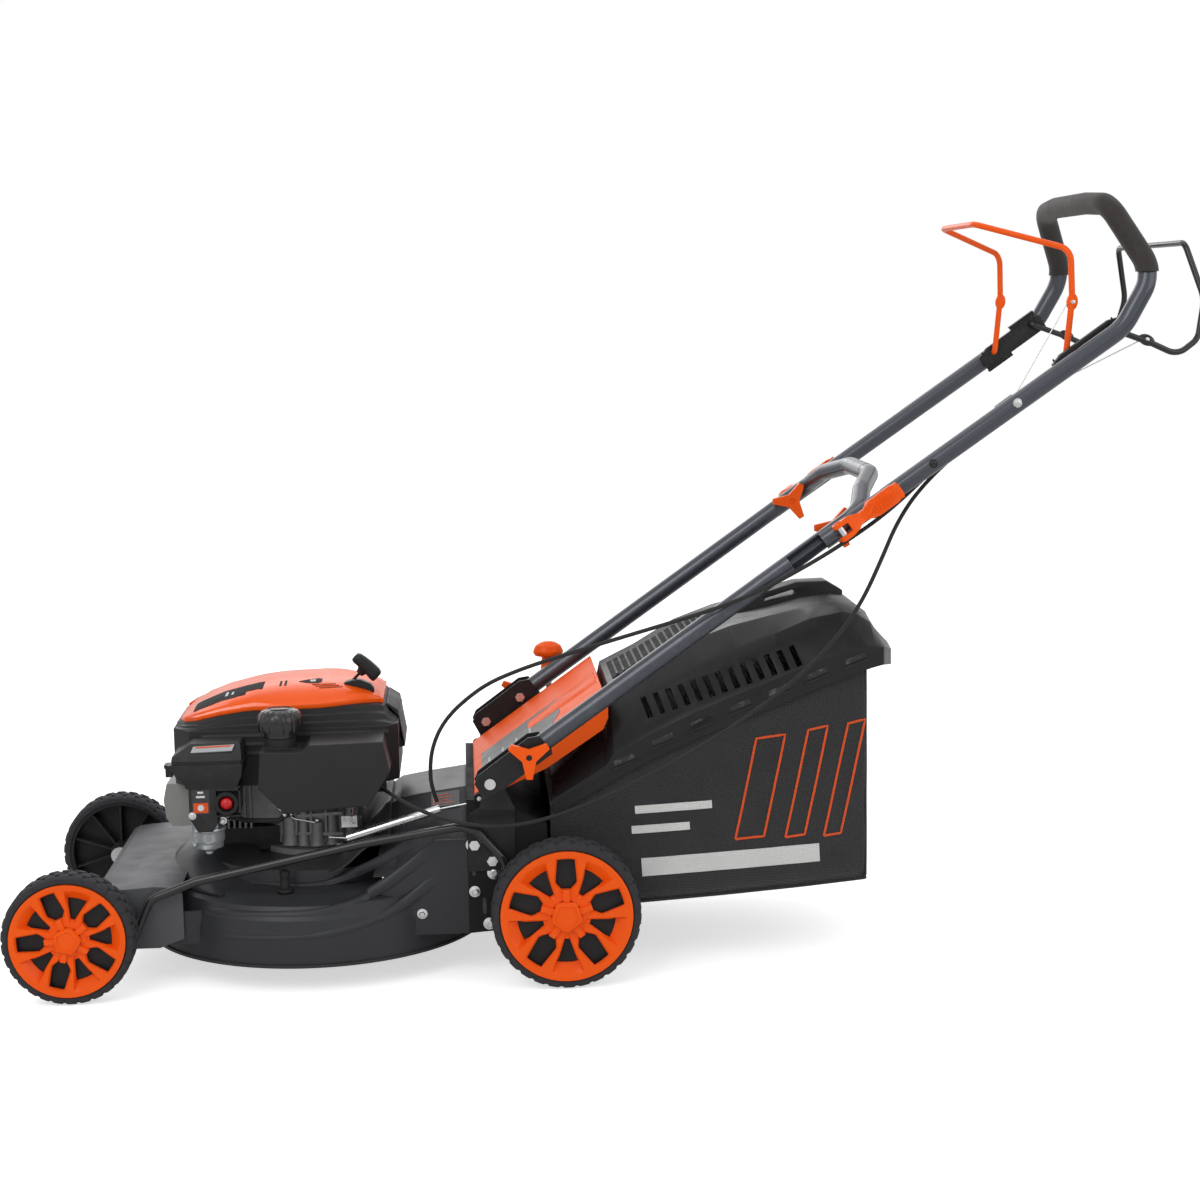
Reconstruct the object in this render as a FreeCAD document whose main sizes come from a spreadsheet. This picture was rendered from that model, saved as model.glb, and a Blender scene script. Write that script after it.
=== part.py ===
import FreeCAD, Part
import math
import os
import re

import Sketcher
from FreeCAD import Rotation, Vector

# A self-propelled push lawn mower. X runs to the rear, toward the operator, Y to the operator's right
# and Z up. The floor is z = 0. Outlines are written with the rear axle at x = 0, and every sub-part's
# Placement then adds rear_axle_x, which puts the origin under the middle of the machine.

# The driving dimensions, in millimetres, degrees and counts.
SIZES = {
    # whole machine
    "rear_axle_x": -68.7,
    "wheelbase": 667.3,
    "steel": 2.5,
    "plastic": 3.0,
    "air_gap": 0.3,
    "running_gap": 0.05,
    # wheels
    "rear_wheel_radius": 101.5,
    "rear_wheel_width": 46.0,
    "rear_wheel_inside": 217.0,
    "front_wheel_radius": 89.0,
    "front_wheel_width": 43.5,
    "front_wheel_inside": 212.0,
    "tyre_depth": 11.5,
    "tyre_shoulder": 6.0,
    "rim_wall": 4.0,
    "web_depth": 17.0,
    "wheel_hub_radius": 16.0,
    "cover_lip": 1.5,
    "cover_wall": 3.2,
    "spokes": 5,
    "cap_radius": 23.0,
    "cap_depth": 4.5,
    # height adjustment
    "axle_radius": 6.0,
    "crank_reach": 60.0,
    "crank_rise": 8.0,
    "crank_arm_inside": 193.5,
    "crank_arm_wall": 4.5,
    "crank_arm_radius": 13.0,
    "pin_back": 16.0,
    "pin_rise": 37.0,
    "pin_radius": 4.0,
    "pin_length": 10.5,
    "nut_radius": 9.5,
    "nut_height": 5.5,
    "link_side": 204.8,
    "link_radius": 6.0,
    "link_eye_radius": 10.0,
    "link_eye_wall": 7.0,
    "link_slot": 7.6,
    "link_rise": 1.5,
    "lever_side": 250.0,
    "lever_radius": 5.0,
    "lever_top": 345.0,
    "knob_radius": 17.0,
    "knob_height": 26.0,
    # deck
    "shaft_back": 349.0,
    "deck_radius": 240.0,
    "deck_rim": 36.0,
    "deck_bead": 3.0,
    "skirt_top": 82.0,
    "shoulder_width": 40.0,
    "shoulder_top": 127.0,
    "turret_step": 79.0,
    "turret_top": 150.0,
    "pilot_radius": 44.0,
    "deck_side": 192.0,
    "tunnel_half": 150.0,
    "tunnel_top": 259.0,
    "tunnel_side_top": 195.0,
    "tunnel_end": 132.0,
    "tunnel_seam": 264.0,
    "side_foot": 62.0,
    "ear_inside": 182.0,
    "ear_wall": 4.0,
    "apron_half": 191.0,
    "chute_end": 22.0,
    "chute_floor": 126.0,
    "chute_wall": 6.0,
    "port_x": -382.0,
    "port_y": -187.5,
    "port_radius": 7.0,
    "port_bore": 4.5,
    "port_top": 158.0,
    # engine
    "shaft_radius": 12.5,
    "crankcase_radius": 60.0,
    "crankcase_top": 232.0,
    "flange_radius": 78.0,
    "flange_wall": 8.0,
    "engine_bolt_circle": 69.0,
    "engine_bolt_radius": 4.0,
    "engine_bolts": 3,
    "cylinder_front": 505.0,
    "cylinder_half": 46.0,
    "cylinder_low": 185.0,
    "cylinder_top": 255.0,
    "fin_wall": 3.0,
    "fin_pitch": 8.0,
    "fin_depth": 9.0,
    "fins": 9,
    "rocker_front": 560.0,
    "muffler_side": 60.0,
    "housing_low": 258.0,
    "housing_top": 338.0,
    "housing_near": -97.0,
    "housing_far": 150.0,
    "cover_top": 404.0,
    "fan_opening": 62.0,
    "flywheel_radius": 84.0,
    "flywheel_low": 268.0,
    "flywheel_height": 26.0,
    "grip_x": -269.0,
    "grip_y": -30.0,
    "grip_z": 412.0,
    "pull_angle": 45.0,
    "pull_travel": 70.0,
    "rope_radius": 2.0,
    "vents": 7,
    "vent_width": 5.0,
    "tank_near": -176.0,
    "tank_far": -100.0,
    "tank_wall": 2.5,
    "filler_x": -385.0,
    "filler_y": -135.0,
    "filler_radius": 21.0,
    "filler_bore": 17.5,
    "filler_top": 345.0,
    "cap_outer": 29.0,
    "cap_top": 372.0,
    "filter_near": -168.0,
    "filter_far": -101.0,
    "panel_near": -160.0,
    "primer_x": -460.0,
    "primer_z": 248.0,
    "primer_radius": 8.7,
    # blade and drive
    "blade_length": 458.0,
    "blade_width": 56.0,
    "blade_wall": 3.5,
    "blade_low": 52.0,
    "adapter_radius": 27.0,
    "belt_middle": 114.0,
    "belt_height": 7.4,
    "belt_depth": 6.5,
    "engine_pulley_radius": 30.0,
    "drive_pulley_radius": 36.0,
    "pulley_height": 12.0,
    "gearbox_half": 32.0,
    # handle
    "handle_angle": 34.76,
    "fold_x": -99.0,
    "fold_z": 281.0,
    "leg_length": 581.2,
    "handle_tube": 12.7,
    "handle_wall": 1.6,
    "lower_side": 218.0,
    "upper_side": 222.0,
    "joint_plane": 224.0,
    "joint_flat": 80.0,
    "cheek_inside": 202.0,
    "cheek_outside": 234.5,
    "clamp_back": 64.6,
    "bolt_radius": 4.0,
    "bolt_head": 7.5,
    "star_reach": 30.0,
    "star_hub": 13.0,
    "star_height": 14.0,
    "grip_radius": 15.6,
    "grip_clearance": 0.05,
    "bail_radius": 4.2,
    "bail_side": 194.5,
    "bail_bracket_wall": 9.0,
    "brake_pivot_x": 692.0,
    "brake_pivot_z": 834.0,
    "drive_pivot_x": 749.0,
    "drive_pivot_z": 875.0,
    "cable_radius": 2.75,
    # grass catcher and flap
    "bag_half": 190.0,
    "bag_wall": 3.5,
    "lid_wall": 3.0,
    "lid_vents": 13,
    "lid_vent_width": 8.0,
    "flap_half": 178.0,
    "flap_wall": 3.0,
    "flap_pivot_x": -114.0,
    "flap_pivot_z": 251.0,
    "flap_rod": 3.0,
    "flap_knuckle": 6.5,
    "flap_angle": 35.2,
    "flap_length": 220.0,
}

doc = FreeCAD.newDocument("PushMower")
sheet = doc.addObject("Spreadsheet::Sheet", "Sizes")
for row, (name, number) in enumerate(SIZES.items(), start=1):
    sheet.set(f"A{row}", name)
    sheet.set(f"B{row}", str(number))
    sheet.setAlias(f"B{row}", name)
doc.recompute()

X, Y, Z = Vector(1, 0, 0), Vector(0, 1, 0), Vector(0, 0, 1)
UPRIGHT = Rotation()
ALONG_Y = Rotation(Z, Y)
ALONG_X = Rotation(Z, X)
SIDES = (("left", -1), ("right", 1))
nodes = []


class Size:
    """Reads the sheet's cells, for shapes that Part's own functions make."""

    def __getattr__(self, cell):
        return float(sheet.get(cell))


S = Size()


def rule(text):
    """An expression in which each word that names a cell refers to the sheet."""
    cells = r"\b(" + "|".join(SIZES) + r")\b"
    return re.sub(cells, r"Sizes.\1", str(text))


def bind(thing, **rules):
    """Bind an object's properties to rules."""
    for prop, text in rules.items():
        thing.setExpression(prop, rule(text))
    return thing


def put(thing, x, y, z):
    """Bind an object's place to three rules."""
    for prop, text in (("x", x), ("y", y), ("z", z)):
        thing.setExpression(f"Placement.Base.{prop}", rule(text))
    return thing


def node(name, thing, x="0", y="0", z="0"):
    """Name a finished sub-part and place it, given its place with the rear axle at x = 0."""
    thing.Label = name
    put(thing, f"rear_axle_x + ({x})", y, z)
    nodes.append(thing)
    return thing


# Part primitives and booleans

def box(name, size, corner):
    thing = doc.addObject("Part::Box", name)
    bind(thing, Length=size[0], Width=size[1], Height=size[2])
    return put(thing, *corner)


def rod(name, radius, length, start, turn=UPRIGHT):
    thing = doc.addObject("Part::Cylinder", name)
    thing.Placement.Rotation = turn
    bind(thing, Radius=radius, Height=length)
    return put(thing, *start)


def nut(name, radius, length, start, turn=UPRIGHT):
    thing = doc.addObject("Part::Prism", name)
    thing.Polygon = 6
    thing.Placement.Rotation = turn
    bind(thing, Circumradius=radius, Height=length)
    return put(thing, *start)


def fuse(name, *parts):
    thing = doc.addObject("Part::MultiFuse", name)
    thing.Shapes = list(parts)
    thing.Refine = True
    return thing


def group(name, *parts):
    """Separate solids that share a sub-part, such as a set of bolts."""
    thing = doc.addObject("Part::Compound", name)
    thing.Links = list(parts)
    return thing


def cut(name, base, *tools):
    thing = doc.addObject("Part::Cut", name)
    thing.Base = base
    thing.Tool = tools[0] if len(tools) == 1 else fuse(name + "_tools", *tools)
    thing.Refine = True
    return thing


def common(name, *parts):
    thing = doc.addObject("Part::MultiCommon", name)
    thing.Shapes = list(parts)
    thing.Refine = True
    return thing


def feature(name, shape):
    thing = doc.addObject("Part::Feature", name)
    thing.Shape = shape
    return thing


def arm(name, radius, wall, side, start, end):
    """A flat bar with round ends between two places given as (x, z) rules, from y = side outward."""
    run, rise = f"(({end[0]}) - ({start[0]}))", f"(({end[1]}) - ({start[1]}))"
    reach = f"hypot({run}; {rise})"
    flat = doc.addObject("Part::Box", name + "_flat")
    flat.Placement.Rotation = Rotation(Y, -30)
    bind(flat, Length=reach, Width=wall, Height=f"2 * ({radius})")
    flat.setExpression("Placement.Rotation.Angle", rule(f"-atan2({rise}; {run})"))
    low = (f"{start[0]} + ({radius}) * {rise} / {reach}", f"{start[1]} - ({radius}) * {run} / {reach}")
    put(flat, low[0], side, low[1])
    ends = [
        rod(f"{name}_{word}", radius, wall, (spot[0], f"({side}) + ({wall})", spot[1]), Rotation(Z, -Y))
        for word, spot in (("start", start), ("end", end))
    ]
    return fuse(name, flat, *ends)


# PartDesign bodies, whose sketches are outlines of straight lines with every corner bound to two rules

def design(name):
    return doc.addObject("PartDesign::Body", name)


def origin(body, role):
    return next(part for part in body.Origin.OriginFeatures if part.Role == role)


def sketch(body, name, role, offset="0"):
    thing = body.newObject("Sketcher::SketchObject", name)
    thing.AttachmentSupport = [(origin(body, role), "")]
    thing.MapMode = "FlatFace"
    thing.setExpression("AttachmentOffset.Base.z", rule(offset))
    return thing


def outline(body, name, role, corners, offset="0"):
    thing = sketch(body, name, role, offset)
    count = len(corners)
    ring = [Rotation(Z, 360 * i / count).multVec(X * 10) for i in range(count)]
    for i in range(count):
        thing.addGeometry(Part.LineSegment(ring[i], ring[(i + 1) % count]), False)
    for i in range(count):
        thing.addConstraint(Sketcher.Constraint("Coincident", i, 2, (i + 1) % count, 1))
    for i, corner in enumerate(corners):
        for kind, text in zip(("DistanceX", "DistanceY"), corner):
            which = thing.addConstraint(Sketcher.Constraint(kind, -1, 1, i, 1, 1.0))
            thing.setExpression(f"Constraints[{which}]", rule(text))
    return thing


def circle(body, name, role, radius, centre, offset="0"):
    thing = sketch(body, name, role, offset)
    thing.addGeometry(Part.Circle(Vector(1, 1, 0), Z, 5), False)
    for kind, text in zip(("DistanceX", "DistanceY"), centre):
        which = thing.addConstraint(Sketcher.Constraint(kind, -1, 1, 0, 3, 1.0))
        thing.setExpression(f"Constraints[{which}]", rule(text))
    which = thing.addConstraint(Sketcher.Constraint("Radius", 0, 5.0))
    thing.setExpression(f"Constraints[{which}]", rule(radius))
    return thing


def pad(body, profile, length, both=False):
    thing = body.newObject("PartDesign::Pad", profile.Name + "_pad")
    thing.Profile = profile
    thing.SideType = "Symmetric" if both else "One side"
    return bind(thing, Length=length)


def pocket(body, profile, length=None, both=False, back=False):
    thing = body.newObject("PartDesign::Pocket", profile.Name + "_pocket")
    thing.Profile = profile
    thing.SideType = "Symmetric" if both else "One side"
    thing.Reversed = back
    if length is None:
        thing.Type = "ThroughAll"
        return thing
    return bind(thing, Length=length)


def spin(body, profile, kind="PartDesign::Revolution"):
    thing = body.newObject(kind, profile.Name + "_turned")
    thing.Profile = profile
    thing.ReferenceAxis = (profile, ["V_Axis"])
    thing.Angle = 360
    return thing


def around(body, step, role, count):
    """Repeat a step about one of the body's axes."""
    thing = body.newObject("PartDesign::PolarPattern", step.Name + "_ring")
    thing.Originals = [step]
    thing.Axis = (origin(body, role), [""])
    thing.Angle = 360
    bind(thing, Occurrences=count)
    body.Tip = thing
    return thing


def turned(name, role, corners):
    """A solid of revolution about the upright line of its sketch, whose corners are (radius, place)."""
    body = design(name)
    spin(body, outline(body, name + "_profile", role, corners))
    return body


def prism(name, role, corners, length, offset="0", both=True):
    """A solid of one outline."""
    body = design(name)
    pad(body, outline(body, name + "_outline", role, corners, offset), length, both)
    return body


# Tubes and cords: straight runs joined by tangent arcs

def runs(points, bends):
    """Edges through the points, in which each inner point is rounded to its own radius."""
    edges, last = [], points[0]
    for before, corner, after, bend in zip(points, points[1:], points[2:], bends):
        back, ahead = (before - corner).normalize(), (after - corner).normalize()
        half = (math.pi - back.getAngle(ahead)) / 2
        trim = bend * math.tan(half)
        start, end = corner + back * trim, corner + ahead * trim
        middle = corner + (back + ahead).normalize() * (bend / math.cos(half) - bend)
        if (start - last).Length > 1e-4:
            edges.append(Part.LineSegment(last, start).toShape())
        edges.append(Part.Arc(start, middle, end).toShape())
        last = end
    edges.append(Part.LineSegment(last, points[-1]).toShape())
    return edges


def swept(points, bends, radius):
    """A round bar along the rounded path."""
    path = Part.Wire(runs(points, bends))
    ring = Part.Wire(Part.makeCircle(radius, points[0], points[1] - points[0]))
    return path.makePipeShell([ring], True, True)


def cord(name, points):
    """A cable whose arcs are as large as its runs allow."""
    bends = []
    for before, corner, after in zip(points, points[1:], points[2:]):
        back, ahead = before - corner, after - corner
        half = (math.pi - back.getAngle(ahead)) / 2
        bends.append(0.45 * min(back.Length, ahead.Length) / math.tan(half))
    solid = swept(points, bends, S.cable_radius)
    length = sum(edge.Length for edge in runs(points, bends))
    share = solid.Volume / (math.pi * S.cable_radius ** 2 * length)
    print(f"{name}: {length:.0f} mm, volume {share:.4f} of section times length, "
          f"smallest bends {[round(bend) for bend in sorted(bends)[:3]]}")
    return feature(name, solid)


def mirrored(points):
    """The points, followed by their mirror images across the middle in reverse order."""
    return points + [Vector(p.x, -p.y, p.z) for p in reversed(points)]


# Wheels. Each is built about its own axle, with its inner face on y = 0 and its outside toward +Y; the
# left ones are turned half round.

WHEELS = {
    "rear": ("rear_wheel_radius", "rear_wheel_width", "rear_wheel_inside", "0"),
    "front": ("front_wheel_radius", "front_wheel_width", "front_wheel_inside", "-wheelbase"),
}


def wheel(end, side):
    radius, width, inside, back = WHEELS[end]
    name = f"{end}_{side}"
    seat = f"{radius} - tyre_depth"
    rim = f"{seat} - rim_wall"
    face = f"{width} - cover_wall"
    tyre = turned(f"{name}_tyre", "XY_Plane", [
        (seat, "cover_wall"),
        (f"{radius} - tyre_shoulder", "0"),
        (radius, "tyre_shoulder"),
        (radius, f"{width} - tyre_shoulder"),
        (f"{radius} - tyre_shoulder", width),
        (seat, face),
    ])
    web = f"{width} - web_depth"
    disc = turned(f"{name}_wheel_disc", "XY_Plane", [
        ("axle_radius + running_gap", "0"),
        ("wheel_hub_radius", "0"),
        ("wheel_hub_radius", web),
        (rim, web),
        (rim, "cover_wall"),
        (seat, "cover_wall"),
        (seat, face),
        (rim, face),
        (rim, f"{web} + cover_wall"),
        ("wheel_hub_radius", f"{web} + cover_wall"),
        ("wheel_hub_radius", f"{web} + 2 * cover_wall"),
        ("axle_radius + running_gap", f"{web} + 2 * cover_wall"),
    ])
    cover = turned(f"{name}_wheel_cover", "XY_Plane", [
        ("wheel_hub_radius", f"{face} - cover_wall"),
        ("cap_radius + 4", f"{face} - cover_wall"),
        (f"{rim} - 10", f"{face} - 2 * cover_wall"),
        (f"{rim} - 1", face),
        (seat, face),
        (seat, f"{width} + cover_lip"),
        (f"{rim} - 8", f"{width} + cover_lip"),
        (f"{rim} - 14", f"{width} - 2 * cover_wall"),
        ("cap_radius + 5", f"{width} - cover_lip"),
        ("cap_radius", width),
        ("wheel_hub_radius", width),
    ])
    wide = pocket(cover, outline(cover, f"{name}_wide_window", "XZ_Plane", [
        ("-8", "cap_radius + 12"),
        ("8", "cap_radius + 12"),
        (f"0.26 * ({rim})", f"{rim} - 32"),
        (f"0.22 * ({rim})", f"{rim} - 15"),
        (f"-0.22 * ({rim})", f"{rim} - 15"),
        (f"-0.26 * ({rim})", f"{rim} - 32"),
    ]))
    around(cover, wide, "Y_Axis", "spokes")
    narrow = pocket(cover, outline(cover, f"{name}_narrow_window", "XZ_Plane", [
        ("0", "-cap_radius - 20"),
        (f"0.075 * ({rim})", f"-({rim}) + 15"),
        (f"-0.075 * ({rim})", f"-({rim}) + 15"),
    ]))
    around(cover, narrow, "Y_Axis", "spokes")
    pad(cover, circle(cover, f"{name}_cap", "XZ_Plane", "cap_radius", ("0", "0"), f"-({width}) - cap_depth"),
        "2 * cap_depth")
    notch = pocket(cover, outline(cover, f"{name}_cap_notch", "XZ_Plane", [
        ("0", "0.62 * cap_radius"),
        ("0.35 * cap_radius", "1.1 * cap_radius"),
        ("-0.35 * cap_radius", "1.1 * cap_radius"),
    ], f"-({width}) - cap_depth - 1"), "cap_depth")
    around(cover, notch, "Y_Axis", "spokes")
    outward = 1 if side == "right" else -1
    for piece, word in ((tyre, "tyre"), (disc, "wheel_disc"), (cover, "wheel_cover")):
        if outward < 0:
            piece.Placement.Rotation = Rotation(Z, 180)
        node(f"{name}_{word}", piece, back, f"{outward} * {inside}", radius)


for end in WHEELS:
    for side in ("left", "right"):
        wheel(end, side)

# Height adjustment: two cranks turn in the deck's sides and carry the wheels on their ends. A link rod on
# the left joins them, above the rear crank's pivot and below the front one's, so that they turn opposite
# ways and the deck stays level.

REAR_PIVOT = ("-crank_reach", "rear_wheel_radius - crank_rise")
FRONT_PIVOT = ("crank_reach - wheelbase", "front_wheel_radius - crank_rise")


def crank(end, pivot, hub, pin):
    """A cross shaft with a bell crank on the left, an arm on the right and a stub for each wheel."""
    radius, width, inside, back = WHEELS[end]
    outer = "crank_arm_inside + crank_arm_wall"
    tip = f"{inside} + {width} - web_depth + 2 * cover_wall + running_gap"
    shaft = rod(f"{end}_cross_shaft", "axle_radius", f"2 * ({outer})",
                (pivot[0], f"-({outer})", pivot[1]), ALONG_Y)
    parts = [shaft]
    for side, sign in (("left", -1), ("right", 1)):
        near = f"-({outer})" if sign < 0 else "crank_arm_inside"
        parts.append(arm(f"{end}_{side}_arm", "crank_arm_radius", "crank_arm_wall", near, pivot, hub))
        stub = f"{tip} - ({outer}) + nut_height"
        begin = f"-({tip}) - nut_height" if sign < 0 else outer
        parts.append(rod(f"{end}_{side}_stub", "axle_radius", stub, (hub[0], begin, hub[1]), ALONG_Y))
        place = f"-({tip}) - nut_height" if sign < 0 else tip
        parts.append(nut(f"{end}_{side}_nut", "nut_radius", "nut_height", (hub[0], place, hub[1]), ALONG_Y))
    parts.append(arm(f"{end}_pin_arm", "link_eye_radius", "crank_arm_wall", f"-({outer})", pivot, pin))
    parts.append(rod(f"{end}_link_pin", "pin_radius", "pin_length",
                     (pin[0], f"-({outer}) - pin_length", pin[1]), ALONG_Y))
    node(f"{end}_axle", fuse(f"{end}_axle", *parts))


REAR_PIN = (f"{REAR_PIVOT[0]} - pin_back", f"{REAR_PIVOT[1]} + pin_rise")
FRONT_PIN = (f"{FRONT_PIVOT[0]} - pin_back", f"{FRONT_PIVOT[1]} - pin_rise")
crank("rear", REAR_PIVOT, ("0", "rear_wheel_radius"), REAR_PIN)
crank("front", FRONT_PIVOT, ("-wheelbase", "front_wheel_radius"), FRONT_PIN)

rear_pivot = Vector(-S.crank_reach, 0, S.rear_wheel_radius - S.crank_rise)
front_pivot = Vector(S.crank_reach - S.wheelbase, 0, S.front_wheel_radius - S.crank_rise)
rear_pin = rear_pivot + Vector(-S.pin_back, 0, S.pin_rise)
front_pin = front_pivot + Vector(-S.pin_back, 0, -S.pin_rise)


def link_rod():
    """A bent bar with an eye at the rear and, at the front, an upright slot for the other pin."""
    offsets = [
        front_pin,
        front_pin + Vector(24, 0, 4),
        front_pin + Vector(60, 0, 84),
        front_pin + Vector(122, 0, 107),
        front_pin + Vector(346, 0, 152),
        rear_pin + Vector(-64, 0, 85.5),
        rear_pin + Vector(-42, 0, 77.5),
        rear_pin + Vector(-6, 0, 36),
        rear_pin,
    ]
    route = [Vector(spot.x, -S.link_side, spot.z) for spot in offsets]
    bar = feature("link_bar", swept(route, [12, 24, 26, 60, 20, 20, 24], S.link_radius))
    side = "-link_side - link_eye_wall / 2"
    parts = [bar]
    for word, spot in (("rear", REAR_PIN), ("front", FRONT_PIN)):
        parts.append(rod(f"link_{word}_eye", "link_eye_radius", "link_eye_wall",
                         (spot[0], side, spot[1]), ALONG_Y))
    parts.append(rod("link_front_foot", "link_eye_radius", "link_eye_wall",
                     (FRONT_PIN[0], side, f"{FRONT_PIN[1]} - link_slot"), ALONG_Y))
    parts.append(box("link_front_cheek", ("2 * link_eye_radius", "link_eye_wall", "link_slot"),
                     (f"{FRONT_PIN[0]} - link_eye_radius", side, f"{FRONT_PIN[1]} - link_slot")))
    reach = "4 * link_eye_wall"
    through = f"-link_side - ({reach}) / 2"
    slot = "pin_radius + air_gap"
    front, high, low = FRONT_PIN[0], f"{FRONT_PIN[1]} + link_rise", f"{FRONT_PIN[1]} - link_slot"
    bores = [
        rod("link_rear_bore", "pin_radius + running_gap", reach,
            (REAR_PIN[0], through, REAR_PIN[1]), ALONG_Y),
        rod("link_slot_top", slot, reach, (front, through, high), ALONG_Y),
        rod("link_slot_foot", slot, reach, (front, through, low), ALONG_Y),
        box("link_slot_middle", (f"2 * ({slot})", reach, "link_slot + link_rise"),
            (f"{front} - ({slot})", through, low)),
    ]
    node("link_rod", cut("link_rod", fuse("link_blank", *parts), *bores))


link_rod()


def height_lever():
    """A steel bar from the rear crank, stepped outward over the wheel, and its mushroom knob."""
    near = S.crank_arm_inside + S.crank_arm_wall + S.lever_radius + 1
    top = S.lever_top
    route = [
        Vector(rear_pivot.x, near, rear_pivot.z),
        Vector(rear_pivot.x + 38, near, 2 * S.rear_wheel_radius + 2),
        Vector(rear_pivot.x + 50, S.lever_side, 2 * S.rear_wheel_radius + 37),
        Vector(rear_pivot.x + 61, S.lever_side, top - 55),
        Vector(rear_pivot.x + 61, S.lever_side, top),
    ]
    bar = feature("lever_bar", swept(route, [12, 14, 20], S.lever_radius))
    boss = rod("lever_boss", "crank_arm_radius", "2 * lever_radius + steel",
               (REAR_PIVOT[0], "crank_arm_inside + crank_arm_wall", REAR_PIVOT[1]), ALONG_Y)
    node("height_lever", fuse("height_lever", bar, boss))
    stem = turned("height_knob", "XZ_Plane", [
        ("0", "0"),
        ("0.55 * knob_radius", "0"),
        ("0.42 * knob_radius", "knob_height"),
        ("0.9 * knob_radius", "knob_height + 3"),
        ("knob_radius", "knob_height + 9"),
        ("0.85 * knob_radius", "knob_height + 18"),
        ("0.45 * knob_radius", "knob_height + 24"),
        ("0", "knob_height + 26"),
    ])
    node("height_knob", stem, f"{REAR_PIVOT[0]} + 61", "lever_side", "lever_top")


height_lever()

# Deck: a pressed steel bowl about the blade shaft, with a discharge tunnel rising to the rear

DECK_X = "-shaft_back"
SHOULDER = "deck_radius - shoulder_width"
TURRET = "deck_radius - turret_step"


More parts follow.
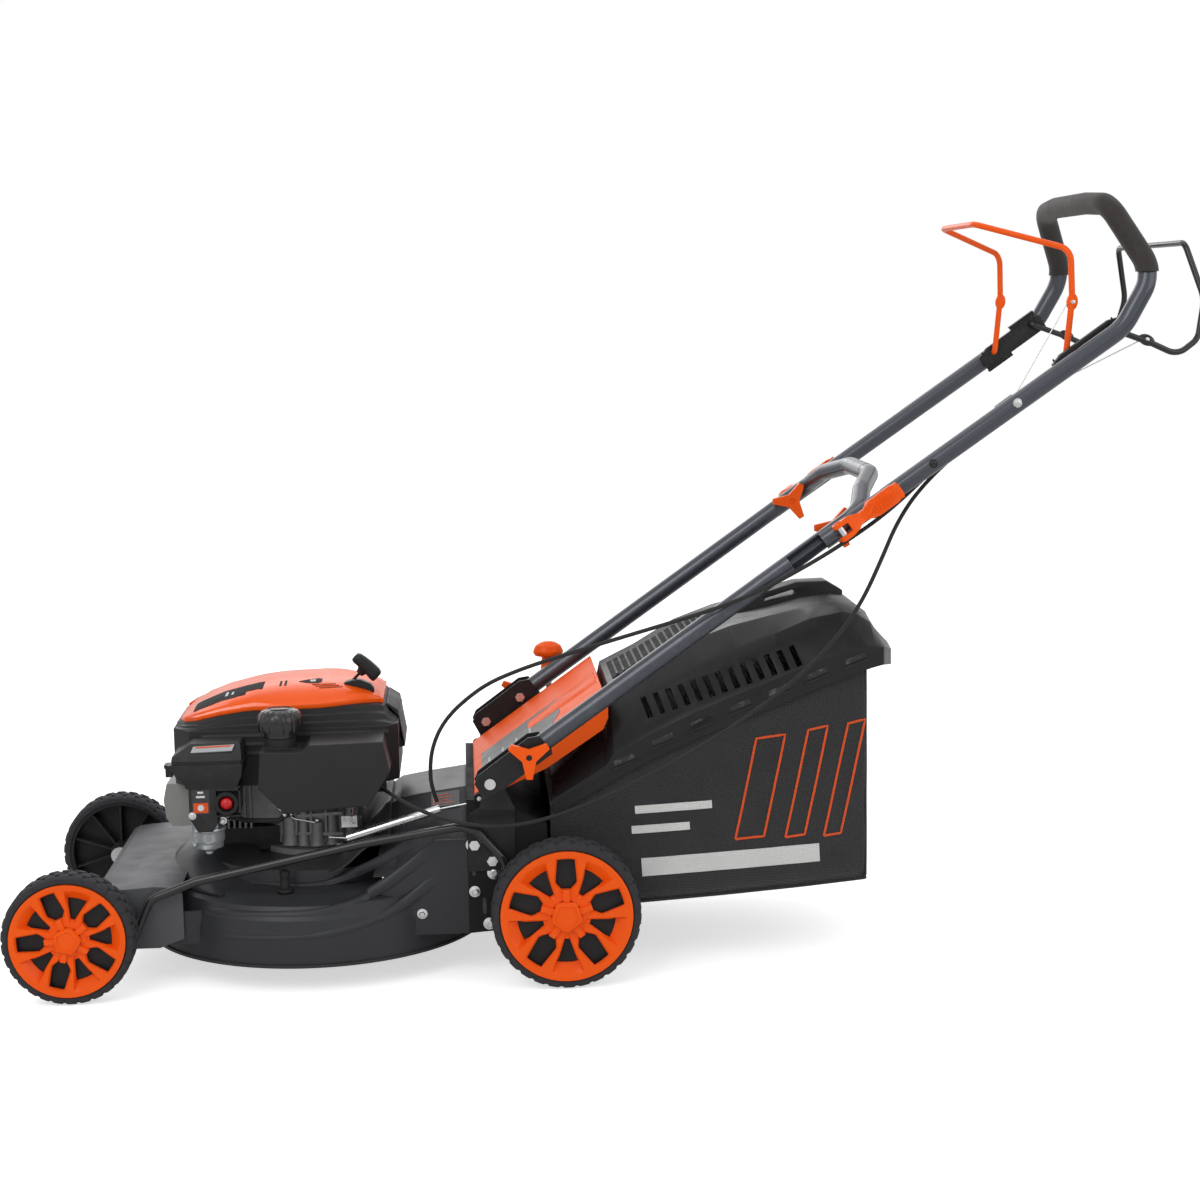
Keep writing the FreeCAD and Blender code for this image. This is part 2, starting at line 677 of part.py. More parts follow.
def deck_shell():
    """The pressed bowl and, behind its seam, the tunnel's pressing, which is welded to it."""
    body = design("deck_bowl")
    skin = outline(body, "bowl_outside", "XZ_Plane", [
        ("0", "turret_top"),
        (TURRET, "turret_top"),
        (f"{TURRET} + 3", "shoulder_top + 4"),
        (SHOULDER, "shoulder_top"),
        (f"{SHOULDER} + 25", "shoulder_top - 10"),
        ("deck_radius - 3", "skirt_top + 18"),
        ("deck_radius", "skirt_top"),
        ("deck_radius", "deck_rim + 4"),
        ("deck_radius + deck_bead", "deck_rim + 4"),
        ("deck_radius + deck_bead", "deck_rim"),
        ("0", "deck_rim"),
    ])
    spin(body, skin)
    shift = "shaft_back"
    side_box = outline(body, "tunnel_sides", "XZ_Plane", [
        (f"{shift} - 262", "side_foot"),
        (f"{shift} - 262", "shoulder_top"),
        (f"{shift} - 210", "0.5 * (shoulder_top + tunnel_side_top)"),
        (f"{shift} - 176", "tunnel_side_top"),
        (f"{shift} - tunnel_end", "tunnel_side_top"),
        (f"{shift} - tunnel_end", "side_foot"),
    ])
    pad(body, side_box, "2 * deck_side", True)
    top_box = outline(body, "tunnel_roof", "XZ_Plane", [
        (f"{shift} - 262", "turret_top - 5"),
        (f"{shift} - 240", "tunnel_top - 24"),
        (f"{shift} - 225", "tunnel_top - 14"),
        (f"{shift} - 184", "tunnel_top - 7"),
        (f"{shift} - tunnel_end", "tunnel_top"),
        (f"{shift} - tunnel_end", "turret_top - 5"),
    ])
    pad(body, top_box, "2 * tunnel_half", True)
    hollow = outline(body, "bowl_inside", "XZ_Plane", [
        ("0", "turret_top - steel"),
        (f"{TURRET} - steel", "turret_top - steel"),
        (f"{TURRET} + 1", "shoulder_top + 4 - steel"),
        (f"{SHOULDER} - 1", "shoulder_top - steel"),
        (f"{SHOULDER} + 23", "shoulder_top - 10 - steel"),
        ("deck_radius - 3 - steel", "skirt_top + 17"),
        ("deck_radius - steel", "skirt_top"),
        ("deck_radius - steel", "deck_rim - 1"),
        ("0", "deck_rim - 1"),
    ])
    spin(body, hollow, "PartDesign::Groove")
    side_hollow = outline(body, "tunnel_sides_inside", "XZ_Plane", [
        (f"{shift} - 262 + steel", "side_foot - 1"),
        (f"{shift} - 262 + steel", "shoulder_top - steel"),
        (f"{shift} - 210", "0.5 * (shoulder_top + tunnel_side_top) - steel"),
        (f"{shift} - 176", "tunnel_side_top - steel"),
        (f"{shift} - tunnel_end + 1", "tunnel_side_top - steel"),
        (f"{shift} - tunnel_end + 1", "side_foot - 1"),
    ])
    pocket(body, side_hollow, "2 * (deck_side - steel)", True)
    top_hollow = outline(body, "tunnel_roof_inside", "XZ_Plane", [
        (f"{shift} - 262 + 2 * steel", "turret_top - 20"),
        (f"{shift} - 240 + steel", "tunnel_top - 25 - steel"),
        (f"{shift} - 225", "tunnel_top - 14 - steel"),
        (f"{shift} - 184", "tunnel_top - 7 - steel"),
        (f"{shift} - tunnel_end + 1", "tunnel_top - steel"),
        (f"{shift} - tunnel_end + 1", "turret_top - 20"),
    ])
    pocket(body, top_hollow, "2 * (tunnel_half - steel)", True)
    put(body, DECK_X, "0", "0")
    back_wall = common(
        "bowl_rear_wall",
        turned_ring("bowl_ring", "deck_radius - steel", "deck_radius", "deck_rim", "shoulder_top - 13"),
        box("bowl_rear_half", ("deck_radius", "2 * deck_side - 2 * steel", "shoulder_top"),
            (f"{DECK_X} + 100", "steel - deck_side", "deck_rim")),
    )
    ears = [deck_ear(*side) for side in SIDES]
    shell = fuse("deck_blank", body, back_wall, *ears)
    reach = "4 * deck_side"
    holes = [
        rod("pilot_hole", "pilot_radius", "20", (DECK_X, "0", "turret_top - 10")),
        rod("front_bearing", "axle_radius + running_gap", reach,
            (FRONT_PIVOT[0], f"-({reach}) / 2", FRONT_PIVOT[1]), ALONG_Y),
        rod("port_hole", "port_radius + running_gap", "80", ("port_x", "port_y", "port_top - 70")),
        box("belt_slot", ("60", "2 * drive_pulley_radius + 8", "pulley_height + 6"),
            ("deck_radius - shaft_back - 40", "-drive_pulley_radius - 4",
             "belt_middle - pulley_height / 2 - 3")),
    ]
    holes += engine_holes("deck", "engine_bolt_radius + air_gap")
    whole = cut("deck_pressing", shell, *holes)
    before_seam = box("before_seam", ("wheelbase", reach, "2 * tunnel_top"),
                      ("-tunnel_seam - wheelbase", f"-({reach}) / 2", "0"))
    node("deck_shell", common("deck_shell", whole, before_seam))
    node("deck_tunnel", cut("deck_tunnel", whole, before_seam))


def turned_ring(name, inner, outer, low, top):
    ring = rod(name + "_outer", outer, f"{top} - ({low})", (DECK_X, "0", low))
    hole = rod(name + "_inner", inner, f"{top} - ({low})", (DECK_X, "0", low))
    return cut(name, ring, hole)


def deck_ear(word, sign):
    """A plate from the bowl to the front crank's bearing."""
    side = "ear_inside" if sign > 0 else "-ear_inside - ear_wall"
    back = "-shaft_back - 148"
    return box(f"deck_ear_{word}", (f"{back} - ({FRONT_PIVOT[0]}) + 16", "ear_wall", "46"),
               (f"{FRONT_PIVOT[0]} - 16", side, f"{FRONT_PIVOT[1]} - 22"))


def engine_bolt_places():
    places = []
    for i in range(round(S.engine_bolts)):
        angle = f"{i} * 360 / engine_bolts + 60"
        places.append((f"{DECK_X} + engine_bolt_circle * cos({angle})", f"engine_bolt_circle * sin({angle})"))
    return places


def engine_holes(word, radius):
    """One upright hole at each engine bolt."""
    return [
        rod(f"{word}_bolt_hole_{i}", radius, "60", (*place, "turret_top - 30"))
        for i, place in enumerate(engine_bolt_places())
    ]


deck_shell()


def front_apron():
    """The grey cover over the front of the deck, open below and behind."""
    skin = prism("apron_outside", "XZ_Plane", [
        ("-642", "75"),
        ("-642", "132"),
        ("-632", "148"),
        ("-612", "155"),
        ("-558", "166"),
        ("-524", "156"),
        ("-521", "128"),
        ("-521", "68"),
        ("-554", "56"),
        ("-600", "56"),
    ], "2 * apron_half")
    hollow = prism("apron_inside", "XZ_Plane", [
        ("-642 + plastic", "70"),
        ("-642 + plastic", "131"),
        ("-631 + plastic", "148 - plastic"),
        ("-612", "155 - plastic"),
        ("-558", "166 - plastic"),
        ("-520", "154 - plastic"),
        ("-520", "50"),
        ("-600", "50"),
    ], "2 * (apron_half - plastic)")
    reach = "4 * apron_half"
    bore = rod("apron_bore", "axle_radius + air_gap", reach,
               (FRONT_PIVOT[0], f"-({reach}) / 2", FRONT_PIVOT[1]), ALONG_Y)
    node("front_apron", cut("front_apron", skin, hollow, bore))


front_apron()


def rear_frame():
    """The black moulding behind the deck: two sides, a chute floor and a sloping roof."""
    start = "air_gap - tunnel_end"
    skin = prism("frame_outside", "XZ_Plane", [
        (start, "side_foot"),
        (start, "flap_pivot_z - 1"),
        ("-104", "flap_pivot_z - 2"),
        ("-chute_end", "212"),
        ("-chute_end", "side_foot + 8"),
    ], "2 * deck_side")
    chute = prism("frame_chute", "XZ_Plane", [
        (f"{start} - 1", "chute_floor"),
        (f"{start} - 1", "flap_pivot_z - 1 - plastic"),
        ("-104", "flap_pivot_z - 2 - plastic"),
        ("-chute_end + 1", "212 - plastic"),
        ("-chute_end + 1", "chute_floor"),
    ], "2 * (deck_side - chute_wall)")
    below = prism("frame_below", "XZ_Plane", [
        (f"{start} - 1", "side_foot - 1"),
        (f"{start} - 1", "chute_floor - 4"),
        ("-chute_end - 4", "chute_floor - 4"),
        ("-chute_end - 4", "side_foot - 1"),
    ], "2 * (deck_side - chute_wall)")
    reach = "4 * deck_side"
    bearing = rod("rear_bearing", "axle_radius + running_gap", reach,
                  (REAR_PIVOT[0], f"-({reach}) / 2", REAR_PIVOT[1]), ALONG_Y)
    window = box("frame_window", ("10", "2 * drive_pulley_radius + 8", "chute_floor - 4 - side_foot"),
                 ("-chute_end - 5", "-drive_pulley_radius - 4", "side_foot"))
    knuckle = "flap_knuckle + air_gap"
    relief_half = "flap_half + 2 * air_gap"
    relief = rod("flap_relief", knuckle, f"2 * ({relief_half})",
                 ("flap_pivot_x", f"-({relief_half})", "flap_pivot_z"), ALONG_Y)
    lug = f"deck_side - chute_wall / 2 - ({relief_half})"
    lugs = [
        rod(f"flap_lug_{word}", "flap_knuckle", lug, ("flap_pivot_x", y, "flap_pivot_z"), ALONG_Y)
        for word, y in (("left", f"-({relief_half}) - ({lug})"), ("right", relief_half))
    ]
    rod_hole = rod("flap_rod_hole", "flap_rod", reach,
                   ("flap_pivot_x", f"-({reach}) / 2", "flap_pivot_z"), ALONG_Y)
    frame = cut("frame_shell", skin, chute, below, relief, bearing, window)
    node("rear_frame", cut("rear_frame", fuse("frame_with_lugs", frame, *lugs), rod_hole))


rear_frame()

# Handle brackets: a side plate, a shelf and two cheeks on each side, which hold the lower handle's end

SIDE_BOLTS = [("-tunnel_end + 10", "187"), ("-98", "164")]
SHELF = "tunnel_top - 19"


def along(back, up):
    """A place on the handle's line as (x, z) rules: back along the tube and up square to it."""
    return (
        f"fold_x + ({back}) * cos(handle_angle) - ({up}) * sin(handle_angle)",
        f"fold_z + ({back}) * sin(handle_angle) + ({up}) * cos(handle_angle)",
    )


def handle_bracket(word, sign):
    tube = "handle_tube"
    cheek = [
        along("-20", "-12"),
        along("-17", "12"),
        along("-6", f"{tube} + 6"),
        along("78", f"{tube} + 8"),
        along("92", f"{tube} + 1"),
        along("92", f"-{tube} - 4"),
        along("10", f"-{tube} - 4.3"),
        ("-66", SHELF),
        ("-115", SHELF),
    ]
    inner = prism(f"{word}_inner_cheek", "XZ_Plane", cheek, "steel", f"{-sign} * (cheek_inside + steel / 2)")
    outer = prism(f"{word}_outer_cheek", "XZ_Plane", cheek[:-2], "steel",
                  f"{-sign} * (cheek_outside - steel / 2)")
    web = prism(f"{word}_web", "XZ_Plane", [
        along("92", f"-{tube} - 4"),
        along("92", f"-{tube} - 1.8"),
        along("13", f"-{tube} - 1.8"),
        along("12", f"-{tube} - 4.3"),
    ], "cheek_outside - cheek_inside", f"{-sign} * (cheek_outside + cheek_inside) / 2")
    inside = "deck_side + air_gap"
    plate = prism(f"{word}_side_plate", "XZ_Plane", [
        ("-tunnel_end + 1", "150"),
        ("-tunnel_end + 1", "230"),
        ("-115", SHELF),
        ("-66", SHELF),
        ("-66", "150"),
    ], "steel", f"{-sign} * ({inside} + steel / 2)")
    shelf = prism(f"{word}_shelf", "XZ_Plane", [
        ("-115", f"{SHELF} - steel"),
        ("-115", SHELF),
        ("-66", SHELF),
        ("-66", f"{SHELF} - steel"),
    ], f"cheek_inside + steel - ({inside})", f"{-sign} * (cheek_inside + steel + {inside}) / 2")
    reach = "cheek_outside + 10"
    holes = []
    for hole, back in (("pivot", "0"), ("clamp", "clamp_back")):
        x, z = along(back, "0")
        holes.append(rod(f"{word}_{hole}_hole", "bolt_radius + running_gap", reach,
                         (x, "0" if sign > 0 else f"-({reach})", z), ALONG_Y))
    for i, (x, z) in enumerate(SIDE_BOLTS):
        holes.append(rod(f"{word}_side_hole_{i}", "bolt_radius + air_gap", reach,
                         (x, "0" if sign > 0 else f"-({reach})", z), ALONG_Y))
    whole = fuse(f"{word}_bracket_blank", inner, outer, web, plate, shelf)
    return cut(f"{word}_handle_bracket", whole, *holes)


node("handle_brackets", group("handle_brackets", *[handle_bracket(*side) for side in SIDES]))


def chassis_bolts():
    """Pivot bolts, clamp bolts and screws of both brackets, the engine's bolts and the flap's hinge rod."""
    solids = []
    for word, sign in SIDES:
        for hole, back in (("pivot", "0"), ("clamp", "clamp_back")):
            x, z = along(back, "0")
            inside = "cheek_inside - 5"
            outside = "cheek_outside + 2.5" if hole == "pivot" else "cheek_outside + star_height - 3"
            length = f"{outside} - ({inside})"
            begin = inside if sign > 0 else f"-({outside})"
            shank = rod(f"{word}_{hole}_shank", "bolt_radius", length, (x, begin, z), ALONG_Y)
            head_at = inside if sign > 0 else f"-({inside}) - 4.6"
            head = nut(f"{word}_{hole}_head", "bolt_head", "4.6", (x, head_at, z), ALONG_Y)
            parts = [shank, head]
            if hole == "pivot":
                cap_at = "cheek_outside + air_gap" if sign > 0 else "-cheek_outside - air_gap - 4"
                parts.append(rod(f"{word}_pivot_cap", "bolt_head", "4", (x, cap_at, z), ALONG_Y))
            solids.append(fuse(f"{word}_{hole}_bolt", *parts))
    for word, sign in SIDES:
        for i, (x, z) in enumerate(SIDE_BOLTS):
            face = "deck_side + air_gap + steel"
            head_at = face if sign > 0 else f"-({face}) - 3.5"
            solids.append(nut(f"{word}_side_head_{i}", "bolt_head", "3.5", (x, head_at, z), ALONG_Y))
    for i, (x, y) in enumerate(engine_bolt_places()):
        shank = rod(f"engine_shank_{i}", "engine_bolt_radius", "flange_wall + 3 * steel",
                    (x, y, "turret_top - 3 * steel"))
        head = nut(f"engine_head_{i}", "bolt_head", "5", (x, y, "turret_top + flange_wall"))
        solids.append(fuse(f"engine_bolt_{i}", shank, head))
    solids.append(rod("flap_hinge_rod", "flap_rod", "2 * deck_side",
                      ("flap_pivot_x", "-deck_side", "flap_pivot_z"), ALONG_Y))
    node("chassis_bolts", group("chassis_bolts", *solids))


chassis_bolts()

# Handle: a lower and an upper part on one line. Near their joint each is cut flat, so that they lie side by
# side within one tube's outline and turn about the cam bolt.

t = math.radians(S.handle_angle)
slope = Vector(math.cos(t), 0, math.sin(t))
square = Vector(-math.sin(t), 0, math.cos(t))
fold = Vector(S.fold_x, 0, S.fold_z)
cam = fold + slope * S.leg_length


def spot(base, back, up, y):
    """A place back along the handle's line from a base, up square to it, at y."""
    place = base + slope * back + square * up
    return Vector(place.x, y, place.z)


def lengthwise_block(start, end, low, high, inner, outer):
    """A block along the handle's line, between two heights square to it and two places in y."""
    shape = Part.makeBox(end - start, outer - inner, high - low)
    shape.Placement = FreeCAD.Placement(spot(cam, start, low, inner), Rotation(Y, -S.handle_angle))
    return shape


def both_sides(shape):
    return [shape, shape.mirror(Vector(0, 0, 0), Y)]


def cross_bore(place, radius, reach=600):
    """A hole through both legs."""
    return Part.makeCylinder(radius, reach, Vector(place.x, -reach / 2, place.z), Y)


def lower_handle():
    """Two legs and an arch between them, with a hook notch for each clamp bolt."""
    side = S.lower_side
    stub = S.handle_tube - 1
    legs = [
        spot(fold, -stub, 0, side),
        spot(cam, 34, 2, side),
        spot(cam, 62, 14, side - 66),
        spot(cam, 92, 12, 0.35 * side),
    ]
    route = mirrored(legs)
    bends = [34, 60, 50, 50, 60, 34]
    outer = swept(route, bends, S.handle_tube)
    inner = swept(route, bends, S.handle_tube - S.handle_wall)
    whole = outer.cut(inner)
    flat = lengthwise_block(-S.joint_flat, 90, -30, 30, S.joint_plane, S.joint_plane + 30)
    clamp = fold + slope * S.clamp_back
    slack, reach = S.bolt_radius + 0.5, 60
    start = Vector(fold.x, side - reach / 2, fold.z)
    swing = Part.makeCylinder(S.clamp_back + slack, reach, start, Y)
    swing = swing.cut(Part.makeCylinder(S.clamp_back - slack, reach, start, Y))
    below = Part.makeBox(40, reach, 40)
    below.Placement = FreeCAD.Placement(spot(clamp, -20, -40, side - reach / 2), Rotation(Y, -S.handle_angle))
    notch = swing.common(below)
    tools = both_sides(flat) + both_sides(notch) + [cross_bore(clamp, slack)]
    tools += [cross_bore(place, S.bolt_radius + S.running_gap) for place in (fold, cam)]
    node("lower_handle", feature("lower_handle", whole.cut(tools)))


def upper_route():
    """The upper handle's centre line on the right, from the joint to the middle of the crossbar."""
    side = S.upper_side
    return [
        spot(cam, -S.joint_flat * 0.34, 0, side),
        spot(cam, 465, -3, side),
        Vector(cam.x + 424, side - 3, cam.z + 334),
        Vector(cam.x + 379.5, 0.72 * side, cam.z + 428),
        Vector(cam.x + 373.5, 0.34 * side, cam.z + 432.6),
    ]


UPPER_BENDS = [70, 52, 45, 60]


def upper_handle():
    """Two legs, bent up and inward to a crossbar."""
    route = mirrored(upper_route())
    bends = UPPER_BENDS + list(reversed(UPPER_BENDS))
    outer = swept(route, bends, S.handle_tube)
    inner = swept(route, bends, S.handle_tube - S.handle_wall)
    whole = outer.cut(inner)
    flat = lengthwise_block(-90, S.joint_flat - 4, -30, 30, S.joint_plane - 30, S.joint_plane + S.air_gap)
    bore = cross_bore(cam, S.bolt_radius + S.running_gap)
    node("upper_handle", feature("upper_handle", whole.cut(both_sides(flat) + [bore])))
    sleeve = swept(route, bends, S.grip_radius)
    core = swept(route, bends, S.handle_tube + S.grip_clearance)
    keep = Part.makeBox(400, 600, 400, Vector(cam.x + 230, -300, cam.z + 336))
    node("foam_grip", feature("foam_grip", sleeve.cut(core).common(keep)))


lower_handle()
upper_handle()


def star(name, facing, first):
    """A knob with a hub and three arms, of which the first points at an angle, bored for its bolt."""
    body = design(name)
    arms = 3
    corners = []
    for i in range(arms):
        turn = f"{i} * 360 / {arms} + {first}"
        corners += [
            (f"star_reach * cos({turn} - 8)", f"star_reach * sin({turn} - 8)"),
            (f"star_reach * cos({turn} + 8)", f"star_reach * sin({turn} + 8)"),
            (f"0.84 * star_hub * cos({turn} + 60)", f"0.84 * star_hub * sin({turn} + 60)"),
        ]
    plane = "XZ_Plane"
    pad(body, outline(body, f"{name}_arms", plane, corners, "0.4 * star_height"), "0.6 * star_height")
    pad(body, circle(body, f"{name}_hub", plane, "0.75 * star_hub", ("0", "0")), "star_height")
    pocket(body, circle(body, f"{name}_bore", plane, "bolt_radius + running_gap", ("0", "0")), back=True)
    body.Placement.Rotation = UPRIGHT if facing < 0 else Rotation(Z, 180)
    return body


CLAMP = along("clamp_back", "0")
CAM = along("leg_length", "0")
for word, sign in SIDES:
    knob = star(f"bracket_knob_{word}", sign, "-90")
    node(f"bracket_knob_{word}", knob, CLAMP[0], f"{sign} * (cheek_outside + air_gap)", CLAMP[1])


def cam_levers():
    """Cam bolts with their cross pins, and the levers that turn on the pins."""
    bolts = []
    outside = "upper_side + handle_tube + 9"
    nut_face = "lower_side - handle_tube - air_gap"
    inside = f"{nut_face} - star_height + 2"
    for word, sign in SIDES:
        begin = inside if sign > 0 else f"-({outside})"
        shank = rod(f"{word}_cam_shank", "bolt_radius", f"{outside} - ({inside})",
                    (CAM[0], begin, CAM[1]), ALONG_Y)
        pin_start = along("leg_length", "-11")
        pin = doc.addObject("Part::Cylinder", f"{word}_cam_pin")
        pin.Placement.Rotation = Rotation(Z, square)
        bind(pin, Radius="5", Height="22")
        put(pin, pin_start[0], f"{sign} * ({outside})", pin_start[1])
        holder = star(f"{word}_cam_nut", -sign, "-60" if sign > 0 else "0")
        put(holder, CAM[0], f"{sign} * ({nut_face})", CAM[1])
        bolts.append(fuse(f"{word}_cam_bolt", shank, pin, holder))
        axis_y = sign * (S.upper_side + S.handle_tube + 9)
        arm_outline = [(0, -7.5), (14, -7), (34, -5), (96, -7), (97, 1), (34, 3), (10, 8.6), (0, 8.6)]
        corners = [Vector(x, y, 0) for x, y in arm_outline + arm_outline[:1]]
        lever = Part.Face(Part.makePolygon(corners)).extrude(Z * 26)
        lever = lever.fuse(Part.makeCylinder(8.6, 26))
        slot = Part.makeBox(24, 40, 13, Vector(-12, -20, 6.5))
        bore = Part.makeCylinder(5 + S.running_gap, 60, Vector(0, 0, -20), Z)
        lever = lever.cut([slot, bore])
        corner = cam - square * 13
        frame = FreeCAD.Matrix(slope.x, 0, square.x, corner.x, 0, sign, 0, axis_y,
                               slope.z, 0, square.z, corner.z, 0, 0, 0, 1)
        lever = lever.transformGeometry(frame)
        node(f"cam_lever_{word}", feature(f"cam_lever_{word}", lever))
    node("cam_bolts", group("cam_bolts", *bolts))


cam_levers()


def bail(name, pivot, route, bends):
    """A bent wire whose ends turn outward into the bail brackets."""
    tip = S.upper_side - S.handle_tube - 2
    legs = [Vector(pivot[0], tip, pivot[1]), Vector(pivot[0], S.bail_side, pivot[1])]
    legs += [Vector(pivot[0] + back, y, pivot[1] + up) for back, up, y in route]
    points = mirrored(legs)
    solid = swept(points, bends + list(reversed(bends)), S.bail_radius)
    node(name, feature(name, solid))


bail("brake_bail", (S.brake_pivot_x, S.brake_pivot_z), [
    (8, 81, 194.5),
    (6, 146, 192),
    (-103, 184, 98),
], [5, 60, 22, 24])
bail("drive_bail", (S.drive_pivot_x, S.drive_pivot_z), [
    (60, -22, 195),
    (97, -39, 194),
    (127, -18, 188),
    (139, 36, 176),
    (119, 112, 150),
], [5, 90, 26, 26, 50, 16])


def bail_bracket(word, sign):
    """A moulding on the inside of each leg, in which both bails turn."""
    corners = [
        along("leg_length + 362", "-13"),
        along("leg_length + 362", "9"),
        along("leg_length + 378", "14"),
        along("leg_length + 458", "14"),
        along("leg_length + 472", "9"),
        along("leg_length + 472", "-13"),
    ]
    middle = "upper_side - handle_tube - air_gap - bail_bracket_wall / 2"
    block = prism(f"{word}_bail_block", "XZ_Plane", corners, "bail_bracket_wall", f"{-sign} * ({middle})")
    reach = "4 * bail_bracket_wall"
    begin = f"{middle} - ({reach}) / 2" if sign > 0 else f"-({middle}) - ({reach}) / 2"
    holes = [
        rod(f"{word}_{which}_hole", "bail_radius + running_gap", reach,
            (f"{which}_pivot_x", begin, f"{which}_pivot_z"), ALONG_Y)
        for which in ("brake", "drive")
    ]
    return cut(f"{word}_bail_bracket", block, *holes)


node("bail_brackets", group("bail_brackets", *[bail_bracket(*side) for side in SIDES]))


def cable_guide():
    """A block on the inside of the left leg, where the pull wires enter their cables."""
    corners = [
        along("leg_length + 268", "-10"),
        along("leg_length + 268", "8"),
        along("leg_length + 296", "8"),
        along("leg_length + 296", "-10"),
    ]
    node("cable_guide", prism("cable_guide", "XZ_Plane", corners, "12",
                              "upper_side - handle_tube - air_gap - 6"))


cable_guide()

# Blade, crankshaft and drive. Everything here turns about the shaft, except the belt and the gearbox.

GROOVE = "belt_height / 2"


def pulley_rim(radius):
    """Corners of a grooved rim as (radius, height), from the bottom up."""
    return [
        (radius, "belt_middle - pulley_height / 2"),
        (radius, f"belt_middle - {GROOVE}"),
        (f"{radius} - belt_depth", f"belt_middle - {GROOVE}"),
        (f"{radius} - belt_depth", f"belt_middle + {GROOVE}"),
        (radius, f"belt_middle + {GROOVE}"),
        (radius, "belt_middle + pulley_height / 2"),
    ]


def blade():
    """A flat bar with a raised sail at the back of each end."""
    body = design("blade")
    bar = outline(body, "blade_bar", "XY_Plane", [
        ("-blade_length / 2", "-blade_width / 2"),
        ("blade_length / 2", "-blade_width / 2 + 10"),
        ("blade_length / 2", "blade_width / 2"),
        ("-blade_length / 2", "blade_width / 2 - 10"),
    ])
    pad(body, bar, "blade_wall")
    for word, sign in SIDES:
        sail = outline(body, f"blade_sail_{word}", "YZ_Plane", [
            (f"{sign} * (blade_width / 2)", "0"),
            (f"{sign} * (blade_width / 2)", "blade_wall + 9"),
            (f"{sign} * (blade_width / 2 - 3)", "blade_wall + 9"),
            (f"{sign} * (blade_width / 2 - 14)", "blade_wall"),
            (f"{sign} * (blade_width / 2 - 14)", "0"),
        ], f"blade_length / 2 - {'0' if sign > 0 else 'blade_length'} - {'70' if sign > 0 else '0'}")
        pad(body, sail, "70")
    pocket(body, circle(body, "blade_hole", "XY_Plane", "shaft_radius - 2.5", ("0", "0")), back=True)
    node("blade", body, DECK_X, "0", "blade_low")


def crankshaft():
    """Shaft, counterweight, blade adapter and bolt, and the drive pulley."""
    shaft = turned("crankshaft", "XZ_Plane", [
        ("0", "blade_low - 8"),
        ("14", "blade_low - 8"),
        ("14", "blade_low"),
        ("shaft_radius - 2.5", "blade_low"),
        ("shaft_radius - 2.5", "blade_low + blade_wall"),
        ("adapter_radius", "blade_low + blade_wall"),
        ("adapter_radius", "blade_low + blade_wall + 14"),
        ("shaft_radius + 5", "blade_low + blade_wall + 18"),
        ("shaft_radius + 5", "belt_middle - pulley_height / 2"),
        *pulley_rim("engine_pulley_radius"),
        ("shaft_radius", "belt_middle + pulley_height / 2"),
        ("shaft_radius", "turret_top + 32"),
        ("0.6 * crankcase_radius", "turret_top + 34"),
        ("0.6 * crankcase_radius", "turret_top + 48"),
        ("shaft_radius", "turret_top + 50"),
        ("shaft_radius", "flywheel_low + flywheel_height"),
        ("shaft_radius - 1", "flywheel_low + flywheel_height + 9"),
        ("0", "flywheel_low + flywheel_height + 9"),
    ])
    node("crankshaft", shaft, DECK_X)


def flywheel():
    """A disc with a ring of fan blades."""
    body = turned("flywheel", "XZ_Plane", [
        ("shaft_radius", "0"),
        ("shaft_radius + 9", "0"),
        ("flywheel_radius - 14", "8"),
        ("flywheel_radius - 14", "0"),
        ("flywheel_radius", "0"),
        ("flywheel_radius", "flywheel_height - 8"),
        ("shaft_radius + 9", "flywheel_height - 4"),
        ("shaft_radius + 9", "flywheel_height"),
        ("shaft_radius", "flywheel_height"),
    ])
    fin = pad(body, outline(body, "fan_blade", "XY_Plane", [
        ("0.55 * flywheel_radius", "-2"),
        ("0.97 * flywheel_radius", "6"),
        ("0.97 * flywheel_radius", "9"),
        ("0.55 * flywheel_radius", "1"),
    ], "flywheel_height - 9"), "16")
    around(body, fin, "Z_Axis", "14")
    node("flywheel", body, DECK_X, "0", "flywheel_low")


GEARBOX_SHAFT = "-95"


def gearbox():
    """The drive case on the rear cross shaft, with the post of its input pulley, and that pulley."""
    case = box("gearbox_case", ("66", "2 * gearbox_half", "34"), ("-105", "-gearbox_half", "70"))
    foot = box("gearbox_foot", ("14", "gearbox_half", "chute_floor - 4 - 104"),
               ("-55", "-gearbox_half / 2", "104"))
    post = rod("gearbox_post", "axle_radius", "belt_middle + pulley_height / 2 - 103",
               (GEARBOX_SHAFT, "0", "103"))
    bore = rod("gearbox_bore", "axle_radius + running_gap", "3 * gearbox_half",
               (REAR_PIVOT[0], "-1.5 * gearbox_half", REAR_PIVOT[1]), ALONG_Y)
    node("gearbox", cut("gearbox", fuse("gearbox_blank", case, foot, post), bore))
    pulley = turned("gearbox_pulley", "XZ_Plane", [
        ("axle_radius + running_gap", "belt_middle - pulley_height / 2"),
        *pulley_rim("drive_pulley_radius"),
        ("axle_radius + running_gap", "belt_middle + pulley_height / 2"),
    ])
    node("gearbox_pulley", pulley, GEARBOX_SHAFT)


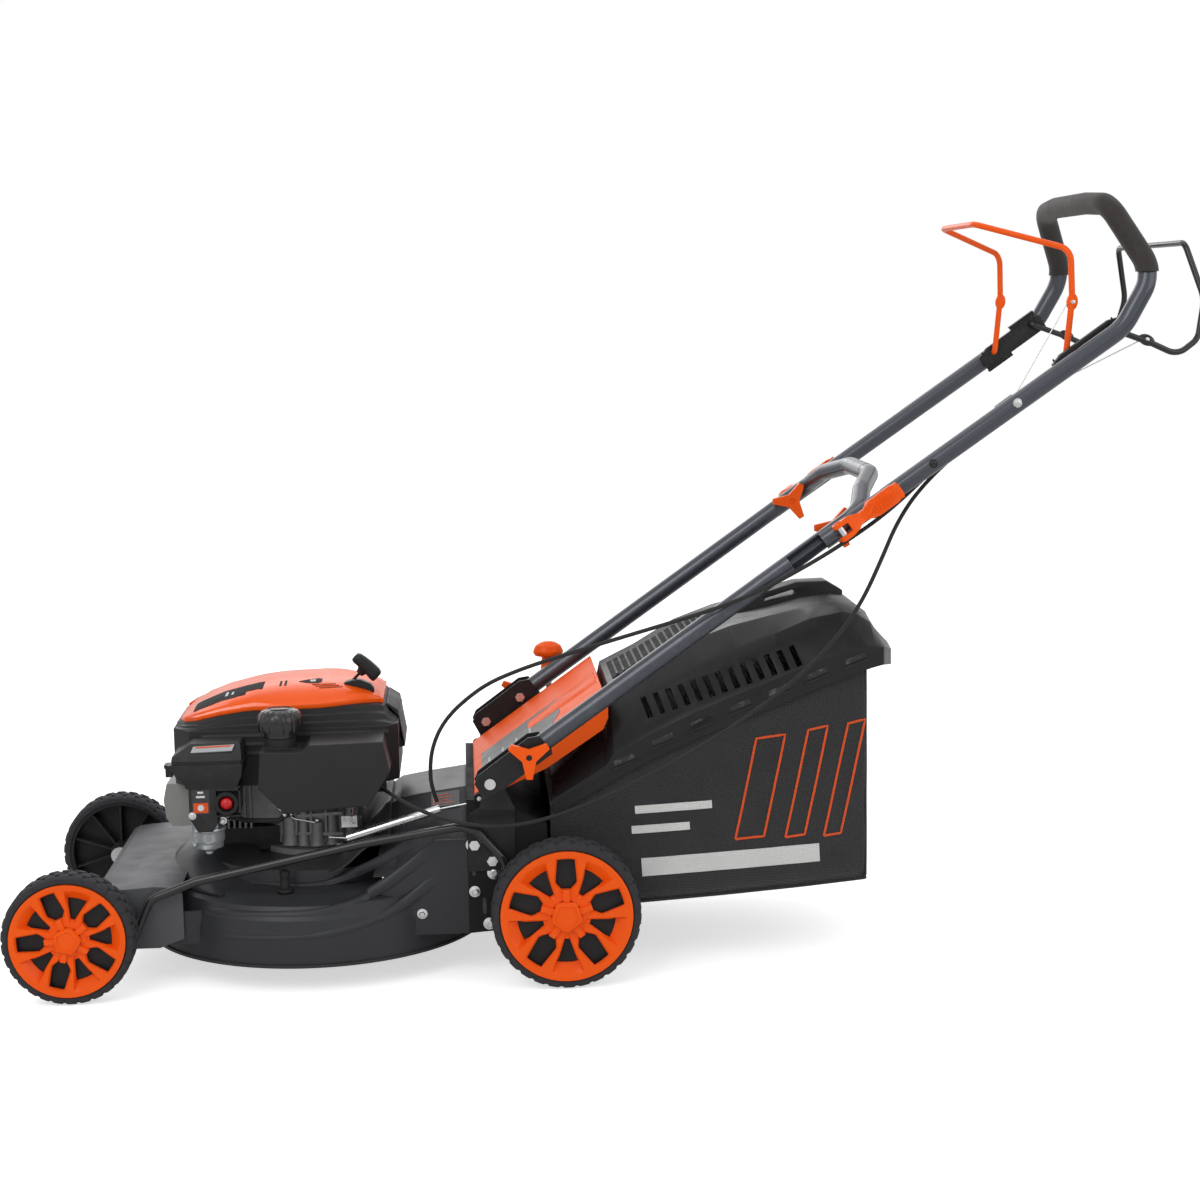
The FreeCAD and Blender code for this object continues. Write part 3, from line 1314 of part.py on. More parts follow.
def belt_loop(shrink):
    """The face inside the belt's path round both pulleys."""
    front, rear = -S.shaft_back, float(GEARBOX_SHAFT)
    small, large = S.engine_pulley_radius - shrink, S.drive_pulley_radius - shrink
    lean = (large - small) / (rear - front)
    rise = math.sqrt(1 - lean ** 2)
    low = S.belt_middle - S.belt_height / 2 + S.air_gap

    def touch(centre, radius, side):
        return Vector(centre - radius * lean, side * radius * rise, low)

    wire = Part.Wire([
        Part.Arc(touch(front, small, 1), Vector(front - small, 0, low), touch(front, small, -1)).toShape(),
        Part.LineSegment(touch(front, small, -1), touch(rear, large, -1)).toShape(),
        Part.Arc(touch(rear, large, -1), Vector(rear + large, 0, low), touch(rear, large, 1)).toShape(),
        Part.LineSegment(touch(rear, large, 1), touch(front, small, 1)).toShape(),
    ])
    return Part.Face(wire)


def drive_belt():
    ring = belt_loop(0).cut(belt_loop(S.belt_depth - S.air_gap))
    node("drive_belt", feature("drive_belt", ring.extrude(Z * (S.belt_height - 2 * S.air_gap))))


blade()
crankshaft()
flywheel()
gearbox()
drive_belt()

# Engine: an upright-shaft engine whose single cylinder points forward


def crankcase():
    """A hollow case with a bolting flange and a finned cylinder that opens into it."""
    base = "turret_top"
    case = turned("case_outside", "XZ_Plane", [
        ("0", base),
        ("flange_radius", base),
        ("flange_radius", f"{base} + flange_wall"),
        ("crankcase_radius", f"{base} + flange_wall"),
        ("crankcase_radius", "crankcase_top"),
        ("0.5 * crankcase_radius", "crankcase_top + 8"),
        ("0.4 * crankcase_radius", "flywheel_low - 6"),
        ("0", "flywheel_low - 6"),
    ])
    chamber = turned("case_chamber", "XZ_Plane", [
        ("0", f"{base} + 2 * flange_wall"),
        ("crankcase_radius - 6", f"{base} + 2 * flange_wall"),
        ("crankcase_radius - 6", "crankcase_top - 8"),
        ("0", "crankcase_top - 6"),
    ])
    put(case, DECK_X, "0", "0")
    put(chamber, DECK_X, "0", "0")
    height = "cylinder_top - cylinder_low"
    length = "cylinder_front - shaft_back"
    core = box("cylinder_core", (length, "2 * (cylinder_half - fin_depth)", f"{height} - 2 * fin_depth"),
               ("-cylinder_front", "fin_depth - cylinder_half", "cylinder_low + fin_depth"))
    plates = [
        box(f"cylinder_fin_{i}", ("fin_wall", "2 * cylinder_half", height),
            (f"-cylinder_front + {i} * fin_pitch", "-cylinder_half", "cylinder_low"))
        for i in range(round(S.fins))
    ]
    bore = rod("cylinder_bore", "cylinder_half - fin_depth - 7", length,
               ("-cylinder_front", "0", "(cylinder_low + cylinder_top) / 2"), ALONG_X)
    shaft = rod("case_shaft_hole", "shaft_radius + running_gap", "cylinder_top",
                (DECK_X, "0", "turret_top - 20"))
    solid = fuse("crankcase_blank", case, core, *plates)
    holes = engine_holes("case", "engine_bolt_radius + running_gap")
    node("crankcase", cut("crankcase", solid, chamber, bore, shaft, *holes))


def cylinder_head():
    """The head, its rocker cover and the spark plug."""
    front = "-cylinder_front"
    head = box("head_block", ("17", "2 * cylinder_half", "cylinder_top - cylinder_low"),
               (f"{front} - 17", "-cylinder_half", "cylinder_low"))
    cover = prism("rocker_cover", "XZ_Plane", [
        ("-521", "194"),
        ("-549", "194"),
        ("-rocker_front + 3", "206"),
        ("-rocker_front", "232"),
        ("-rocker_front + 5", "housing_low - 3"),
        ("-521", "housing_low - 3"),
    ], "2 * (cylinder_half + 12)")
    plug = rod("spark_plug", "8", "30", (f"{front} - 9", "cylinder_half", "cylinder_top - 14"), ALONG_Y)
    node("cylinder_head", fuse("cylinder_head", head, cover, plug))


def muffler():
    """A hollow box beside the cylinder, with an inlet from its port and an outlet to the front."""
    near = "cylinder_half + 16"
    outside = box("muffler_outside", ("90", "muffler_side", "muffler_side"), ("-502", near, "168"))
    inside = box("muffler_inside", ("86", "muffler_side - 4", "muffler_side - 4"),
                 ("-500", f"{near} + 2", "170"))
    inlet = rod("muffler_inlet", "10", "16", ("-470", "cylinder_half", "200"), ALONG_Y)
    outlet = rod("muffler_outlet", "8", "16", ("-518", f"{near} + 40", "182"), ALONG_X)
    mouth = rod("muffler_mouth", "6", "24", ("-519", f"{near} + 40", "182"), ALONG_X)
    throat = rod("muffler_throat", "8", "20", ("-470", "cylinder_half + 0.5", "200"), ALONG_Y)
    node("muffler", cut("muffler", fuse("muffler_blank", outside, inlet, outlet), inside, mouth, throat))


HOUSING_PLAN = [
    ("-540", "housing_near + 27"),
    ("-515", "housing_near"),
    ("-240", "housing_near"),
    ("-225", "housing_near + 17"),
    ("-225", "95"),
    ("-262", "housing_far"),
    ("-505", "housing_far"),
    ("-540", "118"),
]


def moved(corners, centre, share):
    """The corners drawn toward a centre by a wall's thickness on every side."""
    inner = []
    for x, y in corners:
        steps = [
            f"{share} * (({place}) < {middle} ? 1 : -1)"
            for place, middle in zip((x, y), centre)
        ]
        inner.append((f"{x} + {steps[0]}", f"{y} + {steps[1]}"))
    return inner


def blower_housing():
    """The black shroud over the flywheel, open below and round the fan, with a skirt behind."""
    height = "housing_top - housing_low"
    outside = prism("housing_outside", "XY_Plane", HOUSING_PLAN, height, "housing_low", False)
    inside = prism("housing_inside", "XY_Plane", moved(HOUSING_PLAN, ("-380", "20"), "plastic"), height,
                   "housing_low - plastic", False)
    fan = rod("fan_opening", "fan_opening", "4 * plastic", (DECK_X, "0", "housing_top - 2 * plastic"))
    skirt = prism("housing_skirt", "XZ_Plane", [
        ("-228", "housing_top - 43"),
        ("-217", "housing_top - 41"),
        ("-226", "housing_top + 22"),
        ("-241", "housing_top + 42"),
        ("-244", "housing_top + 38"),
        ("-244", "housing_top - 3"),
        ("-232", "housing_top - 6"),
    ], "130", "-20")
    tab = box("cable_stop", ("14", "plastic", "18"), ("-257", "housing_near", "housing_low - 15"))
    rope = rod("housing_rope_gap", "rope_radius + 1", "120", ROPE_FOOT, PULL)
    blank = fuse("housing_blank", outside, skirt, tab)
    node("blower_housing", cut("blower_housing", blank, inside, fan, rope))


PULL = Rotation(Z, Vector(1, 0, 1))
ROPE = "(pull_travel + 30)"
ROPE_FOOT = (f"grip_x - {ROPE} * sin(pull_angle)", "grip_y", f"grip_z - {ROPE} * cos(pull_angle)")
COVER_TOP = [
    ("-535", "housing_top"),
    ("-512", "361"),
    ("-474", "383"),
    ("-426", "cover_top - 9"),
    ("-387", "cover_top - 1"),
    ("-334", "cover_top"),
    ("-301", "cover_top - 4"),
    ("-266", "cover_top - 16"),
    ("-246", "371"),
    ("-246", "housing_top"),
]
COVER_END = [
    ("housing_near + 3", "housing_top"),
    ("housing_near + 8", "housing_top + 14"),
    ("housing_near + 44", "cover_top - 14"),
    ("housing_near + 70", "cover_top + 1"),
    ("housing_far - 62", "cover_top + 1"),
    ("housing_far - 36", "cover_top - 14"),
    ("housing_far - 8", "housing_top + 14"),
    ("housing_far - 3", "housing_top"),
]


def top_cover():
    """The orange cover: the meeting of a long outline, an end outline and a plan, made hollow."""
    plan = [
        ("-536", "-20"),
        ("-505", "housing_near + 8"),
        ("-300", "housing_near + 1"),
        ("-246", "housing_near + 50"),
        ("-246", "90"),
        ("-300", "housing_far - 1"),
        ("-505", "housing_far - 8"),
        ("-536", "80"),
    ]
    solids = []
    for word, drop in (("outside", "0"), ("inside", "plastic")):
        long_way = prism(f"cover_long_{word}", "XZ_Plane",
                         [(x, f"{z} - 1.2 * {drop}") for x, z in COVER_TOP], "400")
        end = [(f"{y} + {drop} * (({y}) < 20 ? 1 : -1)", f"{z} - {drop}") for y, z in COVER_END]
        across = prism(f"cover_across_{word}", "YZ_Plane", end, "1400")
        top = prism(f"cover_plan_{word}", "XY_Plane", moved(plan, ("-380", "20"), drop), "400", "housing_top")
        solids.append(common(f"cover_{word}", long_way, across, top))
    slots = [
        box(f"cover_vent_{i}", ("vent_width", "44", "30"),
            (f"{i} * 2 * vent_width - 404", y, "cover_top - 22"))
        for y in ("-52", "56")
        for i in range(round(S.vents))
    ]
    rope = rod("rope_hole", "rope_radius + 0.3", "120", ROPE_FOOT, PULL)
    node("top_cover", cut("top_cover", *solids, rope, *slots))


def starter_grip():
    """The T-shaped pull and its rope, which runs down into the cover."""
    across = Rotation(Z, Vector(1, 0, -1))
    half, stem = "22", "15"
    bar = rod("grip_bar", "9", f"2 * {half}",
              (f"grip_x - {half} * sin(pull_angle)", "grip_y", f"grip_z + {half} * cos(pull_angle)"), across)
    neck = rod("grip_neck", "5.5", stem,
               (f"grip_x - {stem} * sin(pull_angle)", "grip_y", f"grip_z - {stem} * cos(pull_angle)"), PULL)
    rope = rod("starter_rope", "rope_radius", ROPE, ROPE_FOOT, PULL)
    node("starter_grip", fuse("starter_grip", bar, neck, rope))


def fuel_tank():
    """A hollow tank with a filler neck, and the cap that turns on it."""
    corners = [
        ("-411", "321"),
        ("-355", "319"),
        ("-345", "329"),
        ("-244", "331"),
        ("-235", "287"),
        ("-265", "242"),
        ("-380", "234"),
        ("-415", "270"),
    ]
    middle = "-(tank_near + tank_far) / 2"
    outside = prism("tank_outside", "XZ_Plane", corners, "tank_far - tank_near", middle)
    inside = prism("tank_inside", "XZ_Plane", moved(corners, ("-330", "280"), "tank_wall"),
                   "tank_far - tank_near - 2 * tank_wall", middle)
    neck = rod("filler_neck", "filler_radius", "filler_top - 316", ("filler_x", "filler_y", "316"))
    mouth = rod("filler_mouth", "filler_bore", "filler_top - 300", ("filler_x", "filler_y", "304"))
    node("fuel_tank", cut("fuel_tank", fuse("tank_blank", outside, neck), inside, mouth))
    cap = turned("fuel_cap", "XZ_Plane", [
        ("0", "cap_top - 1"),
        ("cap_outer - 14", "cap_top"),
        ("cap_outer - 4", "cap_top"),
        ("cap_outer", "cap_top - 4"),
        ("cap_outer", "filler_top - 11"),
        ("filler_radius + air_gap", "filler_top - 11"),
        ("filler_radius + air_gap", "filler_top + air_gap"),
        ("0", "filler_top + air_gap"),
    ])
    node("fuel_cap", cap, "filler_x", "filler_y")


PRIMER_GAP = "primer_radius + air_gap"


def air_filter_housing():
    """The filter box, open toward the engine, and below it the panel that holds the primer."""
    corners = [
        ("-541", "277"),
        ("-541", "300"),
        ("-530", "325"),
        ("-510", "330"),
        ("-445", "326"),
        ("-436", "300"),
        ("-436", "280"),
        ("-445", "268"),
        ("-530", "268"),
    ]
    middle = "-(filter_near + filter_far) / 2"
    outside = prism("filter_outside", "XZ_Plane", corners, "filter_far - filter_near", middle)
    inside = prism("filter_inside", "XZ_Plane", moved(corners, ("-488", "300"), "plastic"),
                   "filter_far - filter_near", f"{middle} - plastic")
    panel = box("primer_panel", ("75", "40", "66"), ("-516", "panel_near", "206"))
    hollow = box("panel_hollow", ("75 - 2 * plastic", "40", "66 - plastic"),
                 ("-516 + plastic", "panel_near + plastic", "205"))
    hole = rod("primer_hole", PRIMER_GAP, "20", ("primer_x", "panel_near - 8", "primer_z"), ALONG_Y)
    shell = fuse("filter_blank", cut("filter_shell", outside, inside), cut("panel_shell", panel, hollow))
    node("air_filter_housing", cut("air_filter_housing", shell, hole))
    bulb = turned("primer_bulb", "XY_Plane", [
        ("0", "0"),
        ("0.45 * primer_radius", "0.8"),
        ("0.85 * primer_radius", "3.5"),
        ("primer_radius", "7"),
        ("primer_radius", "11"),
        ("0", "11"),
    ])
    node("primer_bulb", bulb, "primer_x", "panel_near - 6", "primer_z")


def carburettor():
    """Body, bowl and manifold, behind the primer panel."""
    body = box("carb_body", ("36", "66", "34"), ("-511", "-142", "206"))
    bowl = rod("carb_bowl", "20", "26", ("-490", "-125", "180"))
    foot = rod("carb_bowl_screw", "5", "6", ("-490", "-125", "174"))
    manifold = rod("carb_manifold", "12", "76 - cylinder_half", ("-490", "-76", "222"), ALONG_Y)
    node("carburettor", fuse("carburettor", body, bowl, foot, manifold))


def fuel_line():
    """The hose from the carburettor to the bottom of the tank."""
    route = [
        Vector(-474, -112, 222),
        Vector(-440, -112, 212),
        Vector(-392, -128, 214),
        Vector(-374, -135, 231.5),
    ]
    node("fuel_line", feature("fuel_line", swept(route, [16, 12], 3.5)))


def brake_spring():
    """The blade brake's return spring, as a tube, and its end wire."""
    route = ((-322, 196), (-297, 194), (-168, 231), (-131.7, 237))
    hook_end, start, end, tip = (Vector(x, -160, z) for x, z in route)
    wire, overlap = 1.2, 4
    aim = end - start
    coil = Part.makeCylinder(6, aim.Length, start, aim)
    hollow = Part.makeCylinder(4.4, aim.Length - overlap, start + aim * 0.02, aim)
    ahead, back = (tip - end).normalize(), (start - hook_end).normalize()
    tail = Part.makeCylinder(wire, (tip - end).Length + overlap, end - ahead * overlap, ahead)
    hook = Part.makeCylinder(wire, (start - hook_end).Length + overlap, hook_end, back)
    node("brake_spring", feature("brake_spring", coil.cut(hollow).fuse([tail, hook])))


def wash_port():
    """The hose nipple on the deck's left shoulder."""
    port = turned("wash_port", "XZ_Plane", [
        ("port_bore", "shoulder_top - 16"),
        ("port_radius", "shoulder_top - 16"),
        ("port_radius", "shoulder_top + 2.8"),
        ("port_radius + 5", "shoulder_top + 2.8"),
        ("port_radius + 5", "shoulder_top + 6.5"),
        ("port_radius", "shoulder_top + 8"),
        ("port_radius", "port_top - 12"),
        ("port_radius - 1.2", "port_top - 11"),
        ("port_radius - 1.2", "port_top - 8"),
        ("port_radius", "port_top - 7"),
        ("port_radius", "port_top"),
        ("port_bore", "port_top"),
    ])
    node("wash_port", port, "port_x", "port_y")


crankcase()
cylinder_head()
muffler()
blower_housing()
top_cover()
starter_grip()
fuel_tank()
air_filter_housing()
carburettor()
fuel_line()
brake_spring()
wash_port()

# Rear flap, on its rod between the frame's lugs


def flap_corner(back, up):
    """A place on the flap as (x, z) rules: back from the hinge and up square to the plate."""
    return (
        f"({back}) * cos(flap_angle) - ({up}) * sin(flap_angle)",
        f"({back}) * sin(flap_angle) + ({up}) * cos(flap_angle)",
    )


def rear_flap():
    knuckle = "flap_knuckle"
    plate = prism("flap_plate", "XZ_Plane", [
        flap_corner("0", f"{knuckle} - flap_wall"),
        flap_corner("0", knuckle),
        flap_corner("flap_length", knuckle),
        flap_corner("flap_length", f"{knuckle} - flap_wall"),
    ], "2 * flap_half")
    skirts = [
        prism(f"flap_skirt_{word}", "XZ_Plane", [
            flap_corner("3", "-3"),
            flap_corner("3", f"{knuckle} - 1"),
            flap_corner("flap_length", f"{knuckle} - 1"),
            flap_corner("flap_length - 3", "-4"),
            flap_corner("flap_length - 13", "-18"),
            flap_corner("flap_length - 28", "-27"),
            flap_corner("98", "-24"),
            flap_corner("20", "-9"),
        ], "flap_wall", f"{-sign} * (flap_half - flap_wall / 2)")
        for word, sign in SIDES
    ]
    barrel = rod("flap_barrel", knuckle, "2 * flap_half", ("0", "-flap_half", "0"), ALONG_Y)
    bore = rod("flap_bore", "flap_rod + running_gap", "4 * flap_half", ("0", "-2 * flap_half", "0"), ALONG_Y)
    node("rear_flap", cut("rear_flap", fuse("flap_blank", plate, barrel, *skirts), bore),
         "flap_pivot_x", "0", "flap_pivot_z")


rear_flap()

# Grass catcher: a moulded lid and a fabric bag below it, open toward the chute

# x, the rim's height, the lid's crease and the middle's height
LID_STATIONS = [
    (-12, 244, 256, 262, 1.0),
    (60, 284, 310, 330, 1.0),
    (72, 291, 355, 386, 1.0),
    (125, 318, 385, 412, 1.0),
    (184, 344, 416, 447, 1.0),
    (242, 367, 440, 468, 1.0),
    (301, 389, 462, 482, 1.0),
    (351, 409, 482, 494, 1.0),
    (395, 425, 490, 500, 1.0),
    (417, 433, 485, 496, 1.0),
    (434, 438, 474, 484, 1.0),
    (446, 440, 458, 462, 0.98),
    (466, 432, 440, 441, 0.72),
]
BAG_OUTLINE = [
    (-18, 128), (-18, 237), (60, 281), (108, 307), (191, 343), (303, 386), (385, 418), (430, 434),
    (426, 372), (423, 260), (424, 116), (328, 108), (104, 93), (60, 98), (8, 112),
]


def lid_section(x, rim, crease, top, share, wall):
    """A closed outline across the lid, drawn in by a wall's thickness."""
    half = S.bag_half * share
    right = [
        Vector(x, half - wall, rim - 20 - wall),
        Vector(x, half - wall, rim + 0.25 * (crease - rim) - wall / 2),
        Vector(x, 0.79 * half - wall, crease - wall),
        Vector(x, 0.58 * half - wall, top - wall),
    ]
    return Part.makePolygon(mirrored(right) + right[:1])


def stretched(stations, wall):
    """The stations for the lid's inside, whose ends reach past or stop short of the outside's."""
    first, last = stations[0], stations[-1]
    ends = [(first[0] - 1, *first[1:]), *stations[1:-1], (last[0] - wall, *last[1:])]
    return [lid_section(*station, wall) for station in ends]


def slab(corners, half):
    """A block of one (x, z) outline, half its width on each side of the middle."""
    side = Part.makePolygon([Vector(x, -half, z) for x, z in corners + corners[:1]])
    return Part.Face(side).extrude(Y * 2 * half)


def bag_lid():
    """The moulded lid with its vent slots and the carry handle on its top."""
    outer = Part.makeLoft([lid_section(*station, 0) for station in LID_STATIONS], True, True)
    inner = Part.makeLoft(stretched(LID_STATIONS, S.lid_wall), True, True)
    grip_half = 20
    grip = slab([
        (238, 462), (301, 501), (351, 515), (395, 516), (418, 502),
        (418, 490), (395, 494), (352, 490), (301, 477),
    ], grip_half)
    hole = slab([(302, 486), (306, 493), (346, 505), (352, 498), (350, 497)], grip_half + 1)
    slots = []
    count = round(S.lid_vents)
    for i in range(count):
        share = i / (count - 1)
        slot = Part.makeBox(S.lid_vent_width, 80, 27)
        slot.rotate(Vector(), Y, -20)
        slot.translate(Vector(121 + 205 * share, S.bag_half - 42, 352 + 68 * share))
        slots += both_sides(slot)
    shell = outer.cut(inner).fuse(grip)
    under = inner.common(slab([(-20, 0), (-20, 600), (500, 600), (500, 0)], S.bag_half))
    node("bag_lid", feature("bag_lid", shell.cut([under, hole] + slots)))


def bag_fabric():
    """A closed bag whose mouth meets the chute and whose top is open under the lid."""
    half = S.bag_half - S.lid_wall - 0.5
    wall = S.bag_wall
    top = [(-30, 128 + wall), (-30, 260), (60, 300), (191, 360), (303, 400), (430 - wall, 460)]
    back = [(426 - wall, 372), (423 - wall, 260), (424 - wall, 116 + wall)]
    floor = [(x, z + wall) for x, z in ((328, 108), (104, 93), (60, 98), (8, 112), (-18, 128))]
    hollow = slab(top + back + floor, half - wall)
    node("bag_fabric", feature("bag_fabric", slab(BAG_OUTLINE, half).cut(hollow)))


bag_lid()
bag_fabric()

# Control cables, from the guide on the left leg down to the engine

node("brake_cable", cord("brake_cable", [
    spot(cam, 267, 3.5, -203), Vector(547, -201, 726), Vector(490, -211, 672), Vector(440, -221, 631),
    Vector(389, -232, 599),
    Vector(341, -236, 571), Vector(272, -237, 535), Vector(211, -236, 512), Vector(160, -234, 497),
    Vector(86, -230, 476), Vector(23, -222, 457), Vector(-31, -214, 440), Vector(-66, -208, 427),
    Vector(-97, -202, 413), Vector(-124, -196, 394), Vector(-150, -190, 370), Vector(-167, -184, 345),
    Vector(-177, -178, 317), Vector(-180, -172, 290), Vector(-179, -166, 264), Vector(-172, -161, 242),
]))
node("drive_cable", cord("drive_cable", [
    spot(cam, 267, -4.5, -203), Vector(545, -199, 713), Vector(490, -206, 663), Vector(456, -224, 620),
    Vector(433, -235, 572), Vector(406, -241, 517), Vector(372, -245, 470), Vector(320, -248, 418),
    Vector(252, -250, 368), Vector(184, -250, 326), Vector(116, -248, 289), Vector(48, -242, 256),
    Vector(-6, -233, 235), Vector(-46, -226, 223), Vector(-87, -222, 218), Vector(-127, -218, 221),
    Vector(-168, -209, 230), Vector(-203, -194, 242), Vector(-228, -173, 252), Vector(-243, -144, 256),
    Vector(-250, -119, 253), Vector(-250, -97.4, 250),
]))

doc.recompute()
failed = [thing.Name for thing in doc.Objects if {"Invalid", "Error"} & set(thing.State)]
failed += [thing.Label for thing in nodes if thing.Shape.isNull() or not thing.Shape.isValid()]
if failed:
    raise RuntimeError(f"these objects failed: {', '.join(failed)}")

os.makedirs("parts", exist_ok=True)
for thing in nodes:
    thing.Shape.exportStep(f"parts/{thing.Label}.step")
whole = Part.makeCompound([thing.Shape for thing in nodes]).BoundBox
print(f"{len(nodes)} sub-parts, x {whole.XMin:.1f} to {whole.XMax:.1f}, "
      f"y {whole.YMin:.1f} to {whole.YMax:.1f}, z {whole.ZMin:.1f} to {whole.ZMax:.1f}")
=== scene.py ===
"""The looks of a self-propelled push lawn mower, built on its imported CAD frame."""

import logging
import math
import sys
from collections.abc import Callable, Sequence
from dataclasses import dataclass, field
from enum import Enum

import bmesh
import bpy
from mathutils import Matrix, Vector, noise


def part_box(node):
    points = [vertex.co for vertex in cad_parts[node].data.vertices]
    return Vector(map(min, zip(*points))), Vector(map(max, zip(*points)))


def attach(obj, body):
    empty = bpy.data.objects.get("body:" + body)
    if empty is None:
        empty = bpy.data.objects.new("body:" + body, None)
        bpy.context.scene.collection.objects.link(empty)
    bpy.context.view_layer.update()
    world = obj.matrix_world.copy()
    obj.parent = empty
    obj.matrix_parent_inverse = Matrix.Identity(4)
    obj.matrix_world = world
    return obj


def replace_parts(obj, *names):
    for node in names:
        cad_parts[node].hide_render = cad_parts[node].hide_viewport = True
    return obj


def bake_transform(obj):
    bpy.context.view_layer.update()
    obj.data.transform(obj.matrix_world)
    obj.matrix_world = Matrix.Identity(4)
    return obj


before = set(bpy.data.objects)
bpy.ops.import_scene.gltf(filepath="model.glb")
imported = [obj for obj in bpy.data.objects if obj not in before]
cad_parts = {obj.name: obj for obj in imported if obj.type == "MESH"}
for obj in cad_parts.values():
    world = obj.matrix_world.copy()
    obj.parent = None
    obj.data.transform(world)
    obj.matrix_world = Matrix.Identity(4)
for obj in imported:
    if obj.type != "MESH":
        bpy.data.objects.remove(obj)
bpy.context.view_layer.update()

log = logging.getLogger("mower")

MM = 0.001
AXLE_X = -68.7
"""Where the rear axle stands along the machine, in millimetres."""

Rgb = tuple[float, float, float]
Flat = tuple[float, float]
Socket = bpy.types.NodeSocket

UP = Vector((0, 0, 1))
SENSOR = 36.0
"""The camera's sensor width in millimetres."""

SMUDGE = 2.3
"""How many smudges of gloss one colour patch holds across."""

COAT_ROUGHNESS = 0.12

CORD_SIDES = 14
"""How many flats go round a cord."""

SQUARE = ((-1, -1), (1, -1), (1, 1), (-1, 1))
"""The corners of a square of side 2, going round."""

SIDES = (("left", -1), ("right", 1))
"""The words for both sides, and the sign that y has there."""


def at(x: float, y: float, z: float) -> Vector:
    """A place in metres, from millimetres with x counted from the rear axle."""
    return Vector(((x + AXLE_X) * MM, y * MM, z * MM))


def blend_between(low: float, high: float, share: float) -> float:
    """The value that lies a share of the way from low to high."""
    return low + (high - low) * share


def round_the_turn(count: int, start: float = 0.0) -> list[float]:
    """The angles in radians of evenly spaced places on a circle, from a start."""
    return [math.tau * k / count + start for k in range(count)]


def spoke(angle: float) -> Vector:
    """The level direction at an angle in radians."""
    return Vector((math.cos(angle), math.sin(angle), 0))


@dataclass(frozen=True)
class Graph:
    """The node tree of one material or sky, with short ways to add to it.

    Attributes:
        tree: The node tree.
    """

    tree: bpy.types.NodeTree

    def add(self, kind: str) -> bpy.types.Node:
        """Add a node of a kind."""
        return self.tree.nodes.new(f"ShaderNode{kind}")

    def feed(self, socket: Socket, value: Socket | Rgb | float) -> None:
        """Give a socket another socket's value, a colour or a number."""
        if isinstance(value, Socket):
            self.tree.links.new(value, socket)
        else:
            socket.default_value = (*value, 1.0) if isinstance(value, tuple) else value

    def maths(self, operation: str, first: Socket, second: Socket | float | None = None) -> Socket:
        """Work out a value from one or two others.

        Args:
            operation: The node's operation, such as "ADD".
            first: The first value.
            second: The second value, or None.

        Returns:
            The result.
        """
        made = self.add("Math")
        made.operation = operation
        self.feed(made.inputs[0], first)
        if second is not None:
            self.feed(made.inputs[1], second)
        return made.outputs[0]

    def noise(self, place: Socket, scale: float, detail: float) -> Socket:
        """A noise value between 0 and 1 at a place."""
        cloud = self.add("TexNoise")
        cloud.inputs["Scale"].default_value = scale
        cloud.inputs["Detail"].default_value = detail
        self.feed(cloud.inputs["Vector"], place)
        return cloud.outputs["Fac"]

    def mix(self, share: Socket, first: Socket | Rgb, second: Socket | Rgb) -> Socket:
        """Mix two colours by a share."""
        mixer = self.add("Mix")
        mixer.data_type = "RGBA"
        for name, value in (("Factor", share), ("A", first), ("B", second)):
            self.feed(mixer.inputs[name], value)
        return mixer.outputs["Result"]

    def ranged(self, value: Socket, source: Flat, target: Flat) -> Socket:
        """Map a value from one range to another, held at its ends."""
        ramp = self.add("MapRange")
        for name, number in zip(("From Min", "From Max", "To Min", "To Max"), (*source, *target)):
            ramp.inputs[name].default_value = number
        self.feed(ramp.inputs["Value"], value)
        return ramp.outputs["Result"]


class Grain(Enum):
    """The fine relief of a surface."""

    STIPPLE = "stipple"
    PEEL = "peel"
    CAST = "cast"
    BRUSHED = "brushed"
    FOAM = "foam"
    WEAVE = "weave"
    RUBBER = "rubber"


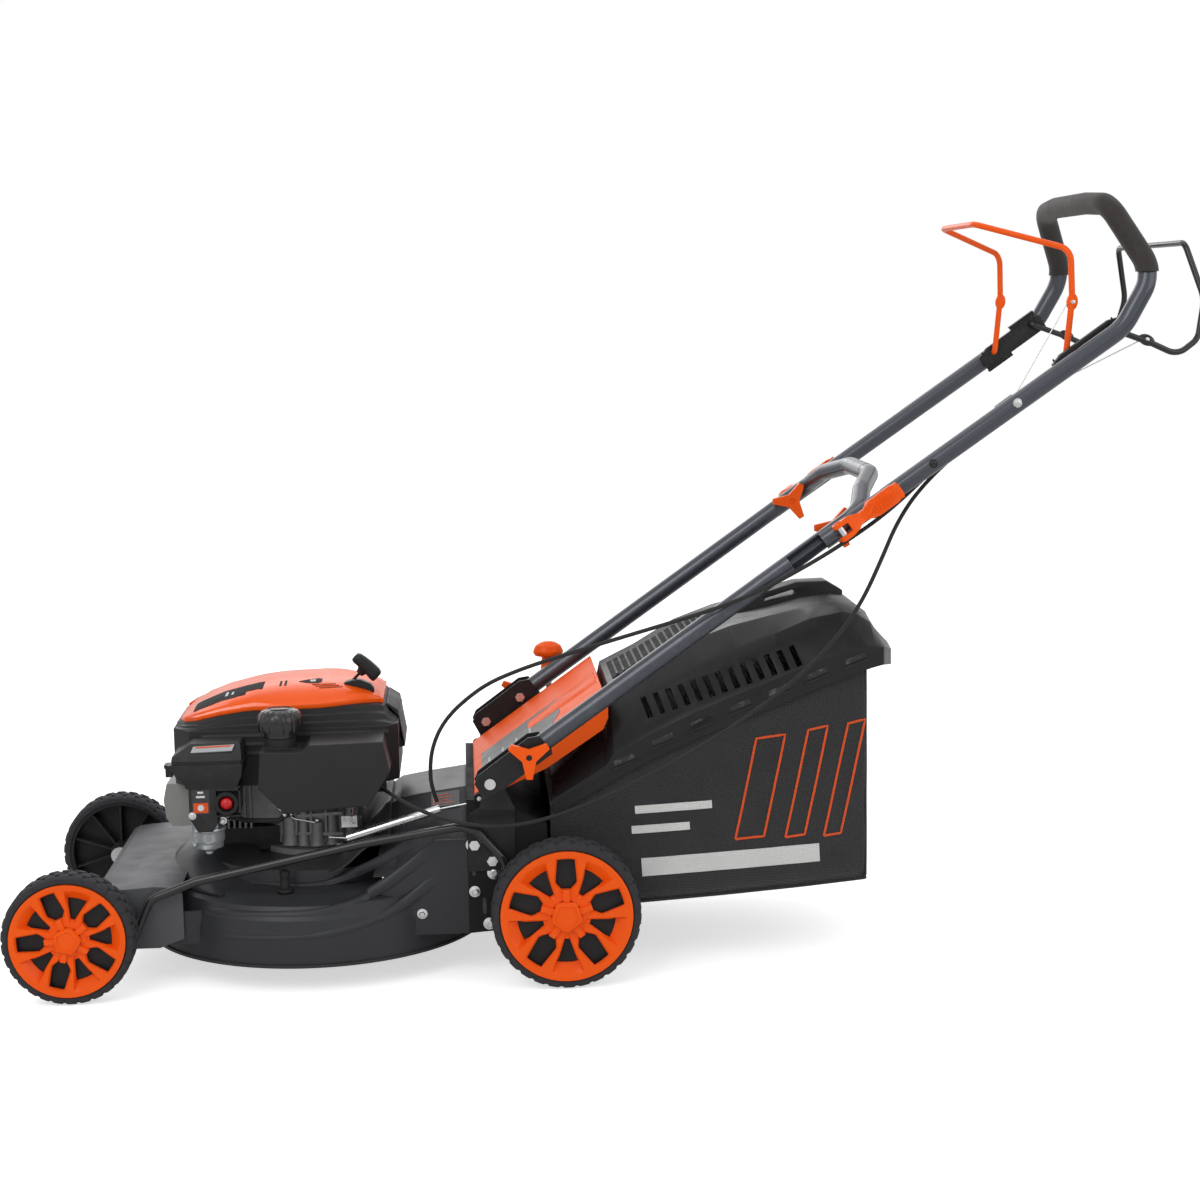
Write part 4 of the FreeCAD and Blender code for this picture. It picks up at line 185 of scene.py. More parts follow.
@dataclass(frozen=True)
class Finish:
    """One kind of surface: its colours, its gloss, its relief and its wear.

    Attributes:
        name: The material's name.
        colour: The main colour.
        drift: The colour that it drifts to in soft patches.
        roughness: The least and the greatest roughness.
        grain: The kind of relief.
        pitch: The size of one grain in metres.
        depth: The height of the relief in metres.
        metallic: 1 for bare metal.
        coat: The strength of a clear gloss over the surface.
        patch: The size of the colour patches in metres.
        edge: The colour of rubbed edges.
        wear: How much of the edges is rubbed.
        sheen: The strength of a dusty sheen.
        shine: The specular level, 0.5 for plain plastic.
    """

    name: str
    colour: Rgb
    drift: Rgb
    roughness: Flat
    grain: Grain
    pitch: float = 0.0012
    depth: float = 0.00005
    metallic: float = 0.0
    coat: float = 0.0
    patch: float = 0.06
    edge: Rgb = (0.3, 0.3, 0.3)
    wear: float = 0.0
    sheen: float = 0.0
    shine: float = 0.5

    def material(self) -> bpy.types.Material:
        """Build the material once and hand back the same one afterwards."""
        found = bpy.data.materials.get(self.name)
        if found:
            return found
        made = bpy.data.materials.new(self.name)
        made.use_nodes = True
        made.diffuse_color = (*self.colour, 1.0)
        graph = Graph(made.node_tree)
        shader = made.node_tree.nodes["Principled BSDF"].inputs
        place = graph.add("TexCoord").outputs["Object"]
        tint = graph.mix(graph.noise(place, 1 / self.patch, 3.0), self.colour, self.drift)
        if self.wear:
            tint = self._rubbed(graph, place, tint)
        bump = graph.add("Bump")
        bump.inputs["Strength"].default_value = 1.0
        bump.inputs["Distance"].default_value = self.depth
        graph.feed(bump.inputs["Height"], self._relief(graph, place))
        smudges = graph.noise(place, SMUDGE / self.patch, 5.0)
        for name, value in (
            ("Base Color", tint), ("Roughness", graph.ranged(smudges, (0.3, 0.7), self.roughness)),
            ("Normal", bump.outputs["Normal"]), ("Metallic", self.metallic), ("Coat Weight", self.coat),
            ("Coat Roughness", COAT_ROUGHNESS), ("Sheen Weight", self.sheen),
            ("Specular IOR Level", self.shine),
        ):
            graph.feed(shader[name], value)
        return made

    def _rubbed(self, graph: Graph, place: Socket, tint: Socket) -> Socket:
        """Rub the sharp edges through to the edge colour, in broken stretches.

        Args:
            graph: The material's nodes.
            place: The place on the object.
            tint: The colour before wear.

        Returns:
            The colour after it.
        """
        sharp, gaps, stretches = (0.56, 0.7), (0.5, 0.62), 90.0
        keen = graph.ranged(graph.add("NewGeometry").outputs["Pointiness"], sharp, (0.0, self.wear))
        broken = graph.ranged(graph.noise(place, stretches, 4.0), gaps, (0.0, 1.0))
        return graph.mix(graph.maths("MULTIPLY", keen, broken), tint, self.edge)

    def _relief(self, graph: Graph, place: Socket) -> Socket:
        """The height of the surface's relief.

        Args:
            graph: The material's nodes.
            place: The place on the object.

        Returns:
            The height, between 0 and about 1.
        """
        if self.grain is Grain.WEAVE:
            return self._threads(graph, place)
        if self.grain in (Grain.FOAM, Grain.CAST):
            cells = graph.add("TexVoronoi")
            cells.inputs["Scale"].default_value = 1 / self.pitch
            graph.feed(cells.inputs["Vector"], place)
            return cells.outputs["Distance"]
        if self.grain is Grain.BRUSHED:
            stretch = graph.add("Mapping")
            stretch.inputs["Scale"].default_value = (1.0, 0.06, 1.0)
            graph.feed(stretch.inputs["Vector"], place)
            place = stretch.outputs["Vector"]
        detail = {Grain.PEEL: 1.0, Grain.STIPPLE: 3.0, Grain.RUBBER: 6.0}.get(self.grain, 4.0)
        return graph.noise(place, 1 / self.pitch, detail)

    def _threads(self, graph: Graph, place: Socket) -> Socket:
        """Crossing threads: one set upright, one set level, on any upright cloth.

        Args:
            graph: The material's nodes.
            place: The place on the object.

        Returns:
            The height of the higher thread.
        """
        parts = graph.add("SeparateXYZ")
        graph.feed(parts.inputs["Vector"], place)
        level = graph.maths("ADD", parts.outputs["X"], parts.outputs["Y"])
        waves = [
            graph.maths("SINE", graph.maths("MULTIPLY", value, math.tau / self.pitch))
            for value in (level, parts.outputs["Z"])
        ]
        return graph.maths("MAXIMUM", *waves)


ORANGE = (0.95, 0.115, 0.006)
ORANGE_DEEP = (0.88, 0.095, 0.005)

COVER_ORANGE = Finish(
    "glossy_orange_cover", ORANGE, ORANGE_DEEP, (0.16, 0.3), Grain.PEEL,
    pitch=0.004, depth=0.00002, coat=0.05, edge=(1.0, 0.3, 0.12), wear=0.25, shine=0.12,
)
MOULDED_ORANGE = Finish(
    "moulded_orange", ORANGE, ORANGE_DEEP, (0.3, 0.46), Grain.STIPPLE,
    pitch=0.0009, depth=0.00002, edge=(1.0, 0.3, 0.12), wear=0.25, shine=0.12,
)
ORANGE_WIRE = Finish(
    "orange_enamel_wire", ORANGE, ORANGE_DEEP, (0.2, 0.32), Grain.PEEL,
    pitch=0.003, depth=0.00002, coat=0.05, edge=(0.4, 0.3, 0.25), wear=0.3, shine=0.14,
)
DECK_ENAMEL = Finish(
    "satin_deck_enamel", (0.034, 0.035, 0.038), (0.027, 0.028, 0.031), (0.3, 0.42), Grain.PEEL,
    pitch=0.0016, depth=0.00004, patch=0.12, edge=(0.16, 0.16, 0.17), wear=0.12, shine=0.24,
)
APRON_GREY = Finish(
    "grained_grey_moulding", (0.085, 0.087, 0.094), (0.066, 0.068, 0.073), (0.42, 0.55), Grain.STIPPLE,
    pitch=0.0009, depth=0.00006, edge=(0.2, 0.2, 0.21), wear=0.3, shine=0.3,
)
BLACK_MOULDED = Finish(
    "grained_black_moulding", (0.02, 0.02, 0.021), (0.028, 0.028, 0.029), (0.38, 0.52), Grain.STIPPLE,
    pitch=0.0009, depth=0.00007, edge=(0.11, 0.11, 0.11), wear=0.1, shine=0.18,
)
BLACK_SATIN = Finish(
    "satin_black_moulding", (0.017, 0.017, 0.018), (0.024, 0.024, 0.025), (0.24, 0.36), Grain.STIPPLE,
    pitch=0.0016, depth=0.00004, edge=(0.1, 0.1, 0.1), wear=0.12, shine=0.16,
)
BLACK_GLOSS = Finish(
    "gloss_black_enamel", (0.012, 0.012, 0.013), (0.018, 0.018, 0.019), (0.1, 0.2), Grain.PEEL,
    pitch=0.003, depth=0.00003, coat=0.15, edge=(0.2, 0.2, 0.2), wear=0.3, shine=0.35,
)
TUBE_PAINT = Finish(
    "slate_metallic_enamel", (0.06, 0.066, 0.08), (0.056, 0.062, 0.076), (0.18, 0.28), Grain.PEEL,
    pitch=0.002, depth=0.00001, metallic=0.3, coat=0.15, patch=0.2,
    edge=(0.3, 0.3, 0.32), wear=0.08, shine=0.4,
)
TYRE_RUBBER = Finish(
    "tyre_rubber", (0.024, 0.023, 0.023), (0.036, 0.035, 0.034), (0.5, 0.68), Grain.RUBBER,
    pitch=0.0014, depth=0.00012, patch=0.04, edge=(0.13, 0.125, 0.12), wear=0.8, shine=0.25,
)
GRIP_FOAM = Finish(
    "grip_foam", (0.028, 0.024, 0.023), (0.04, 0.035, 0.033), (0.6, 0.78), Grain.FOAM,
    pitch=0.0011, depth=0.00016, sheen=0.15, patch=0.03, shine=0.2,
)
ZINC = Finish(
    "bright_zinc", (0.68, 0.68, 0.67), (0.5, 0.51, 0.52), (0.2, 0.36), Grain.PEEL,
    pitch=0.002, depth=0.00003, metallic=1.0, patch=0.01,
)
CAST_ALLOY = Finish(
    "cast_alloy", (0.19, 0.192, 0.197), (0.12, 0.122, 0.126), (0.36, 0.55), Grain.CAST,
    pitch=0.0012, depth=0.00016, metallic=0.85, patch=0.02, edge=(0.6, 0.6, 0.6), wear=0.5,
)
CAST_DARK = Finish(
    "dull_cast_alloy", (0.3, 0.3, 0.305), (0.2, 0.2, 0.205), (0.42, 0.6), Grain.CAST,
    pitch=0.0012, depth=0.00018, metallic=0.25, patch=0.015, edge=(0.35, 0.35, 0.36), wear=0.25,
)
ROCKER_GREY = Finish(
    "satin_grey_casting", (0.33, 0.33, 0.315), (0.28, 0.28, 0.27), (0.4, 0.55), Grain.CAST,
    pitch=0.002, depth=0.00005, edge=(0.5, 0.5, 0.48), wear=0.1, shine=0.3,
)
# Painted shade: a darker orange, laid as thin lines where the dome's slot lanes are recessed, that stands in
# for the shade inside them.
PAINTED_SLOT_SHADE = Finish(
    "painted_slot_shade_orange", (0.3, 0.028, 0.003), (0.24, 0.022, 0.002), (0.5, 0.6), Grain.PEEL,
    pitch=0.003, depth=0.00001, shine=0.05,
)
# A dull black for the dome's strip and slots and the lid's grille well. On the rear frame it is partly
# painted shade: the frame is a real black moulding, made darker and duller than the others so that its face
# behind the tunnel reads as shaded.
DULL_BLACK_AND_PAINTED_SHADE = Finish(
    "dull_black_and_painted_shade", (0.014, 0.014, 0.015), (0.02, 0.02, 0.021), (0.55, 0.68), Grain.STIPPLE,
    pitch=0.0012, depth=0.00004, shine=0.06,
)
SMOKE_DECAL = Finish(
    "smoke_grey_decal", (0.15, 0.155, 0.168), (0.12, 0.125, 0.136), (0.2, 0.3), Grain.PEEL,
    pitch=0.003, depth=0.00001, shine=0.35,
)
POLISHED_BOWL = Finish(
    "drawn_silver_bowl", (0.5, 0.53, 0.55), (0.42, 0.45, 0.47), (0.22, 0.3), Grain.PEEL,
    pitch=0.004, depth=0.00001, metallic=0.45, patch=0.05,
)
BLADE_STEEL = Finish(
    "ground_blade_steel", (0.24, 0.24, 0.25), (0.17, 0.17, 0.175), (0.3, 0.5), Grain.BRUSHED,
    pitch=0.0007, depth=0.00005, metallic=1.0, patch=0.03,
)
CABLE_SHEATH = Finish(
    "cable_sheath", (0.014, 0.014, 0.015), (0.02, 0.02, 0.021), (0.28, 0.4), Grain.STIPPLE,
    pitch=0.0014, depth=0.00002, patch=0.03, shine=0.25,
)
BELT_RUBBER = Finish(
    "belt_rubber", (0.03, 0.03, 0.03), (0.045, 0.043, 0.04), (0.6, 0.75), Grain.RUBBER,
    pitch=0.001, depth=0.0001, shine=0.25,
)
BAG_MESH = Finish(
    "catcher_mesh", (0.022, 0.022, 0.024), (0.034, 0.034, 0.037), (0.55, 0.75), Grain.WEAVE,
    pitch=0.0024, depth=0.0006, sheen=0.25, patch=0.05, shine=0.2,
)
PRIMER_RED = Finish(
    "primer_red", (0.62, 0.01, 0.012), (0.5, 0.008, 0.01), (0.2, 0.32), Grain.PEEL,
    pitch=0.003, depth=0.00002, coat=0.15, shine=0.35,
)
DECAL_DARK = Finish(
    "dark_grey_decal", (0.035, 0.036, 0.04), (0.05, 0.051, 0.056), (0.25, 0.38), Grain.PEEL,
    pitch=0.003, depth=0.00001, shine=0.3,
)
DECAL_PALE = Finish(
    "pale_grey_decal", (0.42, 0.43, 0.45), (0.34, 0.35, 0.37), (0.3, 0.42), Grain.PEEL,
    pitch=0.003, depth=0.00001,
)
DECAL_BLUE = Finish(
    "blue_decal", (0.06, 0.27, 0.5), (0.045, 0.2, 0.42), (0.3, 0.42), Grain.PEEL,
    pitch=0.003, depth=0.00001,
)
PRINT_WHITE = Finish(
    "white_fabric_print", (0.78, 0.78, 0.77), (0.68, 0.68, 0.67), (0.5, 0.65), Grain.WEAVE,
    pitch=0.0024, depth=0.0004,
)
PRINT_ORANGE = Finish(
    "orange_fabric_print", (0.85, 0.11, 0.02), (0.72, 0.09, 0.02), (0.5, 0.65), Grain.WEAVE,
    pitch=0.0024, depth=0.0004, shine=0.3,
)


class Form:
    """A mesh in the making, in metres in the machine's own frame."""

    def __init__(self) -> None:
        """Start with nothing."""
        self.mesh = bmesh.new()

    @property
    def everything(self) -> list[bmesh.types.BMVert | bmesh.types.BMEdge | bmesh.types.BMFace]:
        """All corners, edges and faces."""
        return self.mesh.verts[:] + self.mesh.edges[:] + self.mesh.faces[:]

    @property
    def rims(self) -> list[bmesh.types.BMEdge]:
        """The edges that have a face on one side only."""
        return [edge for edge in self.mesh.edges if edge.is_boundary]

    def loft(self, rings: Sequence[Sequence[Vector]], caps: bool = True) -> "Form":
        """Skin a row of outlines that all have the same count of corners.

        Args:
            rings: The outlines in order.
            caps: Whether the first and last outlines are filled.

        Returns:
            This form.
        """
        rows = [[self.mesh.verts.new(corner) for corner in ring] for ring in rings]
        for low, high in zip(rows, rows[1:]):
            for i in range(len(low)):
                j = (i + 1) % len(low)
                self.mesh.faces.new((low[i], low[j], high[j], high[i]))
        if caps:
            self.mesh.faces.new(rows[0])
            self.mesh.faces.new(rows[-1])
        return self

    def wrap(self, profiles: Sequence[Sequence[Vector]], closed: bool = True) -> "Form":
        """Skin a full turn of profiles, the last of which joins the first.

        Args:
            profiles: The profiles in order.
            closed: Whether each profile joins its end to its start.

        Returns:
            This form.
        """
        rows = [[self.mesh.verts.new(corner) for corner in profile] for profile in profiles]
        for low, high in zip(rows, rows[1:] + rows[:1]):
            for k in range(len(low) if closed else len(low) - 1):
                m = (k + 1) % len(low)
                self.mesh.faces.new((low[k], high[k], high[m], low[m]))
        return self

    def prism(self, corners: Sequence[Vector], along: Vector) -> "Form":
        """Draw one outline out along a vector."""
        return self.loft([corners, [corner + along for corner in corners]])

    def block(self, centre: Vector, size: Sequence[float], turn: Matrix | None = None) -> "Form":
        """A block about a centre, its size in metres, turned by a matrix.

        Args:
            centre: The middle of the block.
            size: Its three sides.
            turn: A 3x3 rotation, or None.

        Returns:
            This form.
        """
        turn = turn or Matrix.Identity(3)
        half = [side / 2 for side in size]
        return self.loft([
            [centre + turn @ Vector((a * half[0], b * half[1], c * half[2])) for a, b in SQUARE]
            for c in (-1, 1)
        ])

    def lathe(
        self, centre: Vector, axis: Vector, profile: Sequence[Flat], count: int = 48, closed: bool = False
    ) -> "Form":
        """Turn a profile of (radius, height) pairs about an axis.

        Args:
            centre: Where height is 0.
            axis: The way that height runs.
            profile: The pairs in metres.
            count: How many flats make one turn.
            closed: Whether the profile joins its end to its start.

        Returns:
            This form.
        """
        turn = axis.to_track_quat("Z", "Y").to_matrix()
        upward = turn @ UP
        spokes = [turn @ spoke(angle) for angle in round_the_turn(count)]
        self.wrap([[centre + across * r + upward * h for r, h in profile] for across in spokes], closed)
        bmesh.ops.remove_doubles(self.mesh, verts=self.mesh.verts, dist=1e-6)
        return self

    def tube(self, path: Sequence[Vector], radius: float, sides: int = 16, caps: bool = True) -> "Form":
        """A round bar along a path.

        Args:
            path: The points of its centre line.
            radius: Its radius in metres.
            sides: How many flats go round it.
            caps: Whether its ends are filled.

        Returns:
            This form.
        """
        rings = []
        side = (path[1] - path[0]).orthogonal().normalized()
        for i, point in enumerate(path):
            ahead = (path[min(i + 1, len(path) - 1)] - path[max(i - 1, 0)]).normalized()
            side = (side - ahead * side.dot(ahead)).normalized()
            other = ahead.cross(side)
            rings.append([
                point + radius * (side * math.cos(angle) + other * math.sin(angle))
                for angle in round_the_turn(sides)
            ])
        return self.loft(rings, caps=caps)

    def bolt(
        self, place: Vector, axis: Vector, across: float, height: float, washer: float = 0.0
    ) -> "Form":
        """A six-sided head with a rounded crown, on a washer if that has a radius.

        Args:
            place: The middle of the seat.
            axis: The way that the head points.
            across: The head's radius to its corners.
            height: The head's height.
            washer: The washer's radius.

        Returns:
            This form.
        """
        lift = 0.0
        if washer:
            lift = height * 0.25
            ring = [(0, 0), (washer, 0), (washer, lift * 0.8), (washer * 0.9, lift), (0, lift)]
            self.lathe(place, axis, ring, 32)
        head = ((0, 0), (1, 0), (1, 0.82), (0.82, 1), (0.5, 1), (0.42, 0.86), (0, 0.86))
        return self.lathe(place, axis, [(across * r, lift + height * h) for r, h in head], 6)

    def cad(self, node: str) -> "Form":
        """Take in a copy of a CAD node's skin, its facets joined into flat faces."""
        self.mesh.from_mesh(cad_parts[node].data)
        bmesh.ops.remove_doubles(self.mesh, verts=self.mesh.verts, dist=2e-6)
        bmesh.ops.dissolve_limit(
            self.mesh, angle_limit=math.radians(1.0), verts=self.mesh.verts, edges=self.mesh.edges
        )
        return self

    def soften(self, width: float, segments: int = 2, angle: float = 28.0) -> "Form":
        """Round every sharp edge.

        Args:
            width: The rounding in metres.
            segments: How many facets make one rounding.
            angle: Edges that turn by more than this, in degrees, are sharp.

        Returns:
            This form.
        """
        sharp = [
            edge for edge in self.mesh.edges
            if len(edge.link_faces) == 2 and edge.calc_face_angle(0.0) > math.radians(angle)
        ]
        bmesh.ops.bevel(
            self.mesh, geom=sharp, offset=width, segments=segments, profile=0.6,
            affect="EDGES", clamp_overlap=True, loop_slide=False,
        )
        return self

    def each(self, change: Callable[[Vector], Vector]) -> "Form":
        """Move every corner to where a rule puts it."""
        for vert in self.mesh.verts:
            vert.co = change(vert.co.copy())
        return self

    def slice(self, place: Vector, normal: Vector, drop: bool = False) -> list[bmesh.types.BMEdge]:
        """Cut the mesh along a plane.

        Args:
            place: A point of the plane.
            normal: The way that it faces.
            drop: Whether what lies behind it is taken away.

        Returns:
            The edges along the cut.
        """
        made = bmesh.ops.bisect_plane(
            self.mesh, geom=self.everything, plane_co=place, plane_no=normal, clear_inner=drop)
        return [item for item in made["geom_cut"] if isinstance(item, bmesh.types.BMEdge)]

    def close(self, edges: Sequence[bmesh.types.BMEdge]) -> "Form":
        """Fill the holes that some edges go round."""
        bmesh.ops.holes_fill(self.mesh, edges=edges, sides=0)
        return self

    def also_mirrored(self) -> "Form":
        """Add the mirror image across the machine's middle."""
        copy = bmesh.ops.duplicate(self.mesh, geom=self.everything)
        for item in copy["geom"]:
            if isinstance(item, bmesh.types.BMVert):
                item.co.y = -item.co.y
        return self

    def piece(self, name: str, finish: Finish, body: str, smooth: float = 35.0) -> bpy.types.Object:
        """Finish the mesh as a piece that rides on a body.

        Args:
            name: The piece's name.
            finish: Its surface.
            body: The CAD body that it moves with.
            smooth: Edges below this angle in degrees are shaded smooth.

        Returns:
            The piece.
        """
        made = self.loose(name, finish, smooth)
        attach(made, body)
        return made

    def loose(self, name: str, finish: Finish, smooth: float = 35.0) -> bpy.types.Object:
        """Finish the mesh as a piece that rides on nothing yet.

        Args:
            name: The piece's name.
            finish: Its surface.
            smooth: Edges below this angle in degrees are shaded smooth.

        Returns:
            The piece.
        """
        bmesh.ops.recalc_face_normals(self.mesh, faces=self.mesh.faces)
        data = bpy.data.meshes.new(name)
        self.mesh.to_mesh(data)
        self.mesh.free()
        data.shade_smooth()
        data.set_sharp_from_angle(angle=math.radians(smooth))
        data.materials.append(finish.material())
        made = bpy.data.objects.new(name, data)
        bpy.context.scene.collection.objects.link(made)
        log.info("%s: %d faces, %s", name, len(data.polygons), finish.name)
        return made


def dress(finish: Finish, *names: str) -> None:
    """Give CAD nodes a finish."""
    for name in names:
        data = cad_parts[name].data
        data.materials.clear()
        data.materials.append(finish.material())
        log.info("%s dressed in %s", name, finish.name)


def softened(name: str, finish: Finish, body: str, width: float, segments: int = 2) -> bpy.types.Object:
    """Stand in for a CAD node with the same shape, its moulded edges rounded.

    Args:
        name: The CAD node.
        finish: Its surface.
        body: The body that it moves with.
        width: The rounding in metres.
        segments: How many facets make one rounding.

    Returns:
        The piece.
    """
    made = Form().cad(name).soften(width, segments).piece(f"{name}_moulding", finish, body)
    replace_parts(made, name)
    return made


def spline_points(points: Sequence[Vector]) -> list[Vector]:
    """The smooth line that a cord's control points draw.

    Args:
        points: The control points.

    Returns:
        Points along the smooth line, close together.
    """
    curve = bpy.data.curves.new("route", "CURVE")
    curve.dimensions = "3D"
    curve.resolution_u = 12
    spline = curve.splines.new("NURBS")
    spline.points.add(len(points) - 1)
    for target, point in zip(spline.points, points):
        target.co = (*point, 1.0)
    spline.order_u = 3
    spline.use_endpoint_u = True
    holder = bpy.data.objects.new("route", curve)
    bpy.context.scene.collection.objects.link(holder)
    data = bpy.data.meshes.new_from_object(holder)
    line = [vert.co.copy() for vert in data.vertices]
    bpy.data.objects.remove(holder)
    bpy.data.meshes.remove(data)
    bpy.data.curves.remove(curve)
    return line


def run_length(path: Sequence[Vector]) -> float:
    """The length of a path in metres."""
    return sum((b - a).length for a, b in zip(path, path[1:]))


@dataclass(frozen=True)
class HandleLine:
    """The straight line that both handle tubes lie on.

    Attributes:
        angle: Its slope in degrees.
        fold: Where it crosses the chassis pivot, (x, z) in millimetres from the rear axle.
        cam: Where it crosses the cam bolts, in the same measure.
    """

    angle: float = 34.76
    fold: Flat = (-99.0, 281.0)
    cam: Flat = (378.44, 612.39)

    def spot(self, base: Flat, back: float, up: float, y: float) -> Vector:
        """A place in metres.

        Args:
            base: The fold or the cam.
            back: Millimetres up the line from it.
            up: Millimetres square to the line.
            y: Millimetres to the machine's right.

        Returns:
            The place.
        """
        turn = math.radians(self.angle)
        return at(
            base[0] + back * math.cos(turn) - up * math.sin(turn),
            y,
            base[1] + back * math.sin(turn) + up * math.cos(turn),
        )

    def turn(self) -> Matrix:
        """The rotation that lays a block's x along the line."""
        return Matrix.Rotation(-math.radians(self.angle), 3, "Y")


LINE = HandleLine()


@dataclass
class Studio:
    """Camera, lamps, floor and white surroundings.

    Attributes:
        eye: Where the camera stands, in metres.
        yaw: How far it looks to the right of straight across, in degrees.
        pitch: How far it looks down.
        roll: How far it leans.
        lens: Its focal length in millimetres.
        reach: How far it sees, in metres.
        aim: The place that the lamps face.
        sky: How strongly the sky lights the machine.
        pale: How pale and how rough the floor is.
        glow: How much the floor glows to the camera.
        lamps: Each lamp's name, place, side in metres and power in watts.
    """

    eye: Vector = field(default_factory=lambda: at(-122.4, -3066.7, 924.7))
    yaw: float = 3.557
    pitch: float = 7.979
    roll: float = -1.0
    lens: float = 64.416
    reach: float = 60.0
    aim: Vector = field(default_factory=lambda: Vector((0, 0, 0.35)))
    sky: float = 0.55
    pale: float = 0.9
    glow: float = 0.6
    lamps: Sequence[tuple[str, Rgb, float, float]] = (
        ("key_light", (-1.6, -2.6, 2.6), 2.0, 36), ("fill_light", (2.6, -1.9, 1.7), 2.2, 16),
        ("top_light", (0.1, 0.6, 3.0), 2.6, 15), ("back_light", (-0.6, 2.8, 2.0), 2.0, 16),
    )

    def camera(self) -> None:
        """Set the camera."""
        yaw, pitch, roll = (math.radians(angle) for angle in (self.yaw, self.pitch, self.roll))
        ahead = Vector((math.sin(yaw) * math.cos(pitch), math.cos(yaw) * math.cos(pitch), -math.sin(pitch)))
        level = Vector((math.cos(yaw), -math.sin(yaw), 0))
        above = level.cross(ahead)
        right = level * math.cos(roll) + above * math.sin(roll)
        upward = -level * math.sin(roll) + above * math.cos(roll)
        data = bpy.data.cameras.new("camera")
        data.sensor_width = SENSOR
        data.lens = self.lens
        data.clip_end = self.reach
        made = bpy.data.objects.new("camera", data)
        facing = Matrix((right, upward, -ahead)).transposed().to_4x4()
        made.matrix_world = Matrix.Translation(self.eye) @ facing
        bpy.context.scene.collection.objects.link(made)
        bpy.context.scene.camera = made

    def lamp(self, name: str, place: Vector, size: float, power: float) -> None:
        """A square soft box that faces the machine.

        Args:
            name: Its name.
            place: Where it stands.
            size: Its side in metres.
            power: Its power in watts.
        """
        data = bpy.data.lights.new(name, "AREA")
        data.shape = "SQUARE"
        data.size = size
        data.energy = power
        made = bpy.data.objects.new(name, data)
        made.location = place
        made.rotation_euler = (self.aim - place).to_track_quat("-Z", "Y").to_euler()
        bpy.context.scene.collection.objects.link(made)

    def white_world(self) -> None:
        """A soft grey sky that the camera, and gloss, see as white."""
        world = bpy.data.worlds.new("studio")
        world.use_nodes = True
        bpy.context.scene.world = world
        graph = Graph(world.node_tree)
        sky = world.node_tree.nodes["Background"]
        sky.inputs["Color"].default_value = (1, 1, 1, 1)
        ray = graph.add("LightPath").outputs
        seen = ray["Is Camera Ray"]
        for kind in ("Is Glossy Ray", "Is Transmission Ray"):
            seen = graph.maths("MAXIMUM", seen, ray[kind])
        graph.feed(sky.inputs["Strength"], graph.ranged(seen, (0.0, 1.0), (self.sky, 1.0)))

    def floor(self) -> None:
        """A wide pale floor that shows the machine's shadow."""
        data = bpy.data.meshes.new("floor")
        reach, sunk = 14.0, 0.0005
        data.from_pydata([(reach * a, reach * b, 0) for a, b in SQUARE], [], [(0, 1, 2, 3)])
        made = bpy.data.objects.new("floor", data)
        made.location.z = -sunk
        material = bpy.data.materials.new("studio_floor")
        material.use_nodes = True
        graph = Graph(material.node_tree)
        ray = graph.add("LightPath").outputs["Is Camera Ray"]
        shader = material.node_tree.nodes["Principled BSDF"].inputs
        for name, value in (
            ("Base Color", (self.pale, self.pale, self.pale)), ("Roughness", self.pale),
            ("Emission Color", (1.0, 1.0, 1.0)),
            ("Emission Strength", graph.maths("MULTIPLY", ray, self.glow)),
        ):
            graph.feed(shader[name], value)
        data.materials.append(material)
        bpy.context.scene.collection.objects.link(made)

    def build(self) -> None:
        """Set the whole studio."""
        bpy.context.scene.view_settings.view_transform = "Standard"
        self.camera()
        self.white_world()
        self.floor()
        for name, place, size, power in self.lamps:
            self.lamp(name, Vector(place), size, power)


@dataclass
class Cable:
    """One control cable: its guide on the handle, its free run, and the wire that the bail pulls.

    Attributes:
        name: The CAD node that it stands for.
        upper: Control points from the guide down to the cam bolt, on the folding upper half.
        lower: Control points from there down to the machine.
        seat: Where the pull wire leaves the guide.
        hook: Where the pull wire holds the bail.
        bail: The bail's body. It is not used.
        diameter: Its thickness in metres.
        wire: The pull wire's thickness in metres.
    """

    name: str
    upper: Sequence[Vector]
    lower: Sequence[Vector]
    seat: Vector
    hook: Vector
    bail: str
    diameter: float = 0.0055
    wire: float = 0.0016

    def build(self) -> None:
        """Make the free run in two pieces, one each side of the cam bolt, and the pull wire."""
        whole = spline_points([*self.upper, *self.lower])
        cut = min(range(len(whole)), key=lambda i: (whole[i] - self.upper[-1]).length)
        upper, lower = ("upper_handle", "lower_handle"), ("lower_handle", "chassis")
        for word, path, bodies, ends, lay in (
            ("upper", whole[: cut + 1], upper, (self.upper[0], whole[cut]), "loose"),
            ("lower", whole[cut:], lower, (self.lower[2], self.lower[-4]), "hanging"),
        ):
            tube = Form().tube(path, self.diameter / 2, CORD_SIDES)
            made = tube.loose(f"{self.name}_{word}", CABLE_SHEATH)
            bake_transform(made)
            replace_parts(made, self.name)
            log.info("%s %s: %.0f mm", self.name, word, 1000 * run_length(path))
        self.pull_wire()

    def pull_wire(self) -> None:
        """The bare wire from the guide to the bail, held taut."""
        path = spline_points([self.seat, (self.seat + self.hook) / 2, self.hook])
        made = Form().tube(path, self.wire / 2, CORD_SIDES).loose(f"{self.name}_wire", ZINC)
        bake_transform(made)
        log.info("%s wire: %.0f mm", self.name, 1000 * run_length(path))


